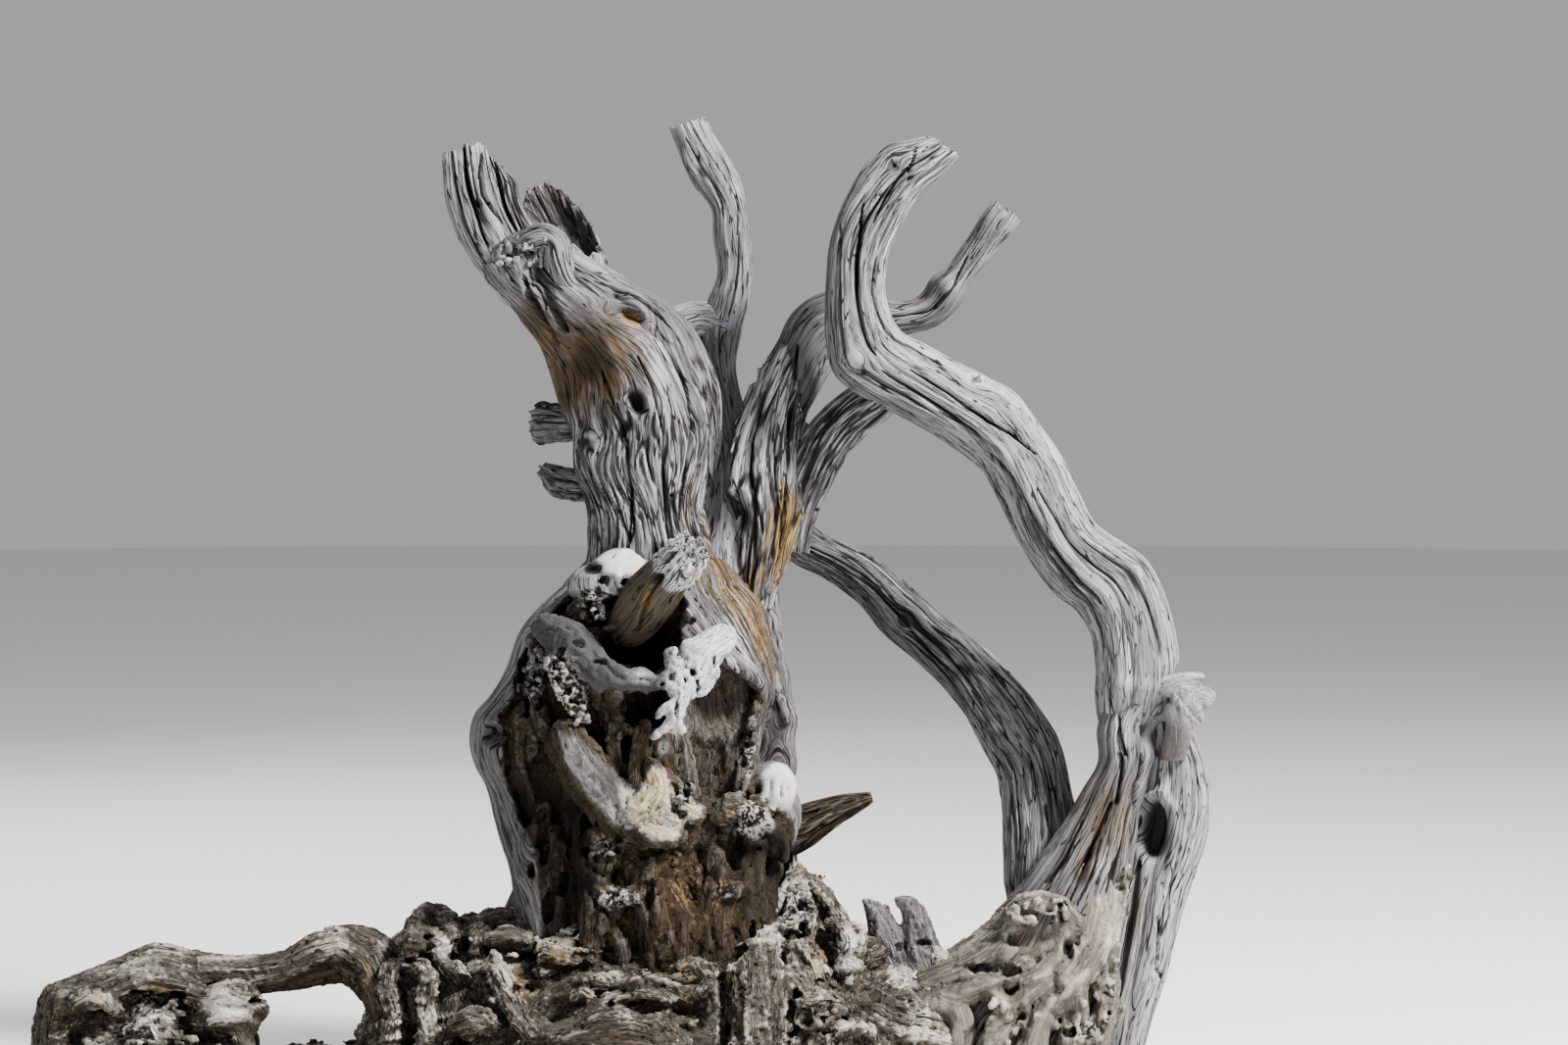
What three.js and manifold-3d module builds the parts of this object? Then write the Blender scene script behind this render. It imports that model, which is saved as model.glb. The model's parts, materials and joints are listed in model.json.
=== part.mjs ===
// A gnarled piece of weathered deadwood: a root crown cut flat where it left the ground, a swollen burl,
// a hollow broken trunk to the left, a middle limb, and a long arching limb to the right that crosses in front of it.
// Millimetres, +Z up, +X to the right of the front view, +Y away from the viewer.
// The origin is on the flat cut, below the middle of the burl.
import * as THREE from "three";
import { mergeVertices } from "three/addons/utils/BufferGeometryUtils.js";
import Module from "manifold-3d";

const wasm = await Module();
wasm.setup();

// ---- driving dimensions -------------------------------------------------------------------------
const MM = 1.0; // size of one front-view unit at the depth of the origin
const VIEW_DISTANCE = 4000; // the front view's distance
const VIEW_PITCH = (2 * Math.PI) / 180; // it looks down by this much
const CENTRE_X = 140, CENTRE_Z = 594; // the point that the front view's centre lies on
const VIEW_CX = 800, VIEW_CY = 533; // front-view units
const JOINT_GAP = 0.35; // between two pieces where they meet at a fork
const SIDES = 12; // of a limb's section
const FOCAL = VIEW_DISTANCE / MM;

// Front-view point (u right, v down) at depth y, in millimetres.
const F = new THREE.Vector3(0, Math.cos(VIEW_PITCH), -Math.sin(VIEW_PITCH));
const UP = new THREE.Vector3(0, Math.sin(VIEW_PITCH), Math.cos(VIEW_PITCH));
const RIGHT = new THREE.Vector3(1, 0, 0);
const EYE = new THREE.Vector3(CENTRE_X, 0, CENTRE_Z).addScaledVector(F, -VIEW_DISTANCE);
function place(u, v, y) {
  const d = F.clone().addScaledVector(RIGHT, (u - VIEW_CX) / FOCAL).addScaledVector(UP, (VIEW_CY - v) / FOCAL);
  return EYE.clone().addScaledVector(d, (y - EYE.y) / d.y);
}

// ---- sections along a limb ----------------------------------------------------------------------
// pair: [uL, vL, uR, vR, depth, flat], two points of the outline that face each other.
// round: [u, v, radius, depth, flat].
function sections(kind, rows) {
  if (kind === "pair")
    return rows.map(([a, b, c, d, y, flat = 0.9]) => {
      const L = place(a, b, y), R = place(c, d, y);
      const A = R.clone().sub(L).multiplyScalar(0.5);
      return { C: L.clone().add(R).multiplyScalar(0.5), A, B: new THREE.Vector3(0, A.length() * flat, 0) };
    });
  const C = rows.map(([u, v, , y]) => place(u, v, y));
  return rows.map(([, , r, , flat = 1], i) => {
    const T = C[Math.min(i + 1, C.length - 1)].clone().sub(C[Math.max(i - 1, 0)]).normalize();
    const A = new THREE.Vector3().crossVectors(T, new THREE.Vector3(0, 1, 0)).normalize();
    const B = new THREE.Vector3().crossVectors(A, T).normalize();
    if (B.y < 0) B.negate();
    return { C: C[i], A: A.multiplyScalar(r), B: B.multiplyScalar(r * flat) };
  });
}
function between(list, key, t) {
  const n = list.length - 1, i = Math.min(Math.floor(t), n - 1), f = t - i;
  const p = [i - 1, i, i + 1, i + 2].map((k) => list[Math.max(0, Math.min(n, k))][key]);
  const out = new THREE.Vector3();
  for (const c of ["x", "y", "z"])
    out[c] = 0.5 * (2 * p[1][c] + (p[2][c] - p[0][c]) * f + (2 * p[0][c] - 5 * p[1][c] + 4 * p[2][c] - p[3][c]) * f * f + (3 * p[1][c] - p[0][c] - 3 * p[2][c] + p[3][c]) * f * f * f);
  return out;
}
// A closed limb: a capped cylinder whose rings are laid on the sections.
function limb({ kind = "pair", rows, sides = SIDES }, grow = 0) {
  const list = sections(kind, rows), rings = list.length - 1;
  const g = new THREE.CylinderGeometry(1, 1, 1, sides, rings, false);
  const pos = g.attributes.position;
  for (let i = 0; i < pos.count; i++) {
    const t = (0.5 - pos.getY(i)) * (list.length - 1);
    const tt = Math.max(0, Math.min(list.length - 1 - 1e-9, t));
    const C = between(list, "C", tt), A = between(list, "A", tt), B = between(list, "B", tt);
    const a = pos.getX(i), b = pos.getZ(i);
    A.setLength(A.length() + grow);
    B.setLength(B.length() + grow);
    const end = t < 1e-6 ? -1 : t > list.length - 1 - 1e-6 ? 1 : 0;
    if (grow && end) {
      const T = between(list, "C", Math.min(list.length - 1 - 1e-9, tt + 0.05)).sub(between(list, "C", Math.max(0, tt - 0.05))).normalize();
      C.addScaledVector(T, end * grow);
    }
    C.addScaledVector(A, a).addScaledVector(B, b);
    pos.setXYZ(i, C.x, C.y, C.z);
  }
  return solid(g);
}
// An ellipsoid: [u, v, half width, half height, depth, half depth].
function lump([u, v, ru, rv, y, ry], grow = 0) {
  const g = new THREE.SphereGeometry(1, 14, 10);
  const c = place(u, v, y);
  g.scale(ru + grow, ry + grow, rv + grow);
  g.translate(c.x, c.y, c.z);
  return solid(g);
}
function solid(geometry) {
  const g = new THREE.BufferGeometry().setAttribute("position", geometry.attributes.position.clone());
  if (geometry.index) g.setIndex(geometry.index.clone());
  const m = mergeVertices(g, 1e-3);
  // degenerate triangles at a pole or a cap centre go
  const src = m.index.array, keep = [];
  for (let i = 0; i < src.length; i += 3)
    if (src[i] !== src[i + 1] && src[i + 1] !== src[i + 2] && src[i] !== src[i + 2]) keep.push(src[i], src[i + 1], src[i + 2]);
  let s = new wasm.Manifold(new wasm.Mesh({ numProp: 3, vertProperties: m.attributes.position.array, triVerts: new Uint32Array(keep) }));
  if (s.volume() < 0) {
    for (let i = 0; i < keep.length; i += 3) [keep[i + 1], keep[i + 2]] = [keep[i + 2], keep[i + 1]];
    s = new wasm.Manifold(new wasm.Mesh({ numProp: 3, vertProperties: m.attributes.position.array, triVerts: new Uint32Array(keep) }));
  }
  return s;
}
function box(x0, y0, z0, x1, y1, z1, turn) {
  const g = new THREE.BoxGeometry(x1 - x0, y1 - y0, z1 - z0);
  if (turn) g.applyMatrix4(new THREE.Matrix4().makeRotationFromEuler(turn.euler));
  g.translate((x0 + x1) / 2, (y0 + y1) / 2, (z0 + z1) / 2);
  if (turn) g.translate(turn.at.x, turn.at.y, turn.at.z);
  return solid(g);
}

// ---- the pieces, largest first ------------------------------------------------------------------
const GREY = 0x9a9896, PALE = 0xb4b2b0, BROWN = 0x5d4a36;
const PIECES = [
  {
    name: "root_crown", colour: BROWN,
    limbs: [
      { sides: 16, rows: [[378, 1062, 378, 1140, -12, 1.3], [392, 990, 392, 1210, -12, 0.8], [420, 945, 420, 1250, -12, 0.72], [462, 942, 462, 1250, -14, 0.84], [505, 936, 505, 1262, -12, 0.94], [560, 930, 560, 1262, -8, 1], [625, 914, 625, 1270, -4, 1], [690, 910, 690, 1270, 2, 1.02], [750, 908, 750, 1270, 6, 1.04], [805, 908, 805, 1270, 8, 1], [850, 925, 850, 1262, 8, 0.96], [890, 945, 890, 1250, 4, 0.9], [940, 962, 940, 1240, -2, 0.86], [985, 985, 985, 1220, -6, 0.8], [1040, 1010, 1040, 1205, -8, 0.8], [1078, 1050, 1078, 1160, -8, 1]] },
      { kind: "round", sides: 8, rows: [[812, 886, 12, -20], [822, 912, 26, -18], [834, 950, 44, -10], [845, 1000, 60, 0]] },
      { kind: "round", sides: 10, rows: [[436, 938, 16, -40], [440, 962, 32, -44], [446, 1010, 48, -52], [450, 1080, 58, -58], [452, 1160, 62, -60]] },
      { kind: "round", sides: 10, rows: [[520, 938, 18, -92], [545, 985, 44, -104], [575, 1050, 56, -112], [590, 1150, 64, -112]] },
      { kind: "round", sides: 10, rows: [[770, 940, 30, -92], [785, 985, 44, -104], [790, 1050, 54, -106], [795, 1150, 62, -106]] },
      { kind: "round", sides: 10, rows: [[610, 930, 32, 96], [590, 985, 52, 112], [575, 1060, 62, 122], [570, 1160, 68, 124]] },
      { kind: "round", sides: 10, rows: [[800, 940, 30, 92], [830, 1000, 52, 100], [850, 1060, 60, 104], [858, 1160, 66, 104]] },
    ],
  },
  {
    name: "burl", colour: GREY,
    limbs: [
      { sides: 16, rows: [[600, 566, 742, 572, -5, 0.9], [577, 592, 768, 598, -5, 0.88], [551, 615, 782, 622, -5, 0.86], [531, 642, 786, 648, -6, 0.84], [516, 682, 790, 684, -6, 0.84], [499, 708, 790, 710, -6, 0.82], [482, 728, 785, 730, -5, 0.84], [478, 752, 777, 752, -4, 0.86], [484, 780, 777, 778, -2, 0.88], [497, 806, 792, 804, 0, 0.84], [504, 836, 806, 834, 0, 0.8], [513, 864, 812, 864, 0, 0.8], [521, 890, 815, 890, 0, 0.82], [528, 925, 815, 925, 0, 0.84]] },
      { kind: "round", sides: 10, rows: [[596, 594, 20, -72], [622, 584, 22, -84], [650, 590, 20, -88]] },
      { kind: "round", sides: 8, rows: [[783, 600, 15, 26], [789, 650, 12, 26], [796, 700, 9, 24], [804, 738, 3, 20]] },
      { kind: "round", sides: 10, rows: [[752, 790, 34, -70], [770, 802, 34, -64], [792, 815, 26, -44], [796, 838, 24, -32]] },
      { kind: "round", sides: 10, rows: [[556, 726, 26, -96], [574, 760, 36, -108], [590, 800, 40, -106], [600, 848, 38, -94]] },
      { kind: "round", sides: 10, rows: [[700, 800, 30, -110], [690, 840, 36, -108], [680, 885, 36, -100]] },
    ],
  },
  {
    name: "left_root", colour: BROWN,
    limbs: [
      { sides: 12, rows: [[410, 962, 420, 1050, -15, 0.9], [385, 958, 372, 1035, -15, 0.9], [345, 946, 345, 1018, -18, 0.95], [318, 960, 316, 1016, -20, 1], [280, 979, 278, 1016, -22, 1.2], [235, 981, 236, 1024, -22, 1.2], [190, 970, 196, 1050, -20, 1]] },
      { sides: 14, rows: [[36, 1046, 36, 1180, -22, 0.6], [48, 1004, 48, 1225, -22, 0.48], [92, 997, 92, 1240, -24, 0.56], [125, 981, 125, 1250, -24, 0.58], [158, 966, 158, 1260, -24, 0.56], [190, 977, 190, 1250, -22, 0.6], [222, 990, 222, 1230, -20, 0.6], [246, 1012, 246, 1200, -20, 0.56], [258, 1050, 258, 1190, -20, 0.5]] },
      { kind: "round", sides: 10, rows: [[96, 1018, 20, -62], [104, 1050, 34, -72], [112, 1090, 42, -78], [118, 1150, 46, -80]] },
      { kind: "round", sides: 10, rows: [[214, 1012, 12, -60], [226, 1032, 30, -58], [232, 1070, 34, -56], [236, 1150, 38, -54]] },
    ],
  },
  {
    name: "left_trunk", colour: GREY,
    limbs: [
      { rows: [[578, 655, 770, 655, 0, 0.85], [590, 600, 752, 605, 0, 0.88], [598, 552, 734, 556, 0, 0.9], [596, 515, 724, 515, 0, 0.92], [584, 478, 728, 470, 0, 0.85], [580, 436, 735, 428, -2, 0.82], [566, 396, 727, 378, -4, 0.8], [548, 350, 692, 328, -6, 0.78], [522, 314, 652, 300, -8, 0.76], [498, 288, 613, 276, -8, 0.7]] },
      { kind: "round", rows: [[700, 405, 32, -12], [663, 337, 36, -16], [620, 306, 28, -20], [584, 276, 26, -22], [545, 258, 26, -28], [520, 262, 16, -26]] },
    ],
  },
  {
    name: "right_limb_front", colour: GREY,
    limbs: [
      { rows: [[1118, 712, 1200, 704, -8, 0.8], [1119, 742, 1180, 742, -8, 0.9], [1120, 776, 1176, 772, -8, 0.95], [1106, 802, 1170, 800, -8, 0.95], [1089, 832, 1163, 830, -8, 0.9], [1069, 862, 1158, 866, -10, 0.85], [1045, 900, 1152, 902, -10, 0.8], [1024, 937, 1146, 940, -10, 0.8], [1002, 967, 1140, 975, -8, 0.8], [968, 992, 1132, 1015, -5, 0.8], [940, 1020, 1112, 1075, -5, 0.8], [925, 1060, 1090, 1130, -5, 0.8]] },
    ],
  },
  {
    name: "right_limb_back", colour: PALE,
    limbs: [
      { rows: [[1168, 712, 1210, 728, 6, 0.9], [1168, 748, 1221, 752, 10, 0.95], [1166, 776, 1232, 782, 14, 0.95], [1158, 812, 1236, 815, 16, 0.8], [1150, 846, 1233, 850, 16, 0.76], [1139, 880, 1221, 886, 14, 0.76], [1130, 918, 1209, 924, 12, 0.78], [1124, 958, 1199, 962, 10, 0.8], [1117, 998, 1188, 1002, 8, 0.84], [1108, 1039, 1175, 1044, 6, 0.88], [1105, 1085, 1163, 1090, 5, 1], [1086, 1132, 1152, 1140, 5, 1]] },
    ],
  },
  {
    name: "arch_limb", colour: PALE,
    limbs: [
      { rows: [[949, 134, 976, 164, -62, 0.85], [925, 142, 960, 182, -62, 0.85], [905, 147, 943, 198, -62, 0.85], [883, 167, 928, 218, -62, 0.85], [866, 193, 915, 243, -62, 0.85], [853, 220, 907, 264, -62, 0.85], [844, 255, 904, 286, -62, 0.85], [841, 300, 905, 303, -62, 0.85], [841, 340, 912, 324, -62, 0.85], [849, 378, 925, 340, -60, 0.85], [874, 402, 950, 353, -58, 0.85], [910, 420, 976, 368, -54, 0.85], [945, 440, 1005, 383, -50, 0.85], [972, 458, 1037, 401, -44, 0.85], [1000, 478, 1062, 433, -38, 0.85], [1019, 510, 1085, 466, -32, 0.85], [1033, 541, 1101, 500, -26, 0.85], [1052, 575, 1117, 532, -20, 0.85], [1075, 605, 1143, 551, -16, 0.85], [1098, 625, 1171, 571, -14, 0.85], [1112, 650, 1190, 608, -12, 0.85], [1117, 682, 1202, 660, -10, 0.85], [1118, 712, 1206, 696, -8, 0.85]] },
    ],
  },
  {
    name: "middle_limb", colour: GREY,
    limbs: [
      { rows: [[738, 640, 792, 600, -4, 0.9], [738, 560, 808, 572, -6, 0.9], [736, 522, 818, 528, -4, 0.9], [737, 484, 818, 490, 0, 0.85], [749, 442, 818, 452, 6, 0.85], [765, 402, 826, 424, 12, 0.85], [785, 360, 842, 392, 20, 0.85], [809, 316, 858, 358, 28, 0.85], [838, 297, 876, 352, 32, 0.85], [876, 298, 900, 346, 32, 0.9], [914, 305, 927, 341, 30, 0.95], [936, 302, 958, 331, 28, 0.95], [950, 284, 978, 312, 24, 0.95], [969, 270, 990, 287, 20, 1], [984, 248, 1012, 262, 16, 1], [999, 223, 1031, 240, 12, 1], [1012, 207, 1041, 224, 10, 1]] },
    ],
  },
  {
    name: "brace_limb", colour: GREY,
    limbs: [
      { kind: "round", rows: [[812, 525, 20, 8], [826, 484, 24, 2], [843, 452, 24, -10], [868, 425, 24, -26], [900, 402, 24, -44]] },
    ],
  },
  {
    name: "rear_limb", colour: GREY,
    limbs: [
      { rows: [[768, 500, 752, 562, 70, 0.9], [800, 516, 788, 562, 92, 0.9], [836, 541, 815, 577, 106, 0.95], [863, 555, 843, 590, 114, 0.95], [901, 576, 874, 613, 118, 0.95], [931, 600, 898, 642, 118, 0.95], [963, 628, 926, 667, 116, 0.95], [991, 648, 958, 698, 110, 0.95], [1025, 678, 982, 731, 102, 0.95], [1061, 721, 1003, 764, 90, 0.95], [1083, 760, 1017, 788, 78, 0.95], [1094, 805, 1021, 814, 64, 0.95], [1101, 845, 1022, 850, 52, 0.95], [1096, 890, 1023, 890, 42, 0.95], [1088, 940, 1016, 935, 34, 0.95]] },
    ],
  },
  {
    name: "rear_branch", colour: PALE,
    limbs: [
      { rows: [[683, 131, 722, 121, 84, 0.95], [695, 163, 738, 150, 84, 0.95], [708, 188, 754, 178, 84, 0.95], [725, 212, 763, 208, 84, 0.95], [728, 241, 767, 243, 82, 0.95], [731, 279, 768, 278, 80, 0.95], [721, 308, 765, 308, 76, 0.95], [711, 340, 757, 340, 72, 0.95], [716, 372, 752, 376, 66, 1], [718, 412, 760, 420, 52, 1], [724, 462, 770, 466, 34, 1]] },
      { kind: "round", rows: [[733, 335, 24, 76], [706, 328, 20, 68], [676, 340, 24, 44]] },
    ],
  },
  {
    name: "broken_spike", colour: PALE,
    limbs: [
      { rows: [[450, 158, 495, 152, -8, 0.5], [452, 190, 503, 182, -8, 0.5], [457, 216, 512, 208, -8, 0.55], [466, 242, 524, 232, -8, 0.6], [480, 266, 538, 254, -8, 0.7], [498, 290, 556, 280, -8, 0.8]] },
      { rows: [[494, 165, 513, 167, 12, 0.5], [497, 182, 528, 184, 14, 0.5], [502, 208, 533, 206, 14, 0.6], [512, 240, 548, 236, 10, 0.8]] },
    ],
  },
  { name: "hollow_stub", colour: GREY, shell: true },
  {
    name: "burl_knob", colour: PALE,
    limbs: [
      { kind: "round", rows: [[645, 650, 34, -84], [664, 612, 29, -112], [682, 586, 26, -132], [698, 568, 22, -148]] },
    ],
  },
  {
    name: "antler_root", colour: PALE,
    limbs: [
      { kind: "round", rows: [[560, 640, 22, -84], [588, 662, 22, -108], [612, 684, 16, -122], [642, 694, 10, -132], [672, 692, 10, -138], [700, 686, 18, -134], [722, 668, 20, -112], [735, 655, 18, -92]] },
      { kind: "round", rows: [[697, 692, 14, -138], [692, 716, 10, -144], [684, 738, 8, -146], [670, 753, 4, -146]] },
    ],
  },
  {
    name: "knot_stub", colour: PALE,
    limbs: [
      { kind: "round", rows: [[1178, 712, 24, -14], [1204, 710, 22, -18], [1224, 712, 17, -18], [1236, 712, 11, -16]] },
      { kind: "round", rows: [[1198, 712, 18, -24], [1207, 732, 15, -28], [1208, 752, 9, -28]] },
    ],
  },
  {
    name: "root_spike", colour: BROWN,
    limbs: [
      { kind: "round", rows: [[786, 852, 28, -12], [812, 846, 25, -18], [836, 834, 20, -22], [860, 824, 15, -24], [880, 817, 9, -24], [889, 813, 5, -24]] },
    ],
  },
  {
    name: "claw_root", colour: GREY,
    limbs: [
      { kind: "round", rows: [[884, 921, 7, -20], [898, 936, 16, -22], [908, 962, 27, -20], [915, 1000, 38, -15]] },
      { kind: "round", rows: [[921, 924, 11, -22], [929, 945, 17, -22], [936, 972, 26, -18], [940, 1005, 34, -12]] },
    ],
  },
  {
    name: "upper_knot", colour: GREY,
    limbs: [{ kind: "round", rows: [[547, 431, 17, 26], [562, 431, 21, 24], [600, 434, 20, 14]] }],
  },
  {
    name: "lower_knot", colour: GREY,
    limbs: [{ kind: "round", rows: [[556, 482, 8, 26], [570, 491, 16, 24], [604, 494, 17, 14]] }],
  },
];

// The hollow broken stub: a wall of wood around an open core, highest at the back.
const STUB = { outer: [[580, 312, 34, 2], [578, 280, 37, 2], [574, 250, 35, 3], [566, 222, 32, 5], [560, 192, 26, 6]], wall: 8 };
function shell(grow) {
  const outer = limb({ kind: "round", rows: STUB.outer }, grow);
  if (grow) return outer;
  const rows = STUB.outer.slice(1).map(([u, v, r, y]) => [u, v, r - STUB.wall, y]);
  rows[rows.length - 1][1] -= 12;
  const core = limb({ kind: "round", rows, sides: 10 });
  const at = place(545, 214, -30);
  const front = box(-70, -60, -40, 70, 20, 60, { euler: new THREE.Euler(0.62, 0.5, 0), at });
  return outer.subtract(core).subtract(front);
}

function whole(piece, grow = 0) {
  if (piece.shell) return shell(grow);
  const all = [...(piece.lumps ?? []).map((l) => lump(l, grow)), ...(piece.limbs ?? []).map((l) => limb(l, grow))];
  return all.reduce((a, b) => a.add(b));
}
const GROUND = box(-1500, -800, -400, 1500, 800, 0);
const object = new THREE.Group();
const before = [];
for (const piece of PIECES) {
  let s = whole(piece).subtract(GROUND);
  for (const [, grown] of before) s = s.subtract(grown);
  const bodies = s.decompose().sort((a, b) => b.volume() - a.volume());
  s = bodies[0];
  before.push([piece.name, whole(piece, JOINT_GAP)]);
  const mesh = s.getMesh(), n = mesh.numProp, v = new Float32Array(mesh.numVert * 3);
  for (let i = 0; i < mesh.numVert; i++) v.set(mesh.vertProperties.subarray(i * n, i * n + 3), i * 3);
  const g = new THREE.BufferGeometry().setAttribute("position", new THREE.BufferAttribute(v, 3)).setIndex(new THREE.BufferAttribute(mesh.triVerts, 1));
  g.computeVertexNormals();
  const m = new THREE.Mesh(g, new THREE.MeshStandardMaterial({ color: piece.colour, roughness: 0.85, metalness: 0 }));
  m.name = piece.name;
  object.add(m);
}
export default object;
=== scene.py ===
import json
import math
import bpy
import bmesh
import numpy as np
from mathutils import Matrix, Vector


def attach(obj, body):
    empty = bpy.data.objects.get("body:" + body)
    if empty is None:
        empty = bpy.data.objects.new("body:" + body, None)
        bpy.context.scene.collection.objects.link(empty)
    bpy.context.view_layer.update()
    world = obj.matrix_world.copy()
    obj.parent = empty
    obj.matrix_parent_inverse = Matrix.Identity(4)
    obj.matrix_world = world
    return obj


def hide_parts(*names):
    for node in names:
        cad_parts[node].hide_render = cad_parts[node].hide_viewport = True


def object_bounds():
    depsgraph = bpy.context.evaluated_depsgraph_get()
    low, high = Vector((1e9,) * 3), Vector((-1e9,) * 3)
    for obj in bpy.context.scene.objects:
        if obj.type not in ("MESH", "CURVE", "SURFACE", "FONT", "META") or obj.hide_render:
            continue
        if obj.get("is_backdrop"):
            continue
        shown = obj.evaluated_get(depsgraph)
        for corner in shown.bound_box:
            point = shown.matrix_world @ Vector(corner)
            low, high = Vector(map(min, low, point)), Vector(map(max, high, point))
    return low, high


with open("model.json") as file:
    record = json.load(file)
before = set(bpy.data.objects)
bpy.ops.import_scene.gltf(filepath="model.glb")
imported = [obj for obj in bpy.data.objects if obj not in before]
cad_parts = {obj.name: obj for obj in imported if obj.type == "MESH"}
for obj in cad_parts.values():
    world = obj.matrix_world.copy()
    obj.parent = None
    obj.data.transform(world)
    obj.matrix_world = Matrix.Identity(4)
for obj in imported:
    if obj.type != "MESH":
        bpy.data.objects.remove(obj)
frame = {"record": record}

CAD_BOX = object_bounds()
F4 = np.float32

# ---------------------------------------------------------------- the front view, as in the CAD
VIEW_DISTANCE, PITCH, CX, CZ, VU, VV = 4000.0, math.radians(2), 140.0, 594.0, 800.0, 533.0
FWD = np.array([0, math.cos(PITCH), -math.sin(PITCH)])
UPV = np.array([0, math.sin(PITCH), math.cos(PITCH)])
EYE = np.array([CX, 0, CZ]) - FWD * VIEW_DISTANCE


def P(u, v, y):
    """The point at depth y on the front view's line through (u, v), in millimetres."""
    d = FWD + np.array([1.0, 0, 0]) * (u - VU) / VIEW_DISTANCE + UPV * (VV - v) / VIEW_DISTANCE
    return EYE + d * ((y - EYE[1]) / d[1])


def front(p):
    """Front-view coordinates and depth of points (n, 3)."""
    q = p - EYE
    d = q @ FWD
    return VU + q[..., 0] / d * VIEW_DISTANCE, VV - (q @ UPV) / d * VIEW_DISTANCE, d


# ---------------------------------------------------------------- noise
_rs = np.random.RandomState(20)
_g = _rs.normal(size=(256, 3))
GRAD = (_g / np.linalg.norm(_g, axis=1)[:, None]).astype(F4)


def _hash(a, b, c, seed):
    n = (a * np.int32(73856093)) ^ (b * np.int32(19349663)) ^ (c * np.int32(83492791)) ^ np.int32((seed * 668265263) & 0x7FFFFFFF)
    n = n ^ (n >> np.int32(13))
    n = n * np.int32(1274126177)
    return (n ^ (n >> np.int32(15))) & np.int32(255)


def noise(x, y, z, seed=0):
    """Gradient noise, about -0.7 to 0.7, on arrays of one shape."""
    x, y, z = (np.asarray(a, F4) for a in np.broadcast_arrays(x, y, z))
    shape = x.shape
    x, y, z = x.ravel(), y.ravel(), z.ravel()
    out = np.empty(x.shape, F4)
    for a in range(0, x.size, 400000):
        s = slice(a, a + 400000)
        xi, yi, zi = (np.floor(q[s]) for q in (x, y, z))
        xf, yf, zf = x[s] - xi, y[s] - yi, z[s] - zi
        xi, yi, zi = (q.astype(np.int32) for q in (xi, yi, zi))
        u, v, w = (q * q * q * (q * (q * 6 - 15) + 10) for q in (xf, yf, zf))
        acc = 0
        for i in (0, 1):
            wu = u if i else 1 - u
            for j in (0, 1):
                wv = v if j else 1 - v
                for k in (0, 1):
                    g = GRAD[_hash(xi + np.int32(i), yi + np.int32(j), zi + np.int32(k), seed)]
                    d = g[:, 0] * (xf - i) + g[:, 1] * (yf - j) + g[:, 2] * (zf - k)
                    acc = acc + d * wu * wv * (w if k else 1 - w)
        out[s] = acc
    return out.reshape(shape)


def fbm(x, y, z, octaves, seed=0, gain=0.5):
    a, t = 1.0, 0
    for o in range(octaves):
        t = t + a * noise(x * 2**o, y * 2**o, z * 2**o, seed + 17 * o)
        a *= gain
    return t


def sst(a, b, x):
    t = np.clip((x - a) / (b - a), 0, 1)
    return t * t * (3 - 2 * t)


def rounded(n, k=0.22):
    """Rounded ridges with sharp valleys, 0 to about 1, from noise."""
    a = np.abs(n) * 2
    return a / (a + k) * (1 + k)


# ---------------------------------------------------------------- meshes
def make(name, V, quads, tris=None, attrs=None, sharp=55):
    """A mesh object from millimetre vertices."""
    V = np.asarray(V, F4) * F4(0.001)
    quads = np.asarray(quads, np.int32).reshape(-1, 4)
    tris = np.zeros((0, 3), np.int32) if tris is None else np.asarray(tris, np.int32).reshape(-1, 3)
    me = bpy.data.meshes.new(name)
    me.vertices.add(len(V))
    me.vertices.foreach_set("co", V.ravel())
    nl = quads.size + tris.size
    me.loops.add(nl)
    me.loops.foreach_set("vertex_index", np.concatenate([quads.ravel(), tris.ravel()]))
    me.polygons.add(len(quads) + len(tris))
    me.polygons.foreach_set("loop_start", np.concatenate([np.arange(len(quads)) * 4, quads.size + np.arange(len(tris)) * 3]).astype(np.int32))
    me.update(calc_edges=True)
    me.polygons.foreach_set("use_smooth", np.ones(len(me.polygons), bool))
    for key, val in (attrs or {}).items():
        val = np.asarray(val, F4)
        if val.ndim == 2:
            at = me.attributes.new(key, "FLOAT_VECTOR", "POINT")
            at.data.foreach_set("vector", val.ravel())
        else:
            at = me.attributes.new(key, "FLOAT", "POINT")
            at.data.foreach_set("value", val)
    if sharp:
        me.set_sharp_from_angle(angle=math.radians(sharp))
    ob = bpy.data.objects.new(name, me)
    bpy.context.scene.collection.objects.link(ob)
    return ob


def cut_ground(ob):
    """Cut an object off flat at the ground, closed."""
    me = ob.data
    co = np.empty(len(me.vertices) * 3, F4)
    me.vertices.foreach_get("co", co)
    if co[2::3].min() >= 0:
        return
    bm = bmesh.new()
    bm.from_mesh(me)
    r = bmesh.ops.bisect_plane(bm, geom=bm.verts[:] + bm.edges[:] + bm.faces[:], plane_co=(0, 0, 0), plane_no=(0, 0, 1), clear_inner=True, dist=1e-6)
    edges = [e for e in bm.edges if len(e.link_faces) == 1]
    bmesh.ops.holes_fill(bm, edges=edges, sides=0)
    bmesh.ops.triangulate(bm, faces=[f for f in bm.faces if len(f.verts) > 4])
    bmesh.ops.recalc_face_normals(bm, faces=bm.faces[:])
    bm.to_mesh(me)
    bm.free()
    me.update()


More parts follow.
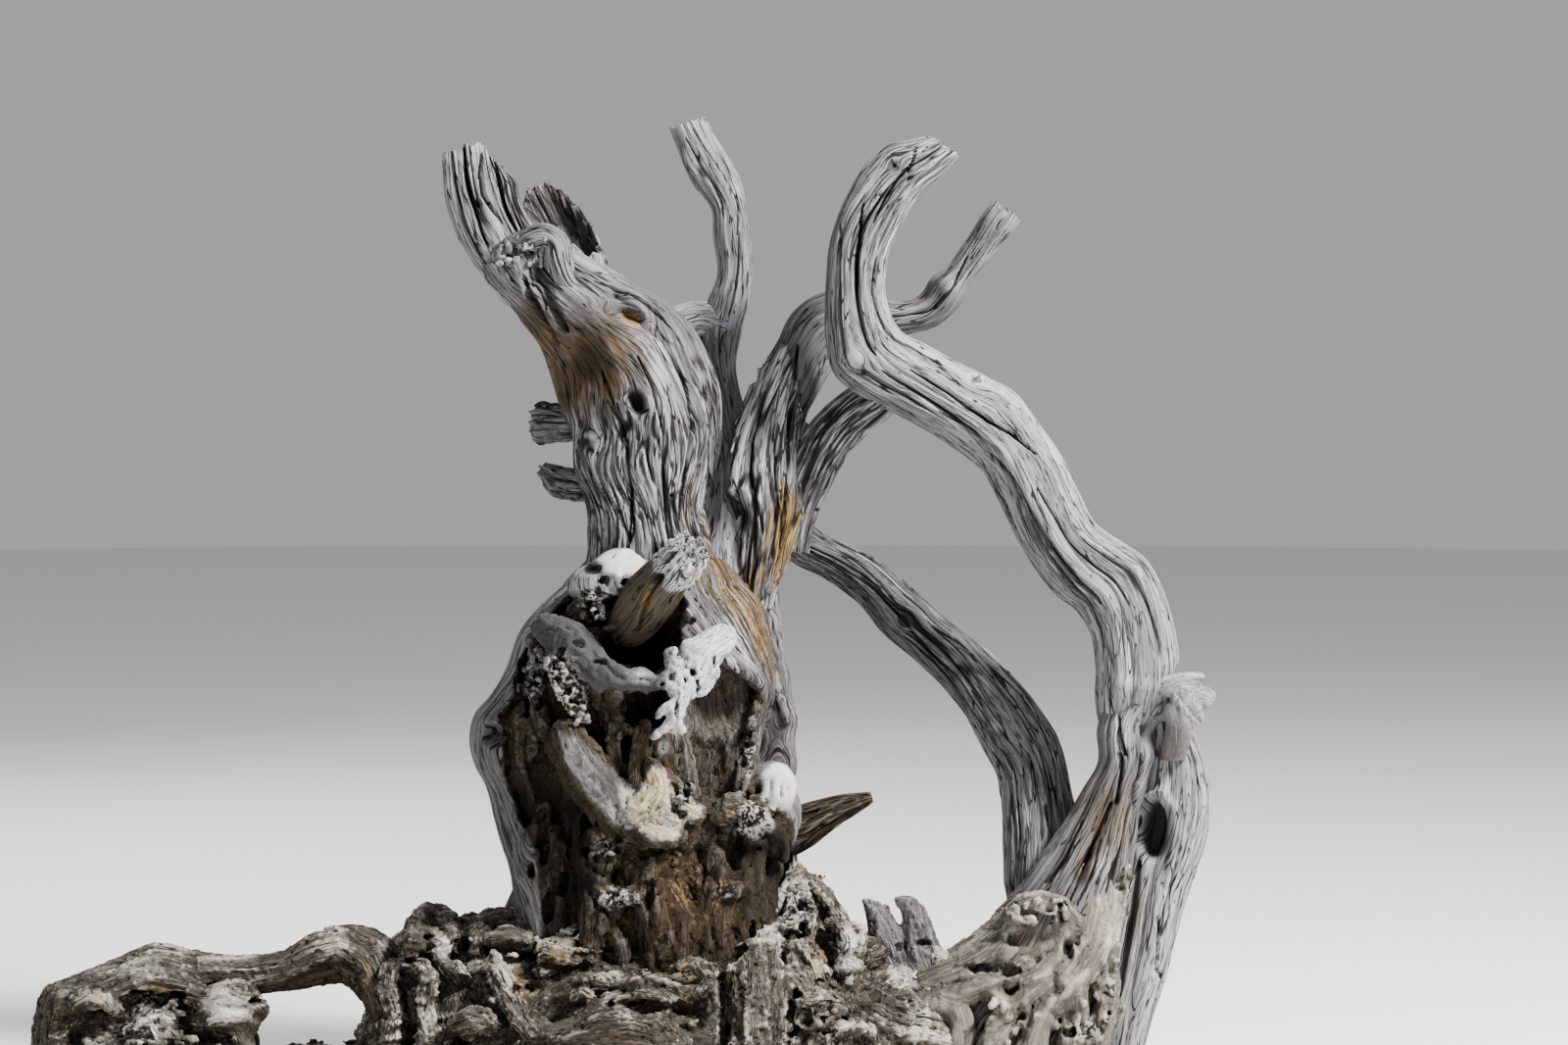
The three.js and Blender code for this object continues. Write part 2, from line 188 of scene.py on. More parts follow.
# ---------------------------------------------------------------- limbs
def sections(kind, rows):
    C, A, B = [], [], []
    if kind == "pair":
        for r in rows:
            a, b, c, d, y = r[:5]
            flat = r[5] if len(r) > 5 else 0.9
            L, R = P(a, b, y), P(c, d, y)
            A.append((R - L) / 2)
            C.append((R + L) / 2)
            B.append(np.array([0, np.linalg.norm(R - L) / 2 * flat, 0]))
    else:
        C = [P(r[0], r[1], r[3]) for r in rows]
        for i, r in enumerate(rows):
            T = C[min(i + 1, len(C) - 1)] - C[max(i - 1, 0)]
            T = T / np.linalg.norm(T)
            a = np.cross(T, [0, 1.0, 0])
            a /= np.linalg.norm(a)
            b = np.cross(a, T)
            if b[1] < 0:
                b = -b
            A.append(a * r[2])
            B.append(b * r[2] * (r[4] if len(r) > 4 else 1))
    return np.array(C), np.array(A), np.array(B)


def spline(M, t):
    """Catmull-Rom through the rows of M at parameters t."""
    n = len(M) - 1
    i = np.minimum(np.floor(t).astype(int), n - 1)
    f = (t - i)[:, None]
    p = [M[np.clip(i + k, 0, n)] for k in (-1, 0, 1, 2)]
    return 0.5 * (2 * p[1] + (p[2] - p[0]) * f + (2 * p[0] - 5 * p[1] + 4 * p[2] - p[3]) * f * f + (3 * p[1] - p[0] - 3 * p[2] + p[3]) * f * f * f)


class Limb:
    """A limb as a grid of rings: fine around, longer along, so the grain runs along it."""

    def __init__(self, rows, kind="pair", around=160, step=3.0, seed=1, cut=(0.0, 1.0)):
        C, A, B = sections(kind, rows)
        n = len(C) - 1
        t = np.linspace(cut[0] * n, cut[1] * n, 40 * n)
        c = spline(C, t)
        length = np.concatenate([[0], np.cumsum(np.linalg.norm(np.diff(c, axis=0), axis=1))])
        self.L = length[-1]
        rings = max(8, int(self.L / step))
        s = np.linspace(0, self.L, rings + 1)
        a, b = spline(A, t), spline(B, t)
        at = lambda m: np.stack([np.interp(s, length, m[:, k]) for k in range(3)], 1)
        self.C, self.A, self.B, self.s = at(c), at(a), at(b), s
        T = np.gradient(self.C, axis=0)
        self.T = T / np.linalg.norm(T, axis=1)[:, None]
        self.th = np.arange(around) * 2 * math.pi / around
        self.n, self.m, self.seed = rings + 1, around, seed
        la, lb = np.linalg.norm(self.A, axis=1), np.linalg.norm(self.B, axis=1)
        self.R = np.sqrt(la * lb)
        self.R0 = float(self.R.mean())
        ct, st = np.cos(self.th), np.sin(self.th)
        self.off = self.A[:, None] * ct[None, :, None] + self.B[:, None] * st[None, :, None]
        nr = (self.A / la[:, None])[:, None] * (ct[None, :, None] * lb[:, None, None]) + (self.B / lb[:, None])[:, None] * (st[None, :, None] * la[:, None, None])
        self.out = nr / np.linalg.norm(nr, axis=2)[:, :, None]
        self.base = self.C[:, None] + self.off
        self.S = np.broadcast_to(s[:, None], (self.n, self.m)).astype(F4)
        self.TH = np.broadcast_to(self.th[None], (self.n, self.m)).astype(F4)
        self.G = self.TH.copy()  # the grain's angle, bent around knots
        self.GS = self.S.copy()
        self.D = np.zeros((self.n, self.m), F4)
        self.axial = np.zeros((self.n, self.m), F4)
        self.mask = {k: np.zeros((self.n, self.m), F4) for k in ("cav", "brn", "pal", "och", "drk", "rgh")}
        self.caps = [None, None]
        self.U, self.W, _ = front(self.base)
        self.face = sst(-0.25, 0.25, -self.out[..., 1])

    # -- where things are
    def px(self, u, v, ru, rv):
        """1 at the front-view point, 0 beyond an ellipse, on the front side only."""
        return sst(1, 0, np.sqrt(((self.U - u) / ru) ** 2 + ((self.W - v) / rv) ** 2)) * self.face

    def at(self, u, v, side=-1):
        """Ring coordinate and angle of the surface point seen at (u, v); side 1 for the far side."""
        uu, vv, _ = front(self.base)
        d = (uu - u) ** 2 + (vv - v) ** 2 + np.where(self.out[..., 1] * side > -0.15, 0, 1e4)
        i, j = np.unravel_index(np.argmin(d), d.shape)
        return float(self.s[i]), float(self.th[j])

    def dth(self, th0):
        return (self.TH - th0 + math.pi) % (2 * math.pi) - math.pi

    def blob(self, u, v, along, across, side=-1, power=1.0):
        """1 at the point, 0 beyond an ellipse of these radii."""
        s0, t0 = self.at(u, v, side) if not isinstance(u, tuple) else u
        d = np.sqrt(((self.S - s0) / along) ** 2 + (self.dth(t0) * self.R[:, None] / across) ** 2)
        return sst(1, 0, d) ** power

    def line(self, pts, width, side=-1):
        """1 on a front-view polyline, 0 beyond width, thinning out to its ends."""
        q = [self.at(u, v, side) for u, v in pts]
        best = np.full(self.S.shape, 1e9, F4)
        along = np.zeros(self.S.shape, F4)
        total, acc = 0, 0
        seg = []
        for (s0, t0), (s1, t1) in zip(q[:-1], q[1:]):
            dt = (t1 - t0 + math.pi) % (2 * math.pi) - math.pi
            seg.append((s0, t0, s1 - s0, dt, math.hypot(s1 - s0, dt * self.R0)))
            total += seg[-1][4]
        for s0, t0, ds, dt, ln in seg:
            x, y = self.S - s0, self.dth(t0) * self.R[:, None]
            ex, ey = ds, dt * self.R0
            k = np.clip((x * ex + y * ey) / max(ex * ex + ey * ey, 1e-6), 0, 1)
            d = np.hypot(x - k * ex, y - k * ey)
            closer = d < best
            best = np.where(closer, d, best)
            along = np.where(closer, (acc + k * ln) / max(total, 1e-6), along)
            acc += ln
        w = width * (0.25 + 0.75 * np.sin(np.clip(along, 0.0, 1) * math.pi) ** 0.5)
        return sst(1, 0, best / np.maximum(w, 0.3))

    # -- grain
    def knot(self, u, v, radius, side=-1, pull=1.0):
        """Bend the grain around a knot."""
        s0, t0 = self.at(u, v, side)
        x = self.S - s0
        y = self.dth(t0) * self.R[:, None]
        r2 = x * x + y * y + 1e-3
        shift = -y * np.minimum(radius * radius / r2, 1.0) * pull
        fall = sst(5.0, 1.5, np.sqrt(r2) / radius)
        self.G += (shift * fall / self.R[:, None]).astype(F4)
        self.GS += (x * np.minimum(radius * radius / r2, 1.0) * fall * 0.8 * pull).astype(F4)

    def twist(self, rad_per_m, wander=0.25):
        self.G += (rad_per_m * self.S / 1000 + wander * noise(self.S / 110, self.seed * 3.1 + np.cos(self.TH) * 0.8, np.sin(self.TH) * 0.8, self.seed + 5)).astype(F4)

    def ring(self, cells, length, seed):
        """Noise with this many cells around and this length along, on the grain."""
        k = cells / (2 * math.pi)
        return noise(np.cos(self.G) * k + 31, np.sin(self.G) * k + 17, self.GS / length + seed * 1.37, self.seed * 101 + seed)

    def cells(self, size):
        return max(4.0, 2 * math.pi * self.R0 / size)

    def relief(self, flutes=4.0, furrows=1.6, fine=0.6, flute_size=24, furrow_size=8.5, where=1.0, lump=2.0, fur=1.0, short=1.0):
        D = lump * fbm(self.base[..., 0] / 60, self.base[..., 1] / 60, self.base[..., 2] / 60, 2, self.seed + 40)
        f = rounded(self.ring(self.cells(flute_size), 330 * short, 1), 0.3)
        g = rounded(self.ring(self.cells(furrow_size), 190 * short, 2), 0.25)
        h = rounded(self.ring(self.cells(furrow_size * 0.42), 110 * short, 3), 0.3)
        m = 0.55 + 0.9 * self.ring(self.cells(40), 240 * short, 4)
        D = D + flutes * where * (f - 0.78) + furrows * fur * np.clip(m + 0.35, 0.15, 1.4) * (g - 0.75) + fine * fur * (h - 0.7)
        self.D += D.astype(F4)
        # painted shade in the furrows and flute valleys (cav); the ridges are paler (pal), worn pale and a painted
        # highlight
        self.mask["cav"] += (sst(0.5, 0.05, g) * 0.5 * fur + sst(0.42, 0.0, f) * 0.5 * where + sst(0.4, 0, h) * 0.22 * fur).astype(F4)
        self.mask["rgh"] += 0.75 * np.clip(fur, 0, 1)
        self.mask["pal"] += ((0.3 * (f - 0.5) + 0.25 * (g - 0.5)) * (0.4 + 0.6 * np.minimum(fur, 1.0))).astype(F4)

    def checks(self, depth=3.5, size=13, length=210, width=0.05, seed=9, amount=0.1, where=1.0):
        """Drying checks: thin open cracks along the grain, darkened inside (cav) with painted shade."""
        n = self.ring(self.cells(size), length, seed)
        on = sst(amount, amount + 0.22, self.ring(self.cells(size * 2.2), length * 0.6, seed + 1) + 0.12)
        c = sst(width * 1.6, width * 0.25, np.abs(n)) * on * where
        self.D -= (depth * c).astype(F4)
        self.mask["cav"] += (0.9 * c).astype(F4)

    def hollow(self, amount, m):
        self.D -= (amount * m).astype(F4)
        # a carved hollow is darkened too (cav): painted shade in it
        if amount > 0:
            self.mask["cav"] += (0.6 * sst(0.25, 0.9, m)).astype(F4)

    # -- ends
    def broken(self, end, rough=9.0, tilt=(0, 0), cell=7.0, deep=0.0, wall=0.35, reach=45.0, rings=11, seed=0, axial=None):
        """A broken end: bundles of fibres that end at different heights; deep hollows it out."""
        i = 0 if end == 0 else self.n - 1
        sgn = -1.0 if end == 0 else 1.0
        a, b = self.A[i] / np.linalg.norm(self.A[i]), self.B[i] / np.linalg.norm(self.B[i])

        def height(x, y, f):
            wx = x + 1.6 * noise(x / 5, y / 5, 3.3, seed + 1)
            wy = y + 1.6 * noise(x / 5, y / 5, 9.1, seed + 2)
            c1 = noise(np.floor(wx / cell) * 1.7 + 0.3, np.floor(wy / cell) * 1.7 + 0.6, seed + 0.5, seed + 3)
            c2 = noise(np.floor(wx / (cell * 0.42)) * 1.7 + 0.3, np.floor(wy / (cell * 0.42)) * 1.7 + 0.6, seed + 0.5, seed + 4)
            h = rough * (c1 * 1.3 + 0.6 * c2 + 0.7 * noise(x / 14, y / 14, 2.2, seed + 5)) + tilt[0] * x + tilt[1] * y
            if axial is not None:
                h = h + axial(x, y)
            if deep:
                h = h - deep * sst(1 - wall * 0.6, max(0.02, 1 - wall * 1.9), f) * (1 + 0.25 * noise(x / 9, y / 9, 5.5, seed + 6))
            return h

        self.caps[end] = (i, sgn, a, b, height, rings, reach)
        o = self.off[i]
        x, y = o @ a, o @ b
        h = height(x, y, np.ones(len(x)))
        fromend = self.S if end == 0 else self.L - self.S
        self.axial += (sst(reach, 0, fromend) * h[None] * sgn).astype(F4)
        lo = sst(2.0, -rough * 1.2, h)
        self.mask["pal"] += (sst(reach * 0.5, 0, fromend) * 0.2).astype(F4)
        # the low parts of the break are darkened (cav): painted shade in the pits
        self.mask["cav"] += (sst(9, 0, fromend) * 0.25 * lo[None]).astype(F4)

    def build(self, name):
        D = self.D.astype(np.float64)
        lim = 0.72 * self.R[:, None]
        D = np.maximum(D, -lim)
        V = self.base + self.out * D[..., None] + self.T[:, None] * self.axial[..., None]
        n, m = self.n, self.m
        idx = np.arange(n * m).reshape(n, m)
        nxt = np.roll(idx, -1, axis=1)
        quads = [np.stack([idx[:-1], nxt[:-1], nxt[1:], idx[1:]], -1).reshape(-1, 4)]
        tris = []
        verts = [V.reshape(-1, 3)]
        per = self.R[:, None]
        gc = np.stack([np.cos(self.G) * self.R0, np.sin(self.G) * self.R0, self.GS], -1).reshape(-1, 3)
        gcs = [gc]
        masks = {k: [v.reshape(-1)] for k, v in self.mask.items()}
        count = n * m
        for end in (0, 1):
            i = 0 if end == 0 else n - 1
            sgn = -1.0 if end == 0 else 1.0
            ring_idx = idx[i]
            cap = self.caps[end]
            c = self.C[i]
            edge = V[i]
            if cap is None:
                cv, steps, height = c, [0.75, 0.5, 0.25], None
            else:
                _, _, a, b, height, k, reach = cap
                steps = [1 - (q + 1) / (k + 1) for q in range(k)]
            flat = edge - self.T[i] * self.axial[i][:, None]  # the edge without its break
            prev = ring_idx
            for f in steps:
                base = c + (flat - c) * f
                if height is not None:
                    o = base - c
                    x, y = o @ a, o @ b
                    h = height(x, y, np.full(len(x), f))
                    base = base + self.T[i] * (h * sgn)[:, None]
                    cav = sst(0, -14, h)
                else:
                    cav = np.zeros(m)
                verts.append(base)
                here = count + np.arange(m)
                count += m
                gcs.append(np.stack([np.cos(self.G[i]) * self.R0 * f, np.sin(self.G[i]) * self.R0 * f, np.full(m, self.s[i])], -1))
                # the cap's pits are darkened (cav, drk): painted shade, with some brown (brn)
                for kk in masks:
                    v = {"cav": 0.25 * cav + 0.1, "pal": 0.35 - 0.3 * cav, "drk": 0.5 * cav, "brn": 0.35 * cav, "och": 0 * cav, "rgh": 0.8 + 0 * cav}[kk]
                    masks[kk].append(v)
                pn, hn = np.roll(prev, -1), np.roll(here, -1)
                quads.append(np.stack([prev, here, hn, pn], -1) if end == 0 else np.stack([prev, pn, hn, here], -1))
                prev = here
            mid = c if height is None else c + self.T[i] * sgn * float(height(np.zeros(1), np.zeros(1), np.zeros(1))[0])
            verts.append(mid[None])
            gcs.append(np.array([[0, 0, self.s[i]]]))
            for kk in masks:
                masks[kk].append(masks[kk][-1][:1])
            cidx = np.full(m, count)
            count += 1
            pn = np.roll(prev, -1)
            tris.append(np.stack([prev, cidx, pn], -1) if end == 0 else np.stack([prev, pn, cidx], -1))
        V = np.concatenate(verts)
        quads = np.concatenate(quads)
        tris = np.concatenate(tris)
        # outward
        x = V[quads[: (n - 1) * m]]
        nrm = np.cross(x[:, 2] - x[:, 0], x[:, 3] - x[:, 1])
        if (nrm * self.out[:-1].reshape(-1, 3)).sum() < 0:
            quads, tris = quads[:, ::-1], tris[:, ::-1]
        at = {k: np.clip(np.concatenate(v), 0, 1.3) for k, v in masks.items()}
        at["gc"] = np.concatenate(gcs) * 0.001
        return make(name, V, quads, tris, at)


# ---------------------------------------------------------------- solid fields, for what isn't a limb
class Field:
    """A distance field on a grid, in millimetres: negative inside."""

    def __init__(self, lo, hi, h):
        self.lo, self.h = np.array(lo, float), h
        n = np.ceil((np.array(hi, float) - self.lo) / h).astype(int) + 1
        self.shape = tuple(n)
        self.ax = [(self.lo[k] + h * np.arange(n[k])).astype(F4) for k in range(3)]
        self.D = np.full(self.shape, 60.0, F4)

    def part(self, lo, hi):
        s = []
        for k in range(3):
            a = max(0, int((lo[k] - self.lo[k]) / self.h) - 1)
            b = min(self.shape[k], int((hi[k] - self.lo[k]) / self.h) + 2)
            if b <= a:
                return None, None
            s.append(slice(a, b))
        x, y, z = (self.ax[k][s[k]] for k in range(3))
        return tuple(s), (x[:, None, None], y[None, :, None], z[None, None, :])

    def put(self, sl, d, k, cut=False):
        a = self.D[sl]
        if cut:  # smooth difference
            d = -d
            h = np.clip(0.5 + 0.5 * (d - a) / k, 0, 1) if k else (d > a)
            self.D[sl] = (a * (1 - h) + d * h + (k * h * (1 - h) if k else 0)).astype(F4)
        else:
            h = np.clip(0.5 + 0.5 * (a - d) / k, 0, 1) if k else (d < a)
            self.D[sl] = (a * (1 - h) + d * h - (k * h * (1 - h) if k else 0)).astype(F4)

    def capsule(self, a, b, ra, rb, k=4.0, cut=False, squash=None):
        """A tapered capsule. squash: (direction, factor) makes it thinner that way."""
        a, b = np.asarray(a, float), np.asarray(b, float)
        r = max(ra, rb) + k + 12
        sl, X = self.part(np.minimum(a, b) - r, np.maximum(a, b) + r)
        if sl is None:
            return
        ab = b - a
        q = [X[i] - a[i] for i in range(3)]
        t = np.clip((q[0] * ab[0] + q[1] * ab[1] + q[2] * ab[2]) / max(float(ab @ ab), 1e-6), 0, 1)
        e = [q[i] - t * ab[i] for i in range(3)]
        if squash is not None:
            w, s = np.asarray(squash[0], float), squash[1]
            w = w / np.linalg.norm(w)
            dw = (e[0] * w[0] + e[1] * w[1] + e[2] * w[2]) * (1 / s - 1)
            e = [e[i] + dw * w[i] for i in range(3)]
        d = np.sqrt(e[0] ** 2 + e[1] ** 2 + e[2] ** 2) - (ra + (rb - ra) * t)
        if squash is not None:
            d = d * (0.5 + 0.5 * squash[1])
        self.put(sl, d.astype(F4), k, cut)

    def strand(self, pts, k=4.0, cut=False, squash=None, smooth=3):
        """Points (x, y, z, r) joined by capsules along a spline."""
        M = np.asarray(pts, float)
        t = np.linspace(0, len(M) - 1, (len(M) - 1) * smooth + 1)
        Q = spline(M, t)
        for p, q in zip(Q[:-1], Q[1:]):
            self.capsule(p[:3], q[:3], p[3], q[3], k, cut, squash)

    def ball(self, c, r, k=4.0, cut=False, rot=None, rough=0.0, seed=0):
        """An ellipsoid of radii r, turned by rot (a 3x3 matrix)."""
        c, r = np.asarray(c, float), np.asarray(r, float)
        R = max(r) + k + 8 + rough
        sl, X = self.part(c - R, c + R)
        if sl is None:
            return
        q = [X[i] - c[i] for i in range(3)]
        if rot is not None:
            q = [rot[i][0] * q[0] + rot[i][1] * q[1] + rot[i][2] * q[2] for i in range(3)]
        e = np.sqrt((q[0] / r[0]) ** 2 + (q[1] / r[1]) ** 2 + (q[2] / r[2]) ** 2)
        d = (e - 1) * min(r)
        if rough:
            near = np.abs(d) < rough * 2 + 6
            g = np.broadcast_arrays(*X)
            n = np.zeros(d.shape, F4)
            n[near] = fbm(g[0][near] / 22, g[1][near] / 22, g[2][near] / 22, 3, seed + 60)
            d = d + rough * 1.6 * n
        self.put(sl, d.astype(F4), k, cut)

    def relief(self, fn, band=18.0):
        """Add fn(points) to the field near its surface."""
        near = np.abs(self.D) < band
        i = np.nonzero(near)
        p = np.stack([self.ax[k][i[k]] for k in range(3)], 1)
        self.D[near] += fn(p).astype(F4)

    def ground(self):
        self.D = np.maximum(self.D, -self.ax[2][None, None, :] + 0.0 * self.D)

    def sample(self, p):
        q = (p - self.lo) / self.h
        q = np.clip(q, 0, np.array(self.shape) - 1.001)
        i = q.astype(int)
        f = q - i
        out = 0
        for a in (0, 1):
            for b in (0, 1):
                for c in (0, 1):
                    w = (f[:, 0] if a else 1 - f[:, 0]) * (f[:, 1] if b else 1 - f[:, 1]) * (f[:, 2] if c else 1 - f[:, 2])
                    out = out + w * self.D[i[:, 0] + a, i[:, 1] + b, i[:, 2] + c]
        return out

    def gradient(self, p, e=None):
        e = e or self.h * 0.75
        g = np.stack([self.sample(p + d) - self.sample(p - d) for d in np.eye(3) * e], 1) / (2 * e)
        return g

    def keep_biggest(self, V, Q):
        """Only the largest connected shell."""
        parent = np.arange(len(V))
        E = np.concatenate([Q[:, [0, 1]], Q[:, [1, 2]], Q[:, [2, 3]]])
        for _ in range(60):
            a, b = parent[E[:, 0]], parent[E[:, 1]]
            lo = np.minimum(a, b)
            new = parent.copy()
            np.minimum.at(new, a, lo)
            np.minimum.at(new, b, lo)
            new = new[new]
            if (new == parent).all():
                break
            parent = new
        root, n = np.unique(parent, return_counts=True)
        keep = parent == root[np.argmax(n)]
        m = np.cumsum(keep) - 1
        Q = Q[keep[Q[:, 0]]]
        return V[keep], m[Q]

    def surface(self):
        """A closed quad mesh: one vertex in each cell that the surface crosses."""
        D = self.D
        D[0], D[-1], D[:, 0], D[:, -1], D[:, :, 0], D[:, :, -1] = (np.maximum(d, 0.5) for d in (D[0], D[-1], D[:, 0], D[:, -1], D[:, :, 0], D[:, :, -1]))
        D[np.abs(D) < 1e-4] = 1e-4
        inside = D < 0
        nx, ny, nz = (n - 1 for n in self.shape)
        cnt = np.zeros((nx, ny, nz), F4)
        pos = np.zeros((nx, ny, nz, 3), F4)
        for axis in range(3):
            for o1 in (0, 1):
                for o2 in (0, 1):
                    others = [k for k in range(3) if k != axis]
                    lo = [slice(0, n) for n in (nx, ny, nz)]
                    for k, o in zip(others, (o1, o2)):
                        lo[k] = slice(o, (nx, ny, nz)[k] + o)
                    hi = list(lo)
                    hi[axis] = slice(1, (nx, ny, nz)[axis] + 1)
                    a, b = D[tuple(lo)], D[tuple(hi)]
                    x = inside[tuple(lo)] != inside[tuple(hi)]
                    t = np.where(x, a / np.where(x, a - b, 1), 0)
                    cnt += x
                    pos[..., axis] += np.where(x, t, 0)
                    for k, o in zip(others, (o1, o2)):
                        pos[..., k] += np.where(x, o, 0)
        cell = cnt > 0
        idx = np.full((nx, ny, nz), -1, np.int64)
        idx[cell] = np.arange(int(cell.sum()))
        ijk = np.stack(np.nonzero(cell), 1)
        V = (ijk + pos[cell] / cnt[cell][:, None]) * self.h + self.lo
        quads = []
        for axis in range(3):
            o = [k for k in range(3) if k != axis]
            lo, hi = [slice(1, -1)] * 3, [slice(1, -1)] * 3
            lo[axis], hi[axis] = slice(0, -1), slice(1, None)
            a, b = inside[tuple(lo)], inside[tuple(hi)]
            for flip, sel in ((False, a & ~b), (True, ~a & b)):
                w = np.stack(np.nonzero(sel), 1)
                if not len(w):
                    continue
                g = w.copy()
                g[:, o[0]] += 1
                g[:, o[1]] += 1
                c = []
                for d0, d1 in ((-1, -1), (0, -1), (0, 0), (-1, 0)):
                    e = g.copy()
                    e[:, o[0]] += d0
                    e[:, o[1]] += d1
                    c.append(idx[e[:, 0], e[:, 1], e[:, 2]])
                q = np.stack(c, 1)
                if (axis == 1) != flip:
                    q = q[:, ::-1]
                quads.append(q)
        Q = np.concatenate(quads)
        Q = Q[(Q >= 0).all(1)]
        V, Q = self.keep_biggest(V, Q)
        # even out, then back onto the surface
        E = np.concatenate([Q[:, [0, 1]], Q[:, [1, 2]], Q[:, [2, 3]], Q[:, [3, 0]]])
        low = V[:, 2] < self.h * 0.9
        for _ in range(2):
            s = np.zeros_like(V)
            n = np.zeros(len(V))
            for a, b in ((0, 1), (1, 0)):
                for k in range(3):
                    s[:, k] += np.bincount(E[:, a], V[E[:, b], k], len(V))
                n += np.bincount(E[:, a], minlength=len(V))
            W = V * 0.45 + 0.55 * s / n[:, None]
            g = self.gradient(W)
            g2 = np.maximum((g * g).sum(1), 0.2)
            W = W - g * np.clip(self.sample(W) / g2, -self.h, self.h)[:, None]
            V = np.where(low[:, None], V, W)
        V[:, 2] = np.where(low, np.where(V[:, 2] < self.h * 0.6, 0.0, V[:, 2]), V[:, 2])
        return V, Q


def normals(V, Q):
    n = np.cross(V[Q[:, 2]] - V[Q[:, 0]], V[Q[:, 3]] - V[Q[:, 1]])
    out = np.zeros_like(V)
    for c in range(4):
        for k in range(3):
            out[:, k] += np.bincount(Q[:, c], n[:, k], len(V))
    return out / np.maximum(np.linalg.norm(out, axis=1), 1e-9)[:, None]


def near_guides(V, guides):
    """For each point: its guide's direction, the way along it and the offset from it. guides: lists of (x, y, z)."""
    best = np.full(len(V), 1e9)
    G = np.zeros((len(V), 3))
    along = np.zeros(len(V))
    off = np.zeros((len(V), 3))
    for gi, g in enumerate(guides):
        g = np.asarray(g, float)[:, :3]
        acc = gi * 733.0
        for p, q in zip(g[:-1], g[1:]):
            d = q - p
            L = np.linalg.norm(d)
            t = np.clip(((V - p) @ d) / (L * L), 0, 1)
            e = V - p - t[:, None] * d
            r = (e * e).sum(1)
            m = r < best
            best[m] = r[m]
            G[m] = d / L
            along[m] = acc + t[m] * L
            off[m] = e[m]
            acc += L
    return G, along, off, np.sqrt(best)


def streaks(V, G, size, seed, reach=9, step=None):
    """Noise drawn out along the direction G at each point."""
    step = step or size * 1.1
    t = 0
    w = 0
    for k in range(-reach, reach + 1):
        a = math.exp(-((k / reach) ** 2) * 2)
        p = V + G * (k * step)
        t = t + a * noise(p[:, 0] / size, p[:, 1] / size, p[:, 2] / size, seed)
        w += a * a
    return t / math.sqrt(w)
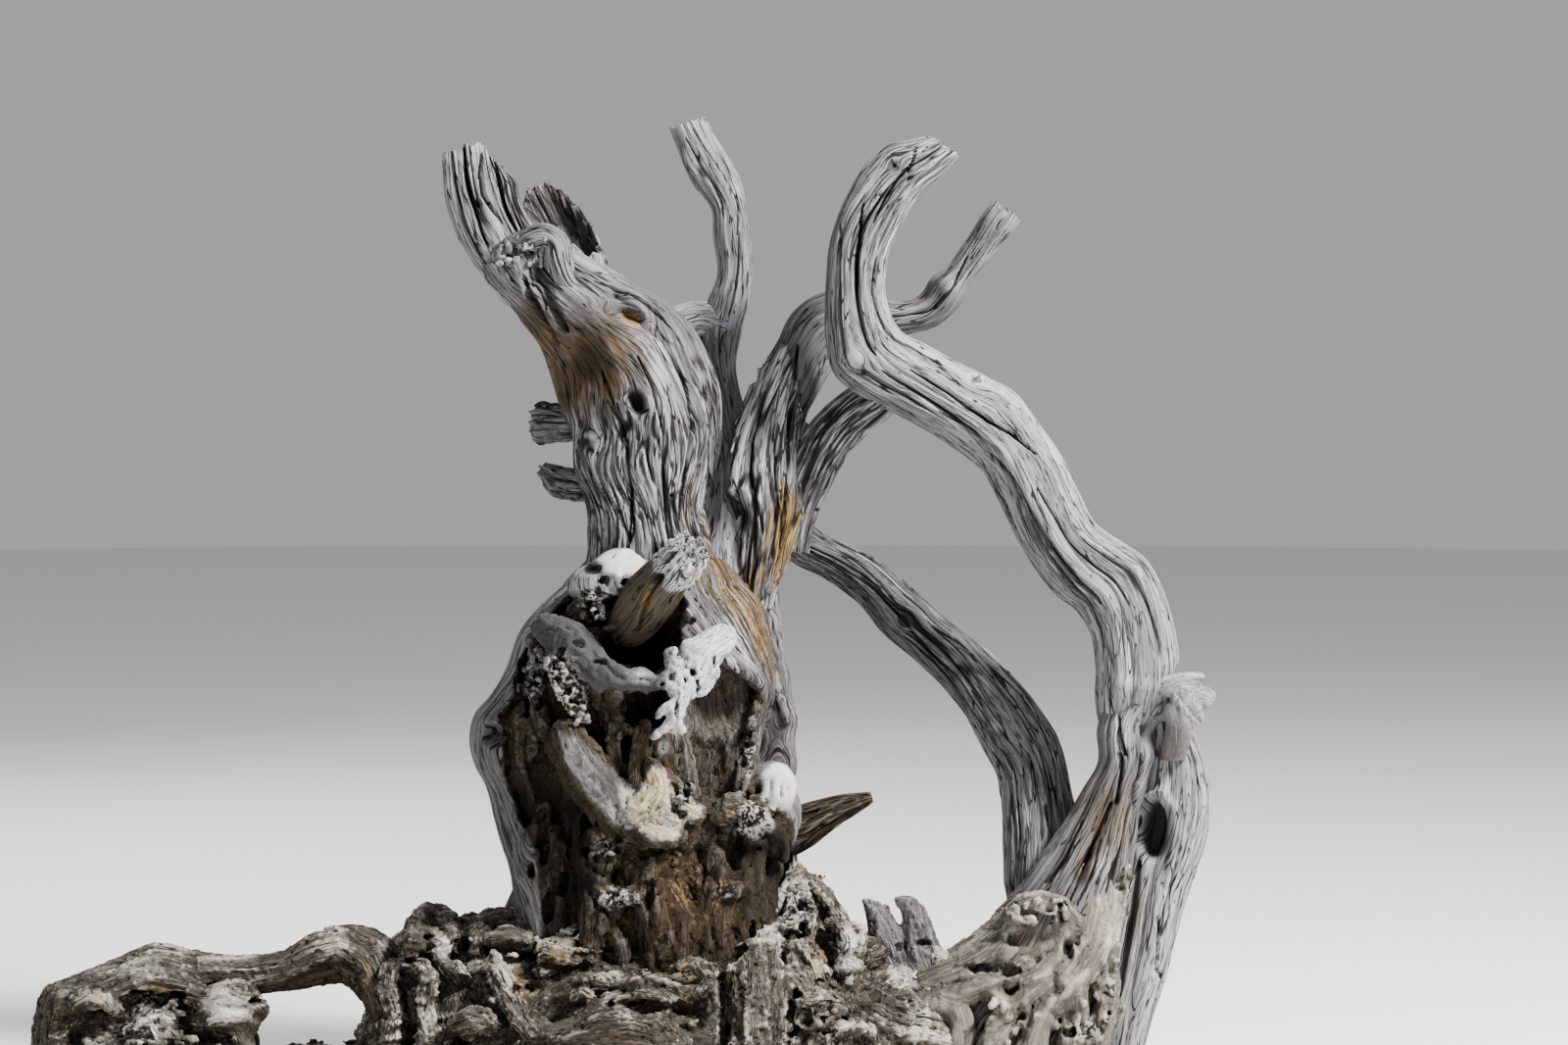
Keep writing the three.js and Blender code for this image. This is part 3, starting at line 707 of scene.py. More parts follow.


# ---------------------------------------------------------------- materials
# dark: the colour of black rot and of the painted shade in cracks and hollows
def wood_material(name, grey_a, grey_b, pale, brown, contrast=1.0, fine=1.2, rough=0.84, dark=(0.009, 0.0075, 0.0065), crust_pale=(0.42, 0.40, 0.37), bleached=(0.58, 0.58, 0.592)):
    mat = bpy.data.materials.new(name)
    mat.use_nodes = True
    nt = mat.node_tree
    N, Lk = nt.nodes, nt.links
    bsdf = N["Principled BSDF"]
    bsdf.inputs["Specular IOR Level"].default_value = 0.2

    def new(kind, **kw):
        n = N.new(kind)
        for k, v in kw.items():
            setattr(n, k, v)
        return n

    def attr(key):
        return new("ShaderNodeAttribute", attribute_name=key)

    def math_(op, a, b=None, c=None, clamp=False):
        n = new("ShaderNodeMath", operation=op, use_clamp=clamp)
        for i, x in enumerate((a, b, c)):
            if x is None:
                continue
            if hasattr(x, "links"):
                Lk.new(x, n.inputs[i])
            else:
                n.inputs[i].default_value = x
        return n.outputs[0]

    def mul(*x):
        r = x[0]
        for y in x[1:]:
            r = math_("MULTIPLY", r, y)
        return r

    def add(*x):
        r = x[0]
        for y in x[1:]:
            r = math_("ADD", r, y)
        return r

    def mix(f, a, b, kind="MIX"):
        n = new("ShaderNodeMix", data_type="RGBA", blend_type=kind)
        for i, x in ((0, f), (6, a), (7, b)):
            if hasattr(x, "links"):
                Lk.new(x, n.inputs[i])
            elif i == 0:
                n.inputs[i].default_value = x
            else:
                n.inputs[i].default_value = (*x, 1)
        return n.outputs[2]

    def ramp(x, a, b):
        n = new("ShaderNodeMapRange", interpolation_type="SMOOTHSTEP")
        Lk.new(x, n.inputs[0])
        n.inputs[1].default_value, n.inputs[2].default_value = a, b
        return n.outputs[0]

    def tex(vec, scale, detail=2.0, roughness=0.55, distort=0.0):
        n = new("ShaderNodeTexNoise")
        Lk.new(vec, n.inputs["Vector"])
        n.inputs["Scale"].default_value = scale
        n.inputs["Detail"].default_value = detail
        n.inputs["Roughness"].default_value = roughness
        n.inputs["Distortion"].default_value = distort
        return n.outputs["Fac"]

    gc = attr("gc").outputs["Vector"]
    obj = new("ShaderNodeTexCoord").outputs["Object"]
    cav, pal, brn, och, drk, cru, rgh, smo = (attr(k).outputs["Fac"] for k in ("cav", "pal", "brn", "och", "drk", "cru", "rgh", "smo"))

    def stretched(across_mm, along_mm, offset=0.0):
        m = new("ShaderNodeMapping")
        Lk.new(gc, m.inputs["Vector"])
        m.inputs["Location"].default_value = (offset, offset * 0.7, offset * 0.3)
        m.inputs["Scale"].default_value = (1000 / across_mm, 1000 / across_mm, 1000 / along_mm)
        return m.outputs[0]

    def crack(across, along, w, offset):
        n = tex(stretched(across, along, offset), 1.0, 0.6, 0.5)
        return ramp(math_("ABSOLUTE", math_("SUBTRACT", n, 0.5)), w, w * 0.22)

    s_fine = tex(stretched(fine, 46), 1.0, 3.0, 0.6)
    s_mid = tex(stretched(fine * 3.2, 120, 3.0), 1.0, 2.0, 0.55)
    s_wide = tex(stretched(fine * 11, 260, 7.0), 1.0, 2.0, 0.5)
    s_gate = tex(stretched(fine * 9, 90, 11.0), 1.0, 2.0, 0.5)
    blot = tex(obj, 9.0, 4.0, 0.6)
    grit = tex(obj, 420.0, 3.0, 0.65)
    speck = tex(obj, 190.0, 3.0, 0.7)
    lump = tex(obj, 75.0, 2.0, 0.6)
    # drying cracks, thin and long, in some zones more than in others, drawn dark: painted shade in the cracks
    c1 = mul(crack(fine * 3.6, 62, 0.030, 1.0), ramp(s_gate, 0.40, 0.52))
    c2 = mul(crack(fine * 1.9, 38, 0.042, 5.0), ramp(s_gate, 0.60, 0.46))
    c3 = mul(crack(fine * 7.0, 120, 0.020, 9.0), ramp(blot, 0.36, 0.52))
    cracks = math_("MAXIMUM", math_("MAXIMUM", c1, c3), mul(c2, 0.75))
    # rough fibres: their grooves are drawn dark, painted shade, and their ridges pale, a painted highlight
    s_rough = tex(stretched(2.7, 34, 13.0), 1.0, 1.5, 0.55)
    rough_on = ramp(add(rgh, mul(math_("SUBTRACT", s_gate, 0.5), 1.3)), 0.30, 0.85)
    cracks = math_("MAXIMUM", cracks, mul(ramp(s_rough, 0.475, 0.415), rough_on, 0.92))
    cracks = mul(cracks, math_("SUBTRACT", 1.0, smo, clamp=True))
    tone = add(mul(s_mid, 0.50), mul(s_wide, 0.75), mul(blot, 0.55))
    base = mix(ramp(tone, 0.70, 1.10), grey_a, grey_b)
    base = mix(mul(ramp(s_fine, 0.50, 0.70), 0.40), base, pale)
    base = mix(ramp(add(pal, mul(math_("SUBTRACT", s_mid, 0.5), 0.6)), 0.12, 0.80), base, pale)
    base = mix(mul(ramp(s_rough, 0.53, 0.62), rough_on, 0.65), base, pale)
    base = mix(mul(ramp(pal, 0.85, 1.25), 0.9), base, bleached)
    warm = add(brn, mul(math_("SUBTRACT", s_wide, 0.5), 0.5))
    base = mix(ramp(warm, 0.12, 0.85), base, brown)
    ochre = mix(ramp(s_mid, 0.38, 0.62), (0.095, 0.052, 0.020), (0.33, 0.225, 0.110))
    ochre = mix(mul(ramp(pal, 0.55, 0.95), 0.85), ochre, (0.56, 0.47, 0.32))
    base = mix(ramp(add(och, mul(math_("SUBTRACT", s_mid, 0.5), 1.6), mul(math_("SUBTRACT", s_fine, 0.5), 0.9)), 0.28, 0.80), base, ochre)
    # crusty places: pale crumbs on black
    crumbs = mix(ramp(add(mul(speck, 0.6), mul(lump, 0.5)), 0.50, 0.60), dark, crust_pale)
    base = mix(ramp(add(cru, mul(math_("SUBTRACT", lump, 0.5), 0.9)), 0.35, 0.60), base, crumbs)
    # painted shade: the cracks, the fibre grooves, the cav mask and the drk mask darken the colour towards dark; drk
    # also holds dark rot
    shade = math_("MULTIPLY", cracks, contrast, clamp=True)
    shade = math_("MAXIMUM", shade, ramp(add(cav, mul(math_("SUBTRACT", s_fine, 0.5), 0.6)), 0.22, 1.05))
    shade = math_("MAXIMUM", shade, drk, clamp=True)
    base = mix(mul(shade, 0.94), base, dark)
    base = mix(0.30, base, mix(grit, (0.35, 0.35, 0.35), (1.0, 1.0, 1.0)), "MULTIPLY")
    Lk.new(base, bsdf.inputs["Base Color"])
    Lk.new(add(mul(s_mid, 0.14), rough - 0.07), bsdf.inputs["Roughness"])
    h = add(mul(s_fine, 0.6), mul(s_mid, 0.9))
    h = math_("SUBTRACT", h, mul(shade, 1.1))
    h = add(h, mul(grit, 0.22), mul(speck, cru, 1.6), mul(s_rough, rough_on, 1.2))
    b = new("ShaderNodeBump")
    b.inputs["Strength"].default_value = 0.8
    b.inputs["Distance"].default_value = 0.0012
    Lk.new(h, b.inputs["Height"])
    Lk.new(b.outputs[0], bsdf.inputs["Normal"])
    return mat


SILVER = wood_material("silver wood", (0.105, 0.102, 0.110), (0.27, 0.266, 0.284), (0.50, 0.495, 0.52), (0.105, 0.076, 0.048))
HEARTWOOD = wood_material("heart wood", (0.078, 0.074, 0.073), (0.235, 0.230, 0.236), (0.47, 0.465, 0.475), (0.064, 0.045, 0.026), fine=1.3, rough=0.86, crust_pale=(0.50, 0.49, 0.48))
PALE = wood_material("pale wood", (0.15, 0.148, 0.160), (0.34, 0.337, 0.362), (0.55, 0.548, 0.578), (0.16, 0.125, 0.09))
ROOT = wood_material("root wood", (0.042, 0.035, 0.029), (0.132, 0.116, 0.099), (0.46, 0.435, 0.395), (0.056, 0.037, 0.021), fine=1.5, rough=0.87)
FOOT = wood_material("foot wood", (0.078, 0.070, 0.060), (0.250, 0.232, 0.205), (0.47, 0.445, 0.395), (0.080, 0.056, 0.032), fine=1.4, rough=0.85)
MATS = {"silver_wood": SILVER, "pale_wood": PALE, "brown_root": ROOT}
SLOT = {s["node"]: s["material_slot"] for s in frame["record"]["subparts"]}


def thin(ob, most):
    """Fewer triangles, by a collapse decimation, which takes most of them out where the surface is flat."""
    me = ob.data
    n = len(me.loops) - 2 * len(me.polygons)
    if n <= most:
        return
    mod = ob.modifiers.new("thin", "DECIMATE")
    mod.ratio = most / n
    new = bpy.data.meshes.new_from_object(ob.evaluated_get(bpy.context.evaluated_depsgraph_get()))
    ob.modifiers.clear()
    ob.data = new
    bpy.data.meshes.remove(me)
    new.name = ob.name


def stand_for(ob, node, most=0, mat=None):
    cut_ground(ob)
    for key in ("cru", "rgh", "smo"):
        if key not in ob.data.attributes:
            ob.data.attributes.new(key, "FLOAT", "POINT")
    if most:
        thin(ob, most)
    ob.data.materials.append(mat or MATS[SLOT[node]])
    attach(ob, "root")
    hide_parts(node)
    return ob


# ---------------------------------------------------------------- the limbs
def arch_limb():
    L = Limb(
        [[949, 134, 976, 164, -62, 0.85], [925, 142, 960, 182, -62, 0.85], [905, 147, 943, 198, -62, 0.85], [883, 167, 928, 218, -62, 0.85], [866, 193, 915, 243, -62, 0.85], [853, 220, 907, 264, -62, 0.85], [844, 255, 904, 286, -62, 0.85], [841, 300, 905, 303, -62, 0.85], [841, 340, 912, 324, -62, 0.85], [849, 378, 925, 340, -60, 0.85], [874, 402, 950, 353, -58, 0.85], [910, 420, 976, 368, -54, 0.85], [945, 440, 1005, 383, -50, 0.85], [972, 458, 1037, 401, -44, 0.85], [1000, 478, 1062, 433, -38, 0.85], [1019, 510, 1085, 466, -32, 0.85], [1033, 541, 1101, 500, -26, 0.85], [1052, 575, 1117, 532, -20, 0.85], [1075, 605, 1143, 551, -16, 0.85], [1098, 625, 1171, 571, -14, 0.85], [1112, 650, 1190, 608, -12, 0.85], [1117, 682, 1202, 660, -10, 0.85], [1117, 708, 1201, 692, -7, 0.8], [1121, 734, 1190, 726, 0, 0.7], [1134, 762, 1172, 756, 8, 0.5]],
        around=216, step=3.2, seed=3)
    L.knot(995, 385, 9)
    L.knot(872, 366, 8)
    L.knot(912, 166, 6)
    L.twist(1.1, 0.22)
    # the flutes run along the inner and lower side; the upper side is smoother
    low = sst(-0.35, 0.6, -np.cos(L.TH - 0.35)) * sst(150, 330, L.S) + 0.75 * sst(330, 120, L.S)
    L.relief(flutes=5.6, furrows=1.3, fine=0.4, flute_size=21, furrow_size=8, where=0.16 + 0.9 * low, lump=1.6, fur=0.22 + 0.5 * low + 0.3 * sst(200, 60, L.S))
    L.checks(3.0, 12, 230, 0.045, 9, 0.10)
    L.hollow(9, L.line([(930, 378), (948, 388), (968, 401), (988, 415), (1008, 430), (1030, 441), (1056, 462)], 3.4))
    L.hollow(6, L.line([(902, 380), (925, 396), (950, 410), (975, 428), (1000, 446)], 2.6))
    L.hollow(9, L.line([(1006, 462), (1030, 486), (1050, 522), (1076, 562), (1098, 592), (1122, 616)], 5.0))
    L.hollow(8, L.line([(1034, 500), (1052, 536), (1074, 572), (1092, 596), (1112, 622), (1126, 660)], 4.2))
    L.hollow(5, L.line([(1060, 500), (1080, 532), (1106, 566), (1132, 588), (1152, 618)], 2.2))
    L.hollow(8, L.line([(880, 210), (876, 250), (874, 290), (880, 330), (892, 360)], 4.2))
    L.hollow(7, L.line([(858, 226), (856, 262), (856, 300), (858, 335), (868, 372)], 3.2))
    L.hollow(5, L.line([(896, 262), (892, 300), (900, 330), (925, 352), (960, 372)], 2.6))
    L.hollow(8, L.blob(995, 385, 7, 6))
    L.hollow(-2.5, L.blob(995, 385, 17, 14) - L.blob(995, 385, 8, 7))
    L.hollow(8, L.blob(912, 166, 5, 4))
    L.hollow(8, L.blob(929, 182, 7, 3))
    L.hollow(6, L.blob(954, 160, 10, 3))
    L.hollow(5, L.blob(1147, 561, 4, 3))
    L.hollow(-3, L.blob(872, 366, 30, 22))
    L.hollow(-7, L.px(1156, 702, 34, 16))
    L.hollow(-5, L.blob(1150, 575, 46, 30))
    L.hollow(7, L.line([(936, 150), (925, 172), (905, 200), (893, 225)], 2.4))
    # one side of the limb is paler by its angle round the limb: a painted highlight on its lit side
    L.mask["pal"] += 0.30 * sst(0.0, 0.9, np.cos(L.TH - 0.2)) + 0.05
    L.mask["brn"] += 0.35 * low * sst(0.2, 0.8, L.mask["cav"]) + 0.18 * sst(330, 200, L.S)
    L.broken(0, rough=6, tilt=(0.25, 0.1), cell=9, seed=5, reach=40)
    return L.build("Arch_Limb")


def right_limb_front():
    L = Limb(
        [[1136, 664, 1184, 656, 8, 0.45], [1132, 686, 1190, 680, 3, 0.6], [1125, 714, 1196, 708, -3, 0.78], [1119, 746, 1184, 744, -8, 0.9], [1120, 776, 1180, 772, -8, 0.95], [1106, 802, 1172, 800, -8, 0.95], [1089, 832, 1163, 830, -8, 0.9], [1069, 862, 1158, 866, -10, 0.85], [1045, 900, 1152, 902, -10, 0.8], [1024, 937, 1146, 940, -10, 0.8], [1002, 967, 1140, 975, -8, 0.8], [968, 992, 1132, 1015, -5, 0.8], [940, 1020, 1112, 1075, -5, 0.8], [925, 1060, 1090, 1130, -5, 0.8], [915, 1100, 1080, 1175, -5, 0.8]],
        around=236, step=3.0, seed=11)
    L.knot(1174, 740, 10)
    L.twist(0.9, 0.35)
    L.relief(flutes=7.5, furrows=1.5, fine=0.5, flute_size=27, furrow_size=9.5, where=0.9 * sst(30, 120, L.S), lump=3.0, fur=0.3 + 0.4 * L.px(1130, 745, 30, 60))
    L.hollow(17, L.px(1175, 742, 14, 32))
    # painted shade in the carved hollow
    L.mask["drk"] += 0.9 * L.px(1175, 742, 11, 26)
    L.checks(4, 14, 190, 0.05, 9, 0.08)
    L.hollow(9, L.line([(1166, 770), (1163, 800), (1158, 830)], 5))
    L.hollow(10, L.line([(1140, 720), (1142, 770), (1134, 820), (1112, 870), (1090, 920), (1060, 960)], 4.0))
    L.hollow(9, L.line([(1128, 880), (1110, 930), (1090, 975), (1050, 1010)], 4.5))
    L.hollow(9, L.line([(1082, 880), (1062, 920), (1040, 950), (1005, 985), (975, 1010)], 4.5))
    L.hollow(8, L.line([(1136, 930), (1128, 980), (1112, 1030), (1090, 1062)], 4.5))
    L.hollow(7, L.line([(1060, 985), (1030, 1015), (1000, 1050)], 5))
    L.hollow(-6, L.blob(1115, 890, 34, 14))
    L.hollow(-6, L.blob(1060, 930, 30, 20))
    L.mask["pal"] += 0.05 + 0.5 * L.px(1122, 884, 26, 22) + 0.4 * L.px(1120, 930, 20, 26) + 0.5 * L.px(1142, 745, 24, 56) + 0.5 * L.px(1156, 700, 30, 14)
    # the brown patch at (1128, 838) is partly the wood's own brown and partly a painted shadow
    L.mask["brn"] += 0.5 * sst(240, 380, L.S) + 0.3 * sst(0.2, 0.8, L.mask["cav"]) + 0.6 * L.px(1128, 838, 74, 100) + 0.6 * L.px(1104, 890, 16, 22) + 0.35 * L.px(1060, 940, 70, 70)
    L.mask["och"] += 0.30 * L.px(1040, 990, 90, 60) + 0.4 * L.px(1146, 840, 16, 50)
    return L.build("Right_Limb_Front")


def right_limb_back():
    L = Limb(
        [[1172, 690, 1206, 706, 6, 0.9], [1168, 712, 1210, 728, 6, 0.9], [1168, 748, 1221, 752, 10, 0.95], [1166, 776, 1232, 782, 14, 0.95], [1158, 812, 1236, 815, 16, 0.8], [1150, 846, 1233, 850, 16, 0.76], [1139, 880, 1221, 886, 14, 0.76], [1130, 918, 1209, 924, 12, 0.78], [1124, 958, 1199, 962, 10, 0.8], [1117, 998, 1188, 1002, 8, 0.84], [1108, 1039, 1175, 1044, 6, 0.88], [1105, 1085, 1163, 1090, 5, 1], [1086, 1132, 1152, 1140, 5, 1], [1080, 1170, 1146, 1178, 5, 1]],
        around=148, step=3.2, seed=17)
    L.twist(-0.3, 0.2)
    L.relief(flutes=5.5, furrows=1.4, fine=0.4, flute_size=24, furrow_size=8.5, where=0.8, lump=2.4, fur=0.4)
    L.checks(3.5, 12, 210, 0.05, 9, 0.08)
    pit = sst(0.12, 0.42, L.px(1174, 847, 26, 44))
    L.hollow(22, pit)
    L.hollow(-7, L.line([(1170, 812), (1186, 806), (1197, 822), (1199, 850), (1192, 880)], 7))
    L.hollow(8, L.line([(1162, 880), (1156, 920), (1146, 975), (1134, 1040)], 7))
    L.hollow(8, L.line([(1204, 864), (1195, 906), (1182, 955), (1180, 990), (1187, 1003), (1166, 1052)], 2.2))
    L.hollow(4, L.line([(1186, 903), (1190, 909)], 2))
    # painted shade in the pit and along the groove
    L.mask["drk"] += 0.93 * sst(0.35, 0.75, pit) + 0.5 * np.minimum(1, L.line([(1162, 880), (1156, 920), (1146, 975), (1134, 1040)], 6))
    L.mask["brn"] += 0.5 * L.px(1160, 930, 26, 80) + 0.4 * L.px(1200, 815, 20, 14)
    # one side of the limb is paler by its angle round the limb: a painted highlight on its lit side
    L.mask["pal"] += 0.35 * sst(-0.2, 0.8, np.cos(L.TH)) + 0.0
    L.mask["brn"] += 0.3 * sst(260, 380, L.S) + 0.3 * sst(0.2, 0.8, L.mask["cav"])
    L.broken(0, rough=6, cell=7, seed=9, reach=24)
    return L.build("Right_Limb_Back")


def rear_limb():
    L = Limb(
        [[768, 500, 752, 562, 70, 0.9], [800, 516, 788, 562, 92, 0.9], [836, 541, 815, 577, 106, 0.95], [863, 555, 843, 590, 114, 0.95], [901, 576, 874, 613, 118, 0.95], [931, 600, 898, 642, 118, 0.95], [963, 628, 926, 667, 116, 0.95], [991, 648, 958, 698, 110, 0.95], [1025, 678, 982, 731, 102, 0.95], [1061, 721, 1003, 764, 90, 0.95], [1083, 760, 1017, 788, 78, 0.95], [1094, 805, 1021, 814, 64, 0.95], [1101, 845, 1022, 850, 52, 0.95], [1097, 890, 1024, 892, 42, 0.95], [1094, 935, 1029, 938, 32, 0.95], [1092, 985, 1020, 990, 22, 0.95]],
        around=148, step=3.3, seed=23)
    L.hollow(7, L.px(984, 684, 20, 14))
    L.knot(925, 634, 7)
    L.twist(-1.4, 0.3)
    L.relief(flutes=3.4, furrows=1.7, fine=0.6, flute_size=19, furrow_size=7, where=0.9, lump=2.6, fur=0.75)
    L.checks(3.0, 10, 170, 0.06, 9, 0.0)
    L.hollow(4, L.line([(880, 590), (915, 625), (940, 655), (975, 700)], 2.6))
    L.hollow(-4, L.blob(925, 634, 18, 12))
    L.hollow(5, L.blob(925, 634, 6, 5))
    L.hollow(5, L.line([(1050, 770), (1060, 810), (1062, 860)], 4))
    L.mask["brn"] += 0.3 * sst(0.2, 0.8, L.mask["cav"]) + 0.25 * sst(240, 0, L.S)
    return L.build("Rear_Limb")


def middle_limb():
    L = Limb(
        [[738, 640, 792, 600, -4, 0.9], [738, 560, 808, 572, -6, 0.9], [736, 522, 818, 528, -4, 0.9], [737, 484, 818, 490, 0, 0.85], [749, 442, 818, 452, 6, 0.85], [765, 402, 826, 424, 12, 0.85], [785, 360, 842, 392, 20, 0.85], [809, 316, 858, 358, 28, 0.85], [838, 297, 876, 352, 32, 0.85], [876, 298, 900, 346, 32, 0.9], [914, 305, 927, 341, 30, 0.95], [936, 302, 958, 331, 28, 0.95], [950, 284, 978, 312, 24, 0.95], [969, 270, 990, 287, 20, 1], [984, 248, 1012, 262, 16, 1], [999, 223, 1031, 240, 12, 1], [1012, 207, 1041, 224, 10, 1]],
        around=176, step=2.9, seed=29)
    L.twist(1.4, 0.3)
    thick = sst(360, 250, L.S)
    rag = 7 * noise(L.U / 7, L.W / 26, 0.3, 411) + 4 * noise(L.U / 3.2, L.W / 16, 0.7, 412)
    top = np.interp(L.U, [742, 757, 780, 797, 803, 812, 824], [512, 418, 372, 345, 350, 392, 440])
    layer = sst(-2.5, 2.5, L.W - top + rag * 2.2) * L.face * sst(832, 818, L.U)
    L.relief(flutes=4.8, furrows=2.3, fine=0.8, flute_size=22, furrow_size=7.5, where=0.4 + 0.6 * thick, lump=2.4, fur=0.25 + 0.9 * layer, short=0.75)
    L.checks(4.0, 10, 120, 0.07, 9, -0.05, where=0.3 + 0.7 * layer)
    L.hollow(-5, layer * sst(560, 500, L.W))
    L.hollow(13, L.px(754, 526, 20, 26))
    L.hollow(-4, L.line([(742, 512), (752, 501), (766, 500), (778, 512)], 5))
    L.hollow(9, L.line([(812, 352), (812, 385), (806, 420), (808, 460)], 4.5))
    L.hollow(6, L.line([(775, 420), (768, 455), (770, 500), (782, 545)], 3))
    L.hollow(5, L.line([(795, 400), (790, 450), (796, 500), (800, 560)], 3))
    L.hollow(-4, L.blob(966, 292, 16, 12))
    L.hollow(5, L.line([(930, 320), (955, 312), (972, 292), (990, 262)], 2.6))
    L.mask["och"] += 0.62 * L.px(798, 560, 36, 100) + 0.5 * L.px(805, 520, 22, 70) + 0.5 * L.px(750, 595, 56, 60)
    # painted shade in the carved hollow, and a painted shadow on the thick part that lies under the arch limb
    L.mask["drk"] += 0.9 * L.px(755, 530, 20, 30) + 0.32 * thick * (1 - layer) * sst(470, 430, L.W)
    L.mask["pal"] += 0.3 * sst(420, 470, L.S) + 0.55 * layer * sst(530, 470, L.W)
    L.mask["brn"] += 0.3 * sst(0.1, 0.8, L.mask["cav"]) + 0.25 * L.blob(770, 580, 70, 60)
    L.broken(1, rough=7, tilt=(-0.1, 0.0), cell=6, seed=7, reach=26)
    return L.build("Middle_Limb")


def brace_limb():
    L = Limb([[806, 560, 20, 10], [812, 525, 21, 8], [826, 484, 25, 2], [843, 452, 25, -10], [868, 425, 25, -26], [900, 402, 24, -44], [915, 395, 20, -50]], kind="round", around=112, step=3.0, seed=31)
    L.twist(1.0, 0.4)
    L.relief(flutes=5.0, furrows=2.0, fine=0.7, flute_size=19, furrow_size=7, where=1.0, lump=1.5)
    L.checks(3.5, 9, 120, 0.07, 9, -0.05)
    L.mask["brn"] += 0.35 * sst(0.1, 0.8, L.mask["cav"])
    return L.build("Brace_Limb")


def rear_branch():
    L = Limb(
        [[683, 131, 722, 121, 84, 0.95], [695, 163, 738, 150, 84, 0.95], [708, 188, 754, 178, 84, 0.95], [725, 212, 763, 208, 84, 0.95], [728, 241, 767, 243, 82, 0.95], [731, 279, 768, 278, 80, 0.95], [721, 308, 765, 308, 76, 0.95], [711, 340, 757, 340, 72, 0.95], [716, 372, 752, 376, 66, 1], [716, 412, 762, 420, 50, 1], [716, 462, 776, 466, 30, 1], [706, 512, 790, 512, 20, 0.9], [690, 565, 800, 565, 16, 0.8], [680, 620, 790, 620, 14, 0.8]],
        around=120, step=3.0, seed=37)
    L.twist(-1.2, 0.25)
    L.relief(flutes=2.0, furrows=0.9, fine=0.4, flute_size=20, furrow_size=7.5, where=0.8, lump=2.0, fur=0.2)
    L.checks(2.4, 11, 200, 0.045, 9, 0.12)
    L.hollow(4, L.line([(752, 200), (754, 240), (752, 290), (742, 330), (735, 365)], 2.2))
    L.hollow(3.5, L.line([(700, 140), (712, 165), (728, 190), (738, 225)], 2.2))
    L.mask["pal"] += 0.22
    L.mask["brn"] += 0.4 * L.px(738, 345, 30, 40)
    L.hollow(-3.5, L.blob(703, 168, 26, 12))
    L.hollow(3, L.blob(714, 176, 16, 8))
    L.broken(0, rough=4, cell=6, deep=6, wall=0.35, seed=11, reach=22)
    return L.build("Rear_Branch")


def rear_collar():
    L = Limb([[748, 335, 20, 76], [733, 332, 24, 76], [706, 328, 21, 68], [676, 340, 22, 44], [655, 352, 20, 24]], kind="round", around=84, step=3.0, seed=41)
    L.relief(flutes=1.4, furrows=0.8, fine=0.4, flute_size=24, furrow_size=9, fur=0.1)
    L.checks(1.5, 12, 120, 0.04, 9, 0.12)
    L.mask["pal"] += 0.1
    return L.build("Rear_Collar")


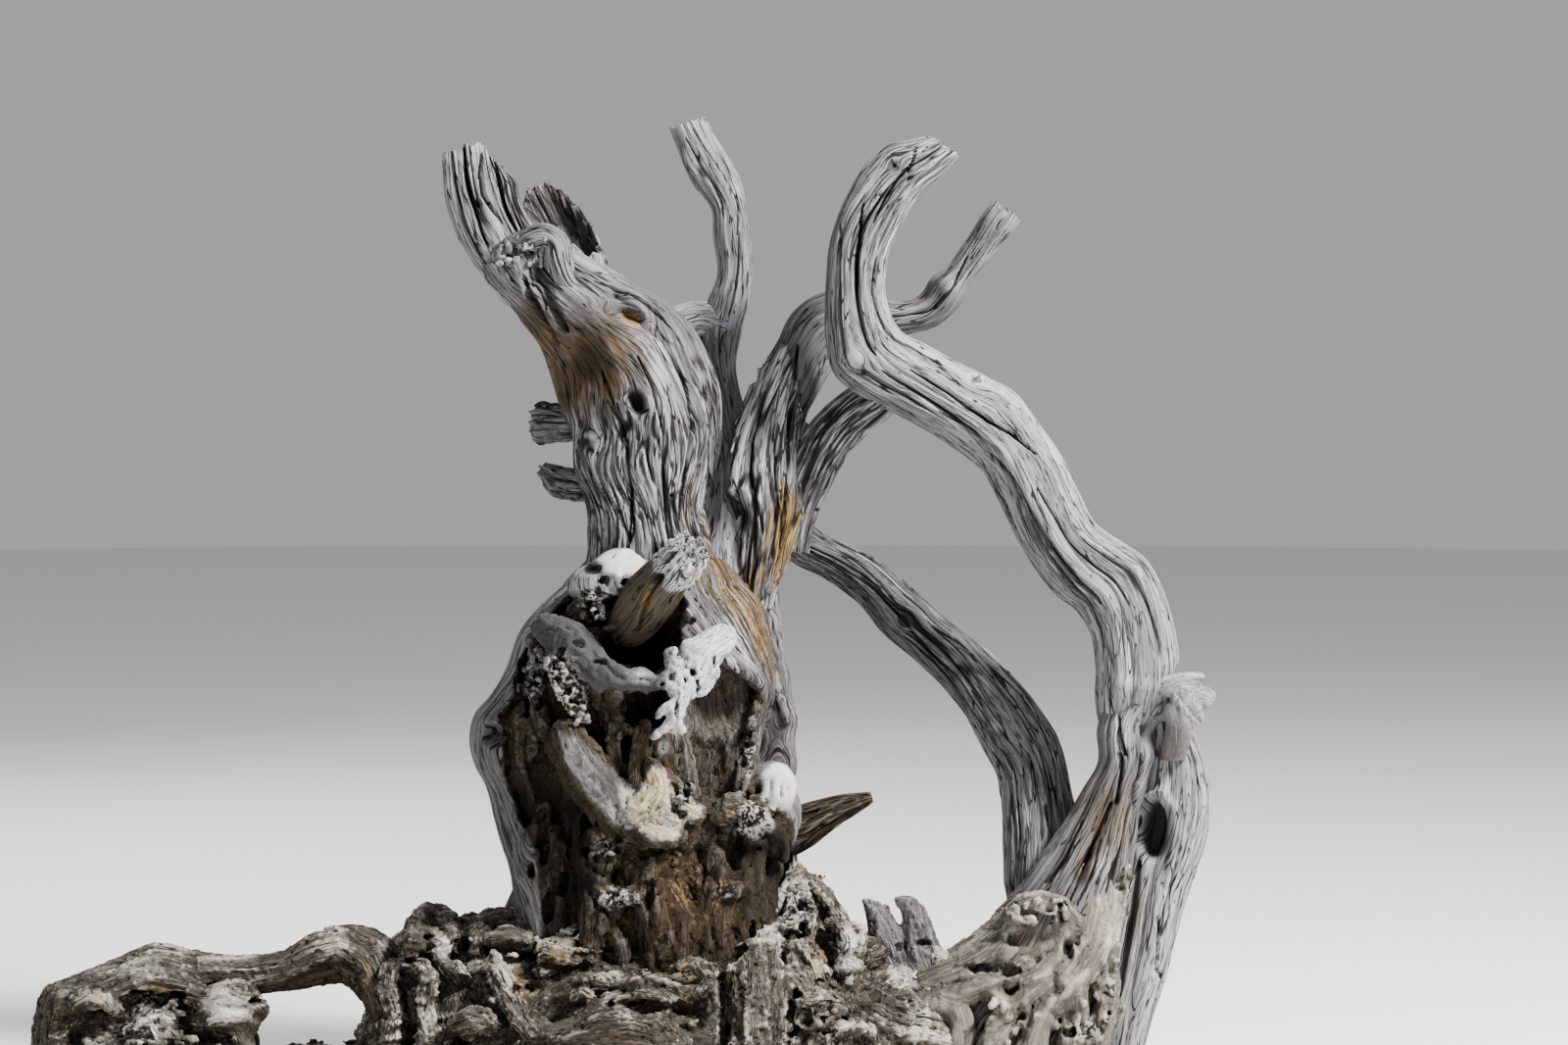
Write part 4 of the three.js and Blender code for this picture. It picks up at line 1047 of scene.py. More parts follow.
def left_trunk():
    L = Limb(
        [[602, 650, 750, 650, 36, 0.34], [594, 622, 756, 626, 18, 0.58], [593, 596, 750, 600, 2, 0.84], [598, 552, 734, 556, 0, 0.9], [596, 515, 724, 515, 0, 0.92], [584, 478, 728, 470, 0, 0.85], [580, 436, 735, 428, -2, 0.82], [566, 396, 727, 378, -4, 0.8], [548, 350, 692, 328, -6, 0.78], [522, 314, 652, 300, -8, 0.76], [498, 288, 613, 276, -8, 0.7], [488, 268, 590, 252, -10, 0.66]],
        around=300, step=2.7, seed=43)
    L.knot(643, 322, 18)
    L.knot(600, 452, 13)
    L.knot(651, 410, 11)
    L.knot(563, 432, 12)
    L.twist(1.4, 0.45)
    low = sst(385, 450, L.W)
    back = 1 - L.face
    calm = np.clip(L.px(590, 366, 66, 60) + 0.8 * L.px(640, 345, 60, 46), 0, 1)
    fur = np.clip(0.35 + 0.75 * low + 0.5 * back - 0.75 * calm, 0.04, 1.1)
    L.relief(flutes=3.8, furrows=2.5, fine=1.0, flute_size=29, furrow_size=8.0, where=0.35 + 0.55 * low + 0.3 * back, lump=3.5, fur=fur, short=0.62)
    L.checks(4.0, 12, 100, 0.06, 9, 0.0, where=np.clip(0.3 + low + back, 0, 1))
    # eye-like knot with its rotted heart, and the chip above it
    L.hollow(-7, L.blob(643, 322, 34, 30))
    L.hollow(17, L.blob(644, 323, 15, 13, power=0.6))
    L.hollow(7, L.blob(632, 303, 9, 10))
    # the dark hole, the ring knot and the smooth brown hollow
    L.hollow(20, L.blob(650, 410, 16, 11, power=0.6))
    L.hollow(-4, L.blob(650, 410, 30, 20))
    L.hollow(9, L.blob(598, 452, 9, 9))
    L.hollow(-7, L.blob(598, 452, 24, 22))
    L.hollow(16, L.px(594, 368, 46, 50))
    L.hollow(-6, L.blob(622, 356, 26, 10))
    L.hollow(-7, L.blob(688, 345, 60, 30))
    L.hollow(10, L.line([(553, 262), (554, 286), (562, 310), (576, 338)], 8))
    L.hollow(8, L.line([(534, 280), (543, 305), (556, 330), (566, 352)], 5))
    L.hollow(6, L.line([(540, 268), (546, 292), (558, 316)], 3))
    L.hollow(9, L.line([(735, 440), (728, 470), (722, 510), (716, 550)], 5))
    L.hollow(7, L.line([(676, 352), (698, 388), (706, 430), (700, 480), (694, 530)], 3.0))
    L.hollow(6, L.line([(652, 365), (672, 420), (678, 470), (680, 520), (684, 560)], 3.0))
    L.hollow(6, L.line([(620, 410), (640, 450), (644, 500), (640, 560)], 2.8))
    L.hollow(5, L.line([(612, 380), (628, 420), (634, 450)], 2.4))
    L.hollow(5, L.line([(708, 380), (722, 420), (718, 460)], 2.6))
    L.hollow(4, L.blob(650, 446, 8, 4))
    L.hollow(4, L.blob(652, 527, 6, 4))
    L.hollow(5, L.blob(687, 506, 4, 6))
    heart = np.clip(1.6 * L.blob(645, 325, 16, 14), 0, 1)
    L.mask["och"] += 1.3 * heart + 0.85 * L.px(735, 585, 60, 90) + 0.35 * L.px(700, 510, 30, 60) + 0.42 * L.px(550, 376, 36, 110) + 0.10 * L.px(600, 376, 56, 44)
    # drk: painted shade in the hole, the knot's centre, the hollow round the heart, the chip and the groove
    L.mask["drk"] += np.clip(2.6 * L.blob(650, 410, 17, 11), 0, 1) + 0.8 * L.blob(598, 452, 8, 8) + 0.9 * np.clip(1.6 * L.blob(644, 323, 24, 20) - 1.6 * heart, 0, 1) + 0.6 * L.blob(632, 303, 10, 10) + 0.25 * L.px(552, 300, 20, 44)
    L.mask["brn"] += 0.95 * L.px(594, 368, 116, 92) * (0.45 + 0.9 * rounded(noise(L.TH * 9, L.S / 60, 0.4, 431), 0.3)) + 0.45 * L.px(540, 320, 30, 50) + 0.15 * sst(0.1, 0.8, L.mask["cav"]) + 0.5 * L.px(566, 410, 26, 34) + 0.35 * L.px(590, 480, 18, 50)
    L.mask["pal"] += 0.22 * L.px(668, 470, 50, 110) + 0.4 * L.px(672, 390, 26, 56) + 0.3 * L.px(650, 345, 60, 40) - 0.1 * L.px(590, 520, 30, 110) + 0.04
    L.broken(1, rough=5, cell=9, seed=13, reach=26, tilt=(0.1, 0.0))
    return L.build("Left_Trunk")


def trunk_brow():
    """The raised ridge from the knotty end down past the eye-like knot."""
    L = Limb([[722, 520, 8, 16], [718, 470, 18, 2], [712, 430, 27, -10], [700, 395, 34, -15], [668, 347, 38, -19], [626, 312, 31, -24], [596, 288, 26, -26], [566, 268, 20, -24]], kind="round", around=176, step=2.7, seed=47)
    L.knot(643, 322, 18)
    L.twist(0.8, 0.4)
    low = sst(385, 440, L.W)
    rightof = sst(682, 694, L.U - 0.06 * (L.W - 370)) * sst(345, 375, L.W)
    low = np.maximum(low * 0.6, rightof)
    L.relief(flutes=2.6, furrows=1.9, fine=0.8, flute_size=24, furrow_size=7.5, where=0.3 + 0.7 * low, lump=2.5, fur=0.10 + 0.95 * low, short=0.7)
    L.checks(3.0, 10, 110, 0.06, 9, 0.02, where=0.35 + 0.65 * low)
    L.hollow(19, L.blob(644, 323, 16, 13, power=0.6))
    L.hollow(-3, np.clip(L.blob(644, 323, 30, 26) - L.blob(644, 323, 17, 15), 0, 1))
    L.hollow(8, L.blob(632, 302, 11, 12, power=0.7))
    L.hollow(-4, L.blob(634, 300, 4, 4))
    L.hollow(12, L.blob(655, 408, 14, 9))
    L.hollow(6, L.line([(664, 330), (690, 372), (704, 410), (708, 450)], 2.4))
    L.hollow(5, L.line([(608, 288), (640, 296), (668, 318), (694, 352)], 2.2))
    L.hollow(5, L.line([(600, 312), (618, 330), (640, 352), (664, 380)], 2.6))
    heart = np.clip(1.6 * L.blob(645, 325, 16, 14), 0, 1)
    L.mask["och"] += 1.4 * heart
    # drk: painted shade in the hollow round the heart, the chip and the hole
    L.mask["drk"] += 0.9 * np.clip(1.6 * L.blob(644, 323, 24, 20) - 1.6 * heart, 0, 1) + 0.7 * L.blob(632, 302, 9, 9) + np.clip(2.4 * L.blob(654, 409, 16, 10), 0, 0.95)
    L.mask["brn"] += 0.2 * L.px(600, 300, 30, 26) + 0.22 * rightof
    L.mask["pal"] += 0.45 * L.line([(632, 338), (662, 344), (678, 366), (684, 392), (682, 415)], 11) + 0.10
    L.broken(1, rough=3, cell=5, seed=15, reach=18)
    return L.build("Trunk_Brow")


def knot_roll():
    """The rounded roll that comes out of the crumbly knot and runs into the trunk."""
    L = Limb([[530, 250, 11, -32], [543, 243, 13, -38], [557, 241, 14, -42], [567, 248, 14, -44], [571, 265, 14, -43], [577, 284, 15, -40], [590, 300, 17, -33], [612, 314, 18, -24]], kind="round", around=100, step=1.9, seed=49)
    L.relief(flutes=1.8, furrows=1.2, fine=0.5, flute_size=16, furrow_size=6, lump=1.5, fur=0.35)
    L.checks(2.5, 8, 60, 0.07, 9, 0.0)
    L.mask["pal"] += 0.2
    L.broken(0, rough=4, cell=4, seed=27, reach=14)
    return L.build("Knot_Roll")


def crumbly_knot():
    h = 1.4
    c = P(534, 252, -40)
    F = Field(c - (34, 26, 28), c + (40, 30, 28), h)
    rs = np.random.RandomState(41)
    F.strand([(*P(512, 262, -22), 12), (*P(528, 254, -28), 15), (*P(546, 248, -34), 15), (*P(560, 250, -34), 12)], 4)
    for i in range(120):
        u, v = rs.uniform(508, 562), rs.uniform(238, 270)
        F.ball(P(u, v, rs.uniform(-54, -36)), rs.uniform(2.2, 5.0, 3), 1.6, cut=rs.rand() < 0.55, rough=1.0, seed=int(rs.randint(9999)))
    for u, v, r in ((522, 256, 8), (540, 262, 9), (528, 246, 5), (552, 266, 7)):
        F.ball(P(u, v, -52), (r, 9, r * 0.7), 2, cut=True, rough=2, seed=int(u))
    V, Q = F.surface()
    N = normals(V, Q)
    V2 = V + N * (0.6 * noise(V[:, 0] / 3, V[:, 1] / 3, V[:, 2] / 3, 181))[:, None]
    conv = ((V2 - smooth_of(V2, Q, 9)) * N).sum(1)
    # darker in hollows and paler on bumps, from the curvature: painted shade and painted highlight
    at = {"cav": np.clip(sst(0.2, -2.0, conv), 0, 1.1), "pal": 0.1 + 0.4 * sst(0.2, 1.4, conv), "brn": 0.25 * sst(0.3, -1, conv), "och": 0 * conv, "drk": 0.8 * sst(-0.8, -3.0, conv), "cru": 0.35 + 0 * conv, "gc": V * 0.001}
    return make("Crumbly_Knot", V2, Q, None, at)


def broken_spike():
    L = Limb([[450, 154, 496, 150, -8, 0.5], [452, 190, 503, 182, -8, 0.5], [457, 216, 512, 208, -8, 0.55], [466, 242, 524, 232, -8, 0.6], [480, 266, 538, 254, -8, 0.7], [498, 290, 556, 280, -8, 0.8], [515, 312, 572, 302, -8, 0.8]], around=160, step=2.6, seed=53)
    L.twist(0.4, 0.1)
    L.relief(flutes=2.4, furrows=1.5, fine=0.5, flute_size=13, furrow_size=6, where=0.8, lump=1.0, fur=0.45)
    L.checks(3.0, 8, 260, 0.07, 9, 0.0)
    L.hollow(8, L.line([(473, 152), (474, 172), (479, 197), (487, 225), (498, 253)], 2.8))
    L.hollow(9, L.line([(493, 160), (491, 180), (493, 198), (502, 214), (513, 228)], 3.4))
    L.hollow(4, L.line([(461, 156), (465, 190), (474, 225), (488, 256)], 1.8))
    L.hollow(7, L.blob(488, 207, 7, 4))
    # painted shade in the small hole
    L.mask["drk"] += 0.8 * L.blob(488, 207, 6, 3.5)
    L.mask["pal"] += 0.22
    L.mask["brn"] += 0.25 * sst(0.15, 0.8, L.mask["cav"])
    L.broken(0, rough=1.6, cell=9, seed=17, reach=40, axial=lambda x, y: -2.5 + 5.5 * sst(-2, 2, x) + 1.5 * np.sin(x / 2.1))
    return L.build("Broken_Spike")


def broken_spike_side():
    L = Limb([[493, 160, 513, 164, 8, 0.6], [495, 182, 528, 184, 12, 0.5], [500, 208, 533, 206, 12, 0.6], [510, 240, 548, 236, 10, 0.8], [520, 262, 560, 256, 4, 0.8]], around=100, step=2.4, seed=59)
    L.relief(flutes=3.4, furrows=1.6, fine=0.5, flute_size=10, furrow_size=5, fur=0.8)
    L.checks(4, 7, 160, 0.08, 9, -0.1)
    L.hollow(7, L.line([(505, 166), (508, 190), (514, 212), (524, 232)], 2.6))
    L.mask["pal"] += 0.2
    L.mask["brn"] += 0.3
    L.broken(0, rough=3, cell=6, seed=19, reach=34, tilt=(-0.85, 0))
    return L.build("Broken_Spike_Side")


def hollow_stub():
    L = Limb([[602, 345, 30, 0], [592, 318, 34, 2], [583, 284, 36, 3], [576, 252, 35, 6], [566, 224, 33, 9], [553, 196, 31, 12], [546, 182, 30, 13]], kind="round", around=190, step=2.2, seed=61)
    L.knot(600, 256, 7)
    L.twist(0.5, 0.2)
    L.relief(flutes=1.8, furrows=1.2, fine=0.5, flute_size=16, furrow_size=7, where=0.9, lump=1.2, fur=0.45)
    L.checks(3, 8, 120, 0.06, 9, 0.0)
    # the wall stands at the back and right and is broken away towards the front
    L.broken(1, rough=1.2, cell=6, seed=21, reach=165, deep=34, wall=0.13, rings=26, axial=lambda x, y: np.clip(-64 + 2.1 * y + 0.35 * x, -98, -3) + 1.4 * np.sin(x / 1.7))
    L.hollow(6, L.blob(600, 254, 12, 10))
    L.mask["brn"] += 0.12
    L.mask["pal"] += 0.1
    return L.build("Hollow_Stub")


def side_knot(name, rows, seed, deep):
    L = Limb(rows, kind="round", around=96, step=2.0, seed=seed)
    L.relief(flutes=2.2, furrows=1.3, fine=0.6, flute_size=15, furrow_size=8, lump=3.5, fur=0.3)
    L.checks(3, 10, 40, 0.06, 9, 0.0)
    L.D += (3.5 * (rounded(noise(L.base[..., 0] / 13, L.base[..., 1] / 13, L.base[..., 2] / 9, seed + 1), 0.3) - 0.6)).astype(F4)
    L.broken(0, rough=9, cell=6, seed=seed, reach=18, deep=deep, wall=0.35, rings=12)
    L.mask["brn"] += 0.25
    return L.build(name)


def root_spike():
    L = Limb([[776, 856, 30, -10], [798, 850, 27, -14], [816, 845, 23, -18], [836, 834, 19, -22], [858, 824, 14, -24], [878, 817, 9, -24], [889, 813, 5, -24]], kind="round", around=110, step=1.8, seed=67)
    L.twist(3.0, 0.4)
    L.relief(flutes=4.0, furrows=1.8, fine=0.7, flute_size=13, furrow_size=6, lump=2.5)
    L.checks(3, 8, 70, 0.08, 9, -0.1)
    L.hollow(4, L.line([(822, 838), (845, 826), (872, 816)], 3))
    L.hollow(3, L.line([(825, 850), (850, 838), (875, 824)], 2.5))
    L.hollow(-3, L.blob(884, 814, 8, 6))
    L.mask["brn"] += 0.55
    L.mask["pal"] += 0.55 * L.blob(868, 817, 34, 8) + 0.2 * L.blob(840, 828, 30, 8)
    L.broken(1, rough=2.5, cell=3, seed=23, reach=8, rings=5)
    return L.build("Root_Spike")


# ---------------------------------------------------------------- the burl and the roots
def neighbours(V, Q):
    E = np.concatenate([Q[:, [0, 1]], Q[:, [1, 2]], Q[:, [2, 3]], Q[:, [3, 0]]])
    a, b = np.concatenate([E[:, 0], E[:, 1]]), np.concatenate([E[:, 1], E[:, 0]])
    return a, b, np.bincount(a, minlength=len(V)).astype(float)


def smooth_of(V, Q, n):
    a, b, w = neighbours(V, Q)
    W = V.astype(float).copy()
    for _ in range(n):
        W = np.stack([np.bincount(a, W[b, k], len(V)) for k in range(3)], 1) / w[:, None]
    return W


def flow_of(V, Q, N, G, n=10, lean=(0.5, 0.2, -1.0)):
    """Guide directions made to agree with their neighbours and to lie in the surface."""
    G = G * np.where(G @ np.array(lean) < 0, -1.0, 1.0)[:, None]
    G = smooth_of(G, Q, n)
    G = G - N * (G * N).sum(1)[:, None]
    return G / np.maximum(np.linalg.norm(G, axis=1), 1e-6)[:, None]


def patch(V, u, v, ru, rv, y=None, ry=60.0):
    """1 at the front-view point, 0 beyond an ellipse; y limits it in depth."""
    uu, vv, _ = front(V)
    d = ((uu - u) / ru) ** 2 + ((vv - v) / rv) ** 2
    if y is not None:
        d = d + ((V[:, 1] - y) / ry) ** 2
    return sst(1, 0, np.sqrt(d))


def inside_of(u, v, pts):
    """Distance in from a closed front-view outline, negative outside."""
    P2 = np.asarray(pts, float)
    best = np.full(u.shape, 1e9)
    odd = np.zeros(u.shape, bool)
    for (x0, y0), (x1, y1) in zip(P2, np.roll(P2, -1, axis=0)):
        dx, dy = x1 - x0, y1 - y0
        t = np.clip(((u - x0) * dx + (v - y0) * dy) / (dx * dx + dy * dy), 0, 1)
        best = np.minimum(best, (u - x0 - t * dx) ** 2 + (v - y0 - t * dy) ** 2)
        if y0 != y1:
            odd ^= ((y0 > v) != (y1 > v)) & (u < (x1 - x0) * (v - y0) / (y1 - y0) + x0)
    return np.sqrt(best) * np.where(odd, 1.0, -1.0)


class Hull:
    """A stack of ellipses: along z for the burl, along x for the roots."""

    def __init__(self, rows, axis):
        self.axis = axis
        k = 2 if axis == "z" else 0
        C, A, B = sections("pair", rows)
        t = np.linspace(0, len(C) - 1, (len(C) - 1) * 12 + 1)
        C, A, B = spline(C, t), spline(A, t), spline(B, t)
        o = np.argsort(C[:, k])
        self.key, self.C, self.a, self.b = C[o, k], C[o], np.linalg.norm(A[o], axis=1), np.linalg.norm(B[o], axis=1)

    def local(self, x, y, z):
        q = z if self.axis == "z" else x
        at = lambda m: np.interp(q, self.key, m)
        if self.axis == "z":
            return x - at(self.C[:, 0]), y - at(self.C[:, 1]), at(self.a), at(self.b), q
        return z - at(self.C[:, 2]), y - at(self.C[:, 1]), at(self.a), at(self.b), q

    def dist(self, x, y, z, inset=0.0):
        p, q, a, b, key = self.local(x, y, z)
        a, b = np.maximum(a - inset, 3), np.maximum(b - inset, 3)
        d = (np.sqrt((p / a) ** 2 + (q / b) ** 2) - 1) * np.minimum(a, b)
        lo, hi = self.key[0] + inset, self.key[-1] - inset
        return np.maximum(d, np.maximum(lo - key, key - hi))

    def on_front(self, u, v, inset=0.0):
        """The front surface point seen at (u, v), pushed in by inset."""
        y = -60.0
        for _ in range(4):
            p = P(u, v, y)
            l, _, a, b, _ = self.local(*p)
            cy = p[1] - self.local(*p)[1]
            f = max(0.0, 1 - min(1.0, (l / a) ** 2))
            y = cy - b * math.sqrt(f)
        return P(u, v, y + inset)


HEART = [(588, 604), (566, 622), (545, 642), (529, 678), (523, 712), (510, 730), (512, 762), (513, 790), (528, 830), (545, 870), (553, 950), (560, 1030), (780, 1030), (800, 960), (806, 905), (812, 840), (776, 806), (774, 748), (786, 720), (772, 700), (735, 672), (700, 652), (694, 640), (702, 616), (690, 596), (650, 606)]


def burl():
    H = Hull([[600, 566, 742, 572, -5, 0.9], [577, 592, 768, 598, -5, 0.88], [551, 615, 782, 622, -5, 0.86], [531, 642, 786, 648, -6, 0.84], [516, 682, 790, 684, -6, 0.84], [499, 708, 790, 710, -6, 0.82], [482, 728, 785, 730, -5, 0.84], [478, 752, 777, 752, -4, 0.86], [484, 780, 777, 778, -2, 0.88], [497, 806, 792, 804, 0, 0.84], [504, 836, 806, 834, 0, 0.8], [513, 864, 812, 864, 0, 0.8], [521, 890, 815, 890, 0, 0.82], [528, 940, 815, 940, 0, 0.84], [536, 985, 812, 985, 0, 0.84], [550, 1030, 800, 1030, 0, 0.84]], "z")
    h = 2.5
    F = Field((-196, -150, 118), (176, 150, 572), h)
    x, y, z = F.ax[0][:, None, None], F.ax[1][None, :, None], F.ax[2][None, None, :]
    F.D = H.dist(x, y, z).astype(F4)
    S = H.on_front

    def heart(p):
        u, v, _ = front(p)
        m = sst(-2.5, 6, inside_of(u, v, HEART) + 3 * noise(p[:, 0] / 14, p[:, 1] / 14, p[:, 2] / 14, 90))
        return m * sst(20, -50, p[:, 1]) * (15 + 9 * noise(p[:, 0] / 60, 0.5, p[:, 2] / 60, 89))

    F.relief(heart, 44)
    # the mouth under the broken stub, the smooth bowl to its right and the smaller hollows
    for (u, v, inset, rx, ry, rz, k, rough) in [
        (648, 664, 34, 47, 50, 24, 7, 3), (620, 622, 20, 32, 26, 17, 7, 6), (676, 640, 22, 26, 26, 18, 7, 5), (690, 985, 6, 60, 20, 16, 8, 5),
        (742, 724, 2, 35, 46, 48, 8, 1), (728, 786, 8, 34, 40, 50, 9, 1),
        (500, 749, -4, 16, 24, 12, 5, 3), (545, 692, 12, 17, 18, 44, 6, 6), (664, 722, 24, 30, 36, 24, 7, 5),
        (604, 752, 22, 16, 24, 26, 6, 4), (644, 762, 20, 11, 22, 14, 5, 3), (556, 806, 14, 22, 22, 46, 8, 5), (600, 852, 18, 18, 22, 14, 6, 4),
        (660, 872, 4, 24, 18, 6, 5, 4), (716, 872, 6, 16, 18, 12, 5, 4), (622, 896, 6, 16, 18, 8, 5, 4), (780, 900, 12, 26, 26, 18, 8, 4),
    ]:
        F.ball(S(u, v, inset), (rx, ry, rz), k, cut=True, rough=rough, seed=int(u))
    guides = []

    def st(pts, k=4.0, squash=None, keep=True):
        q = [(*S(u, v, i), r) for u, v, i, r in pts]
        F.strand(q, k, squash=squash)
        if keep:
            guides.append([p[:3] for p in q])

    # a board-like flange, with flow lines along it
    for o, i, r in ((-13, 12, 8), (-4, 7, 9), (7, 7, 9), (17, 13, 8)):
        st([(573 + o * 0.6, 744 - o * 0.3, i, r), (582 + o * 0.8, 768 - o * 0.5, i - 3, r + 1), (598 + o * 0.85, 793 - o * 0.6, i - 5, r + 2), (620 + o * 0.8, 820 - o * 0.7, i - 4, r + 2), (640 + o * 0.5, 848 - o * 0.6, i + 4, r)], 5)
    # below: dark shallow folds on the left, a brown uneven flow on the right
    ro = np.random.RandomState(29)
    for n in range(30):
        u, d, r = ro.uniform(534, 802), ro.uniform(-22, 22), ro.uniform(6, 15)
        v = ro.uniform(800, 890) if u < 600 else ro.uniform(850, 930)
        a, b = ro.uniform(0, 6.28), ro.uniform(4, 11)
        w = [b * math.sin(a + 1.7 * k) for k in range(4)]
        st([(u + w[0], v, 16, r * 0.6), (u + d * 0.3 + w[1], v + 34, 13, r), (u + d * 0.7 + w[2], v + 70, 13, r), (u + d + w[3], min(v + 112, 1004), 13, r * 0.9)], 6)
    for n in range(26):
        u, v = ro.uniform(536, 800), ro.uniform(850, 985)
        F.ball(S(u, v, ro.uniform(-2, 6)), (ro.uniform(2.5, 7), 12, ro.uniform(7, 22)), 4, cut=True, rough=3, seed=int(ro.randint(9999)))
    # the rims of the bowl and of the mouth
    st([(700, 652, 3, 8), (726, 664, 0, 8), (754, 678, 0, 8), (779, 702, 3, 8), (772, 734, 6, 8), (764, 770, 8, 9), (758, 802, 10, 11)], 6)
    st([(690, 705, 24, 9), (694, 745, 26, 9), (700, 785, 24, 9), (704, 812, 16, 9)])
    st([(658, 742, 20, 8), (650, 775, 16, 8), (652, 800, 10, 9)])
    for a, b, c in (((716, 700), (720, 750), (716, 806)), ((734, 690), (738, 750), (730, 815)), ((752, 700), (754, 756), (744, 815))):
        guides.append([S(*a, 34), S(*b, 44), S(*c, 34)])
    st([(541, 646, 8, 8), (548, 660, 10, 8), (545, 676, 10, 7)])
    F.ball(S(558, 641, 12), (15, 10, 9), 4, rough=3, seed=31)
    F.ball(S(592, 624, 10), (15, 13, 13), 4, rough=2, seed=32)
    st([(546, 708, 12, 8), (552, 726, 6, 10), (556, 744, 8, 8)])
    # the pale eroded patch
    F.ball(S(668, 824, 10), (34, 20, 36), 5, rough=4, seed=3)
    st([(664, 782, 8, 9), (668, 800, 4, 11), (650, 824, 3, 13), (640, 832, 6, 9)], 5)
    st([(672, 790, 8, 9), (684, 812, 4, 11), (704, 828, 4, 10), (716, 828, 8, 7)], 5)
    st([(660, 846, 4, 11), (680, 856, 4, 10), (694, 852, 8, 8)], 5)
    # crusts
    F.ball(S(748, 828, 6), (24, 20, 20), 5, rough=6, seed=6)
    F.ball(S(768, 842, 6), (24, 20, 28), 5, rough=7, seed=16)
    F.ball(S(790, 852, 4), (18, 22, 26), 6, rough=6, seed=10)
    F.ball(S(612, 858, 8), (17, 14, 12), 4, rough=5, seed=7)
    F.ball(S(626, 876, 10), (12, 10, 8), 4, rough=4, seed=17)
    F.ball(S(612, 915, 8), (18, 14, 16), 4, rough=5, seed=8)
    F.ball(S(642, 914, 8), (15, 12, 9), 4, rough=3, seed=18)
    F.ball(S(740, 906, 6), (22, 14, 11), 4, rough=5, seed=9)
    rs = np.random.RandomState(17)
    for cu, cv, ru, rv, n in ((612, 620, 28, 14, 16), (545, 690, 14, 40, 22), (765, 838, 32, 34, 26), (620, 866, 22, 20, 10), (626, 916, 34, 18, 12), (742, 906, 22, 12, 6), (690, 822, 24, 24, 26), (560, 860, 22, 60, 14), (764, 770, 10, 34, 12), (700, 640, 12, 18, 8)):
        for _ in range(n):
            a, q = rs.rand() * 6.28, math.sqrt(rs.rand())
            c = S(cu + ru * q * math.cos(a), cv + rv * q * math.sin(a), rs.uniform(-4, 14))
            F.ball(c, rs.uniform(3.2, 7.5, 3), 2.5, cut=rs.rand() < 0.6, rough=1.5, seed=int(rs.randint(9999)))
    # the broken shelf, the hanging splinter and the pale nub
    F.strand([(*P(594, 598, -66), 16), (*P(608, 592, -80), 18), (*P(630, 586, -86), 19), (*P(650, 590, -88), 15)], 5)
    F.strand([(*P(612, 578, -70), 10), (*P(632, 572, -74), 13), (*P(648, 578, -72), 10)], 4)
    F.ball(P(600, 580, -94), (15, 16, 6), 3, cut=True, rough=2, seed=12)
    for _ in range(26):
        F.ball(P(rs.uniform(584, 640), rs.uniform(590, 609), rs.uniform(-108, -98)), rs.uniform(3, 6, 3), 2, cut=rs.rand() < 0.6, rough=1, seed=int(rs.randint(9999)))
    F.strand([(*P(780, 598, 26), 15), (*P(787, 650, 26), 11), (*P(794, 700, 24), 7), (*P(803, 736, 20), 3.0)], 4)
    F.ball(P(793, 804, -52), (20, 24, 26), 5, rough=2, seed=13)
    F.strand([(*P(776, 790, -60), 10), (*P(786, 783, -58), 8)], 4)
    for u, v, y, rx, rz, q in ((787, 803, -78, 1.5, 18, 71), (797, 800, -78, 1.3, 14, 72), (803, 812, -74, 1.4, 12, 73), (792, 786, -74, 5, 2, 74), (626, 572, -92, 2.2, 6, 75), (641, 575, -90, 1.6, 5, 76), (634, 581, -94, 9, 1.8, 77)):
        F.ball(P(u, v, y), (rx, 7, rz), 1.5, cut=True, rough=1.5, seed=q)
    F.strand([(*P(797, 822, -42), 20), (*P(794, 850, -30), 20)], 6)
    # back: uneven broad folds that grow out of the trunk, and rot pockets
    rb_ = np.random.RandomState(61)
    for n in range(16):
        g = -1.05 + 2.1 * (n + rb_.uniform(-0.3, 0.3)) / 15
        r, w = rb_.uniform(12, 27), rb_.uniform(-16, 16, 4)
        sx, cy = math.sin(g), math.cos(g)
        F.strand([(70 * sx * 0.7, 34 * cy, 556, r * 0.45), (92 * sx + w[0] * 0.4, 62 * cy, 524, r * 0.6), (122 * sx + w[0], 86 * cy, 470, r * 0.85), (134 * sx + w[1], 98 * cy, 390, r), (136 * sx + w[2], 98 * cy, 290, r), (140 * sx + w[3], 102 * cy, 190, r)], 9, smooth=2)
    for c, r, s in (((-66, 134, 350), (17, 26, 60), 21), ((30, 138, 270), (15, 24, 48), 22), ((-14, 134, 440), (12, 22, 40), 23), ((70, 120, 420), (12, 20, 34), 24), ((-120, 96, 260), (14, 20, 40), 25), ((110, 90, 300), (14, 20, 34), 26)):
        F.ball(c, r, 7, cut=True, rough=5, seed=s)

    def crust(p):
        u, v, _ = front(p)
        m = sst(-2, 6, inside_of(u, v, HEART)) * sst(20, -20, p[:, 1])
        soft = np.maximum.reduce([patch(p, a, b, c, d) for a, b, c, d in ((740, 745, 50, 90), (600, 795, 40, 50), (793, 804, 30, 30), (632, 575, 30, 14))])
        w = 9 * noise(p[:, 0] / 46, p[:, 1] / 46, p[:, 2] / 46, 91)
        big = rounded(noise((p[:, 0] + w) / 17, p[:, 1] / 20, (p[:, 2] - w) / 46, 92), 0.3)
        mid = rounded(noise(p[:, 0] / 9, p[:, 1] / 9, p[:, 2] / 17, 93), 0.3)
        return -(m * (1 - 0.8 * soft) * (4.5 * (big - 0.62) + 2.4 * (mid - 0.62)) + (1 - m) * 2.0 * fbm(p[:, 0] / 50, p[:, 1] / 50, p[:, 2] / 70, 2, 94))

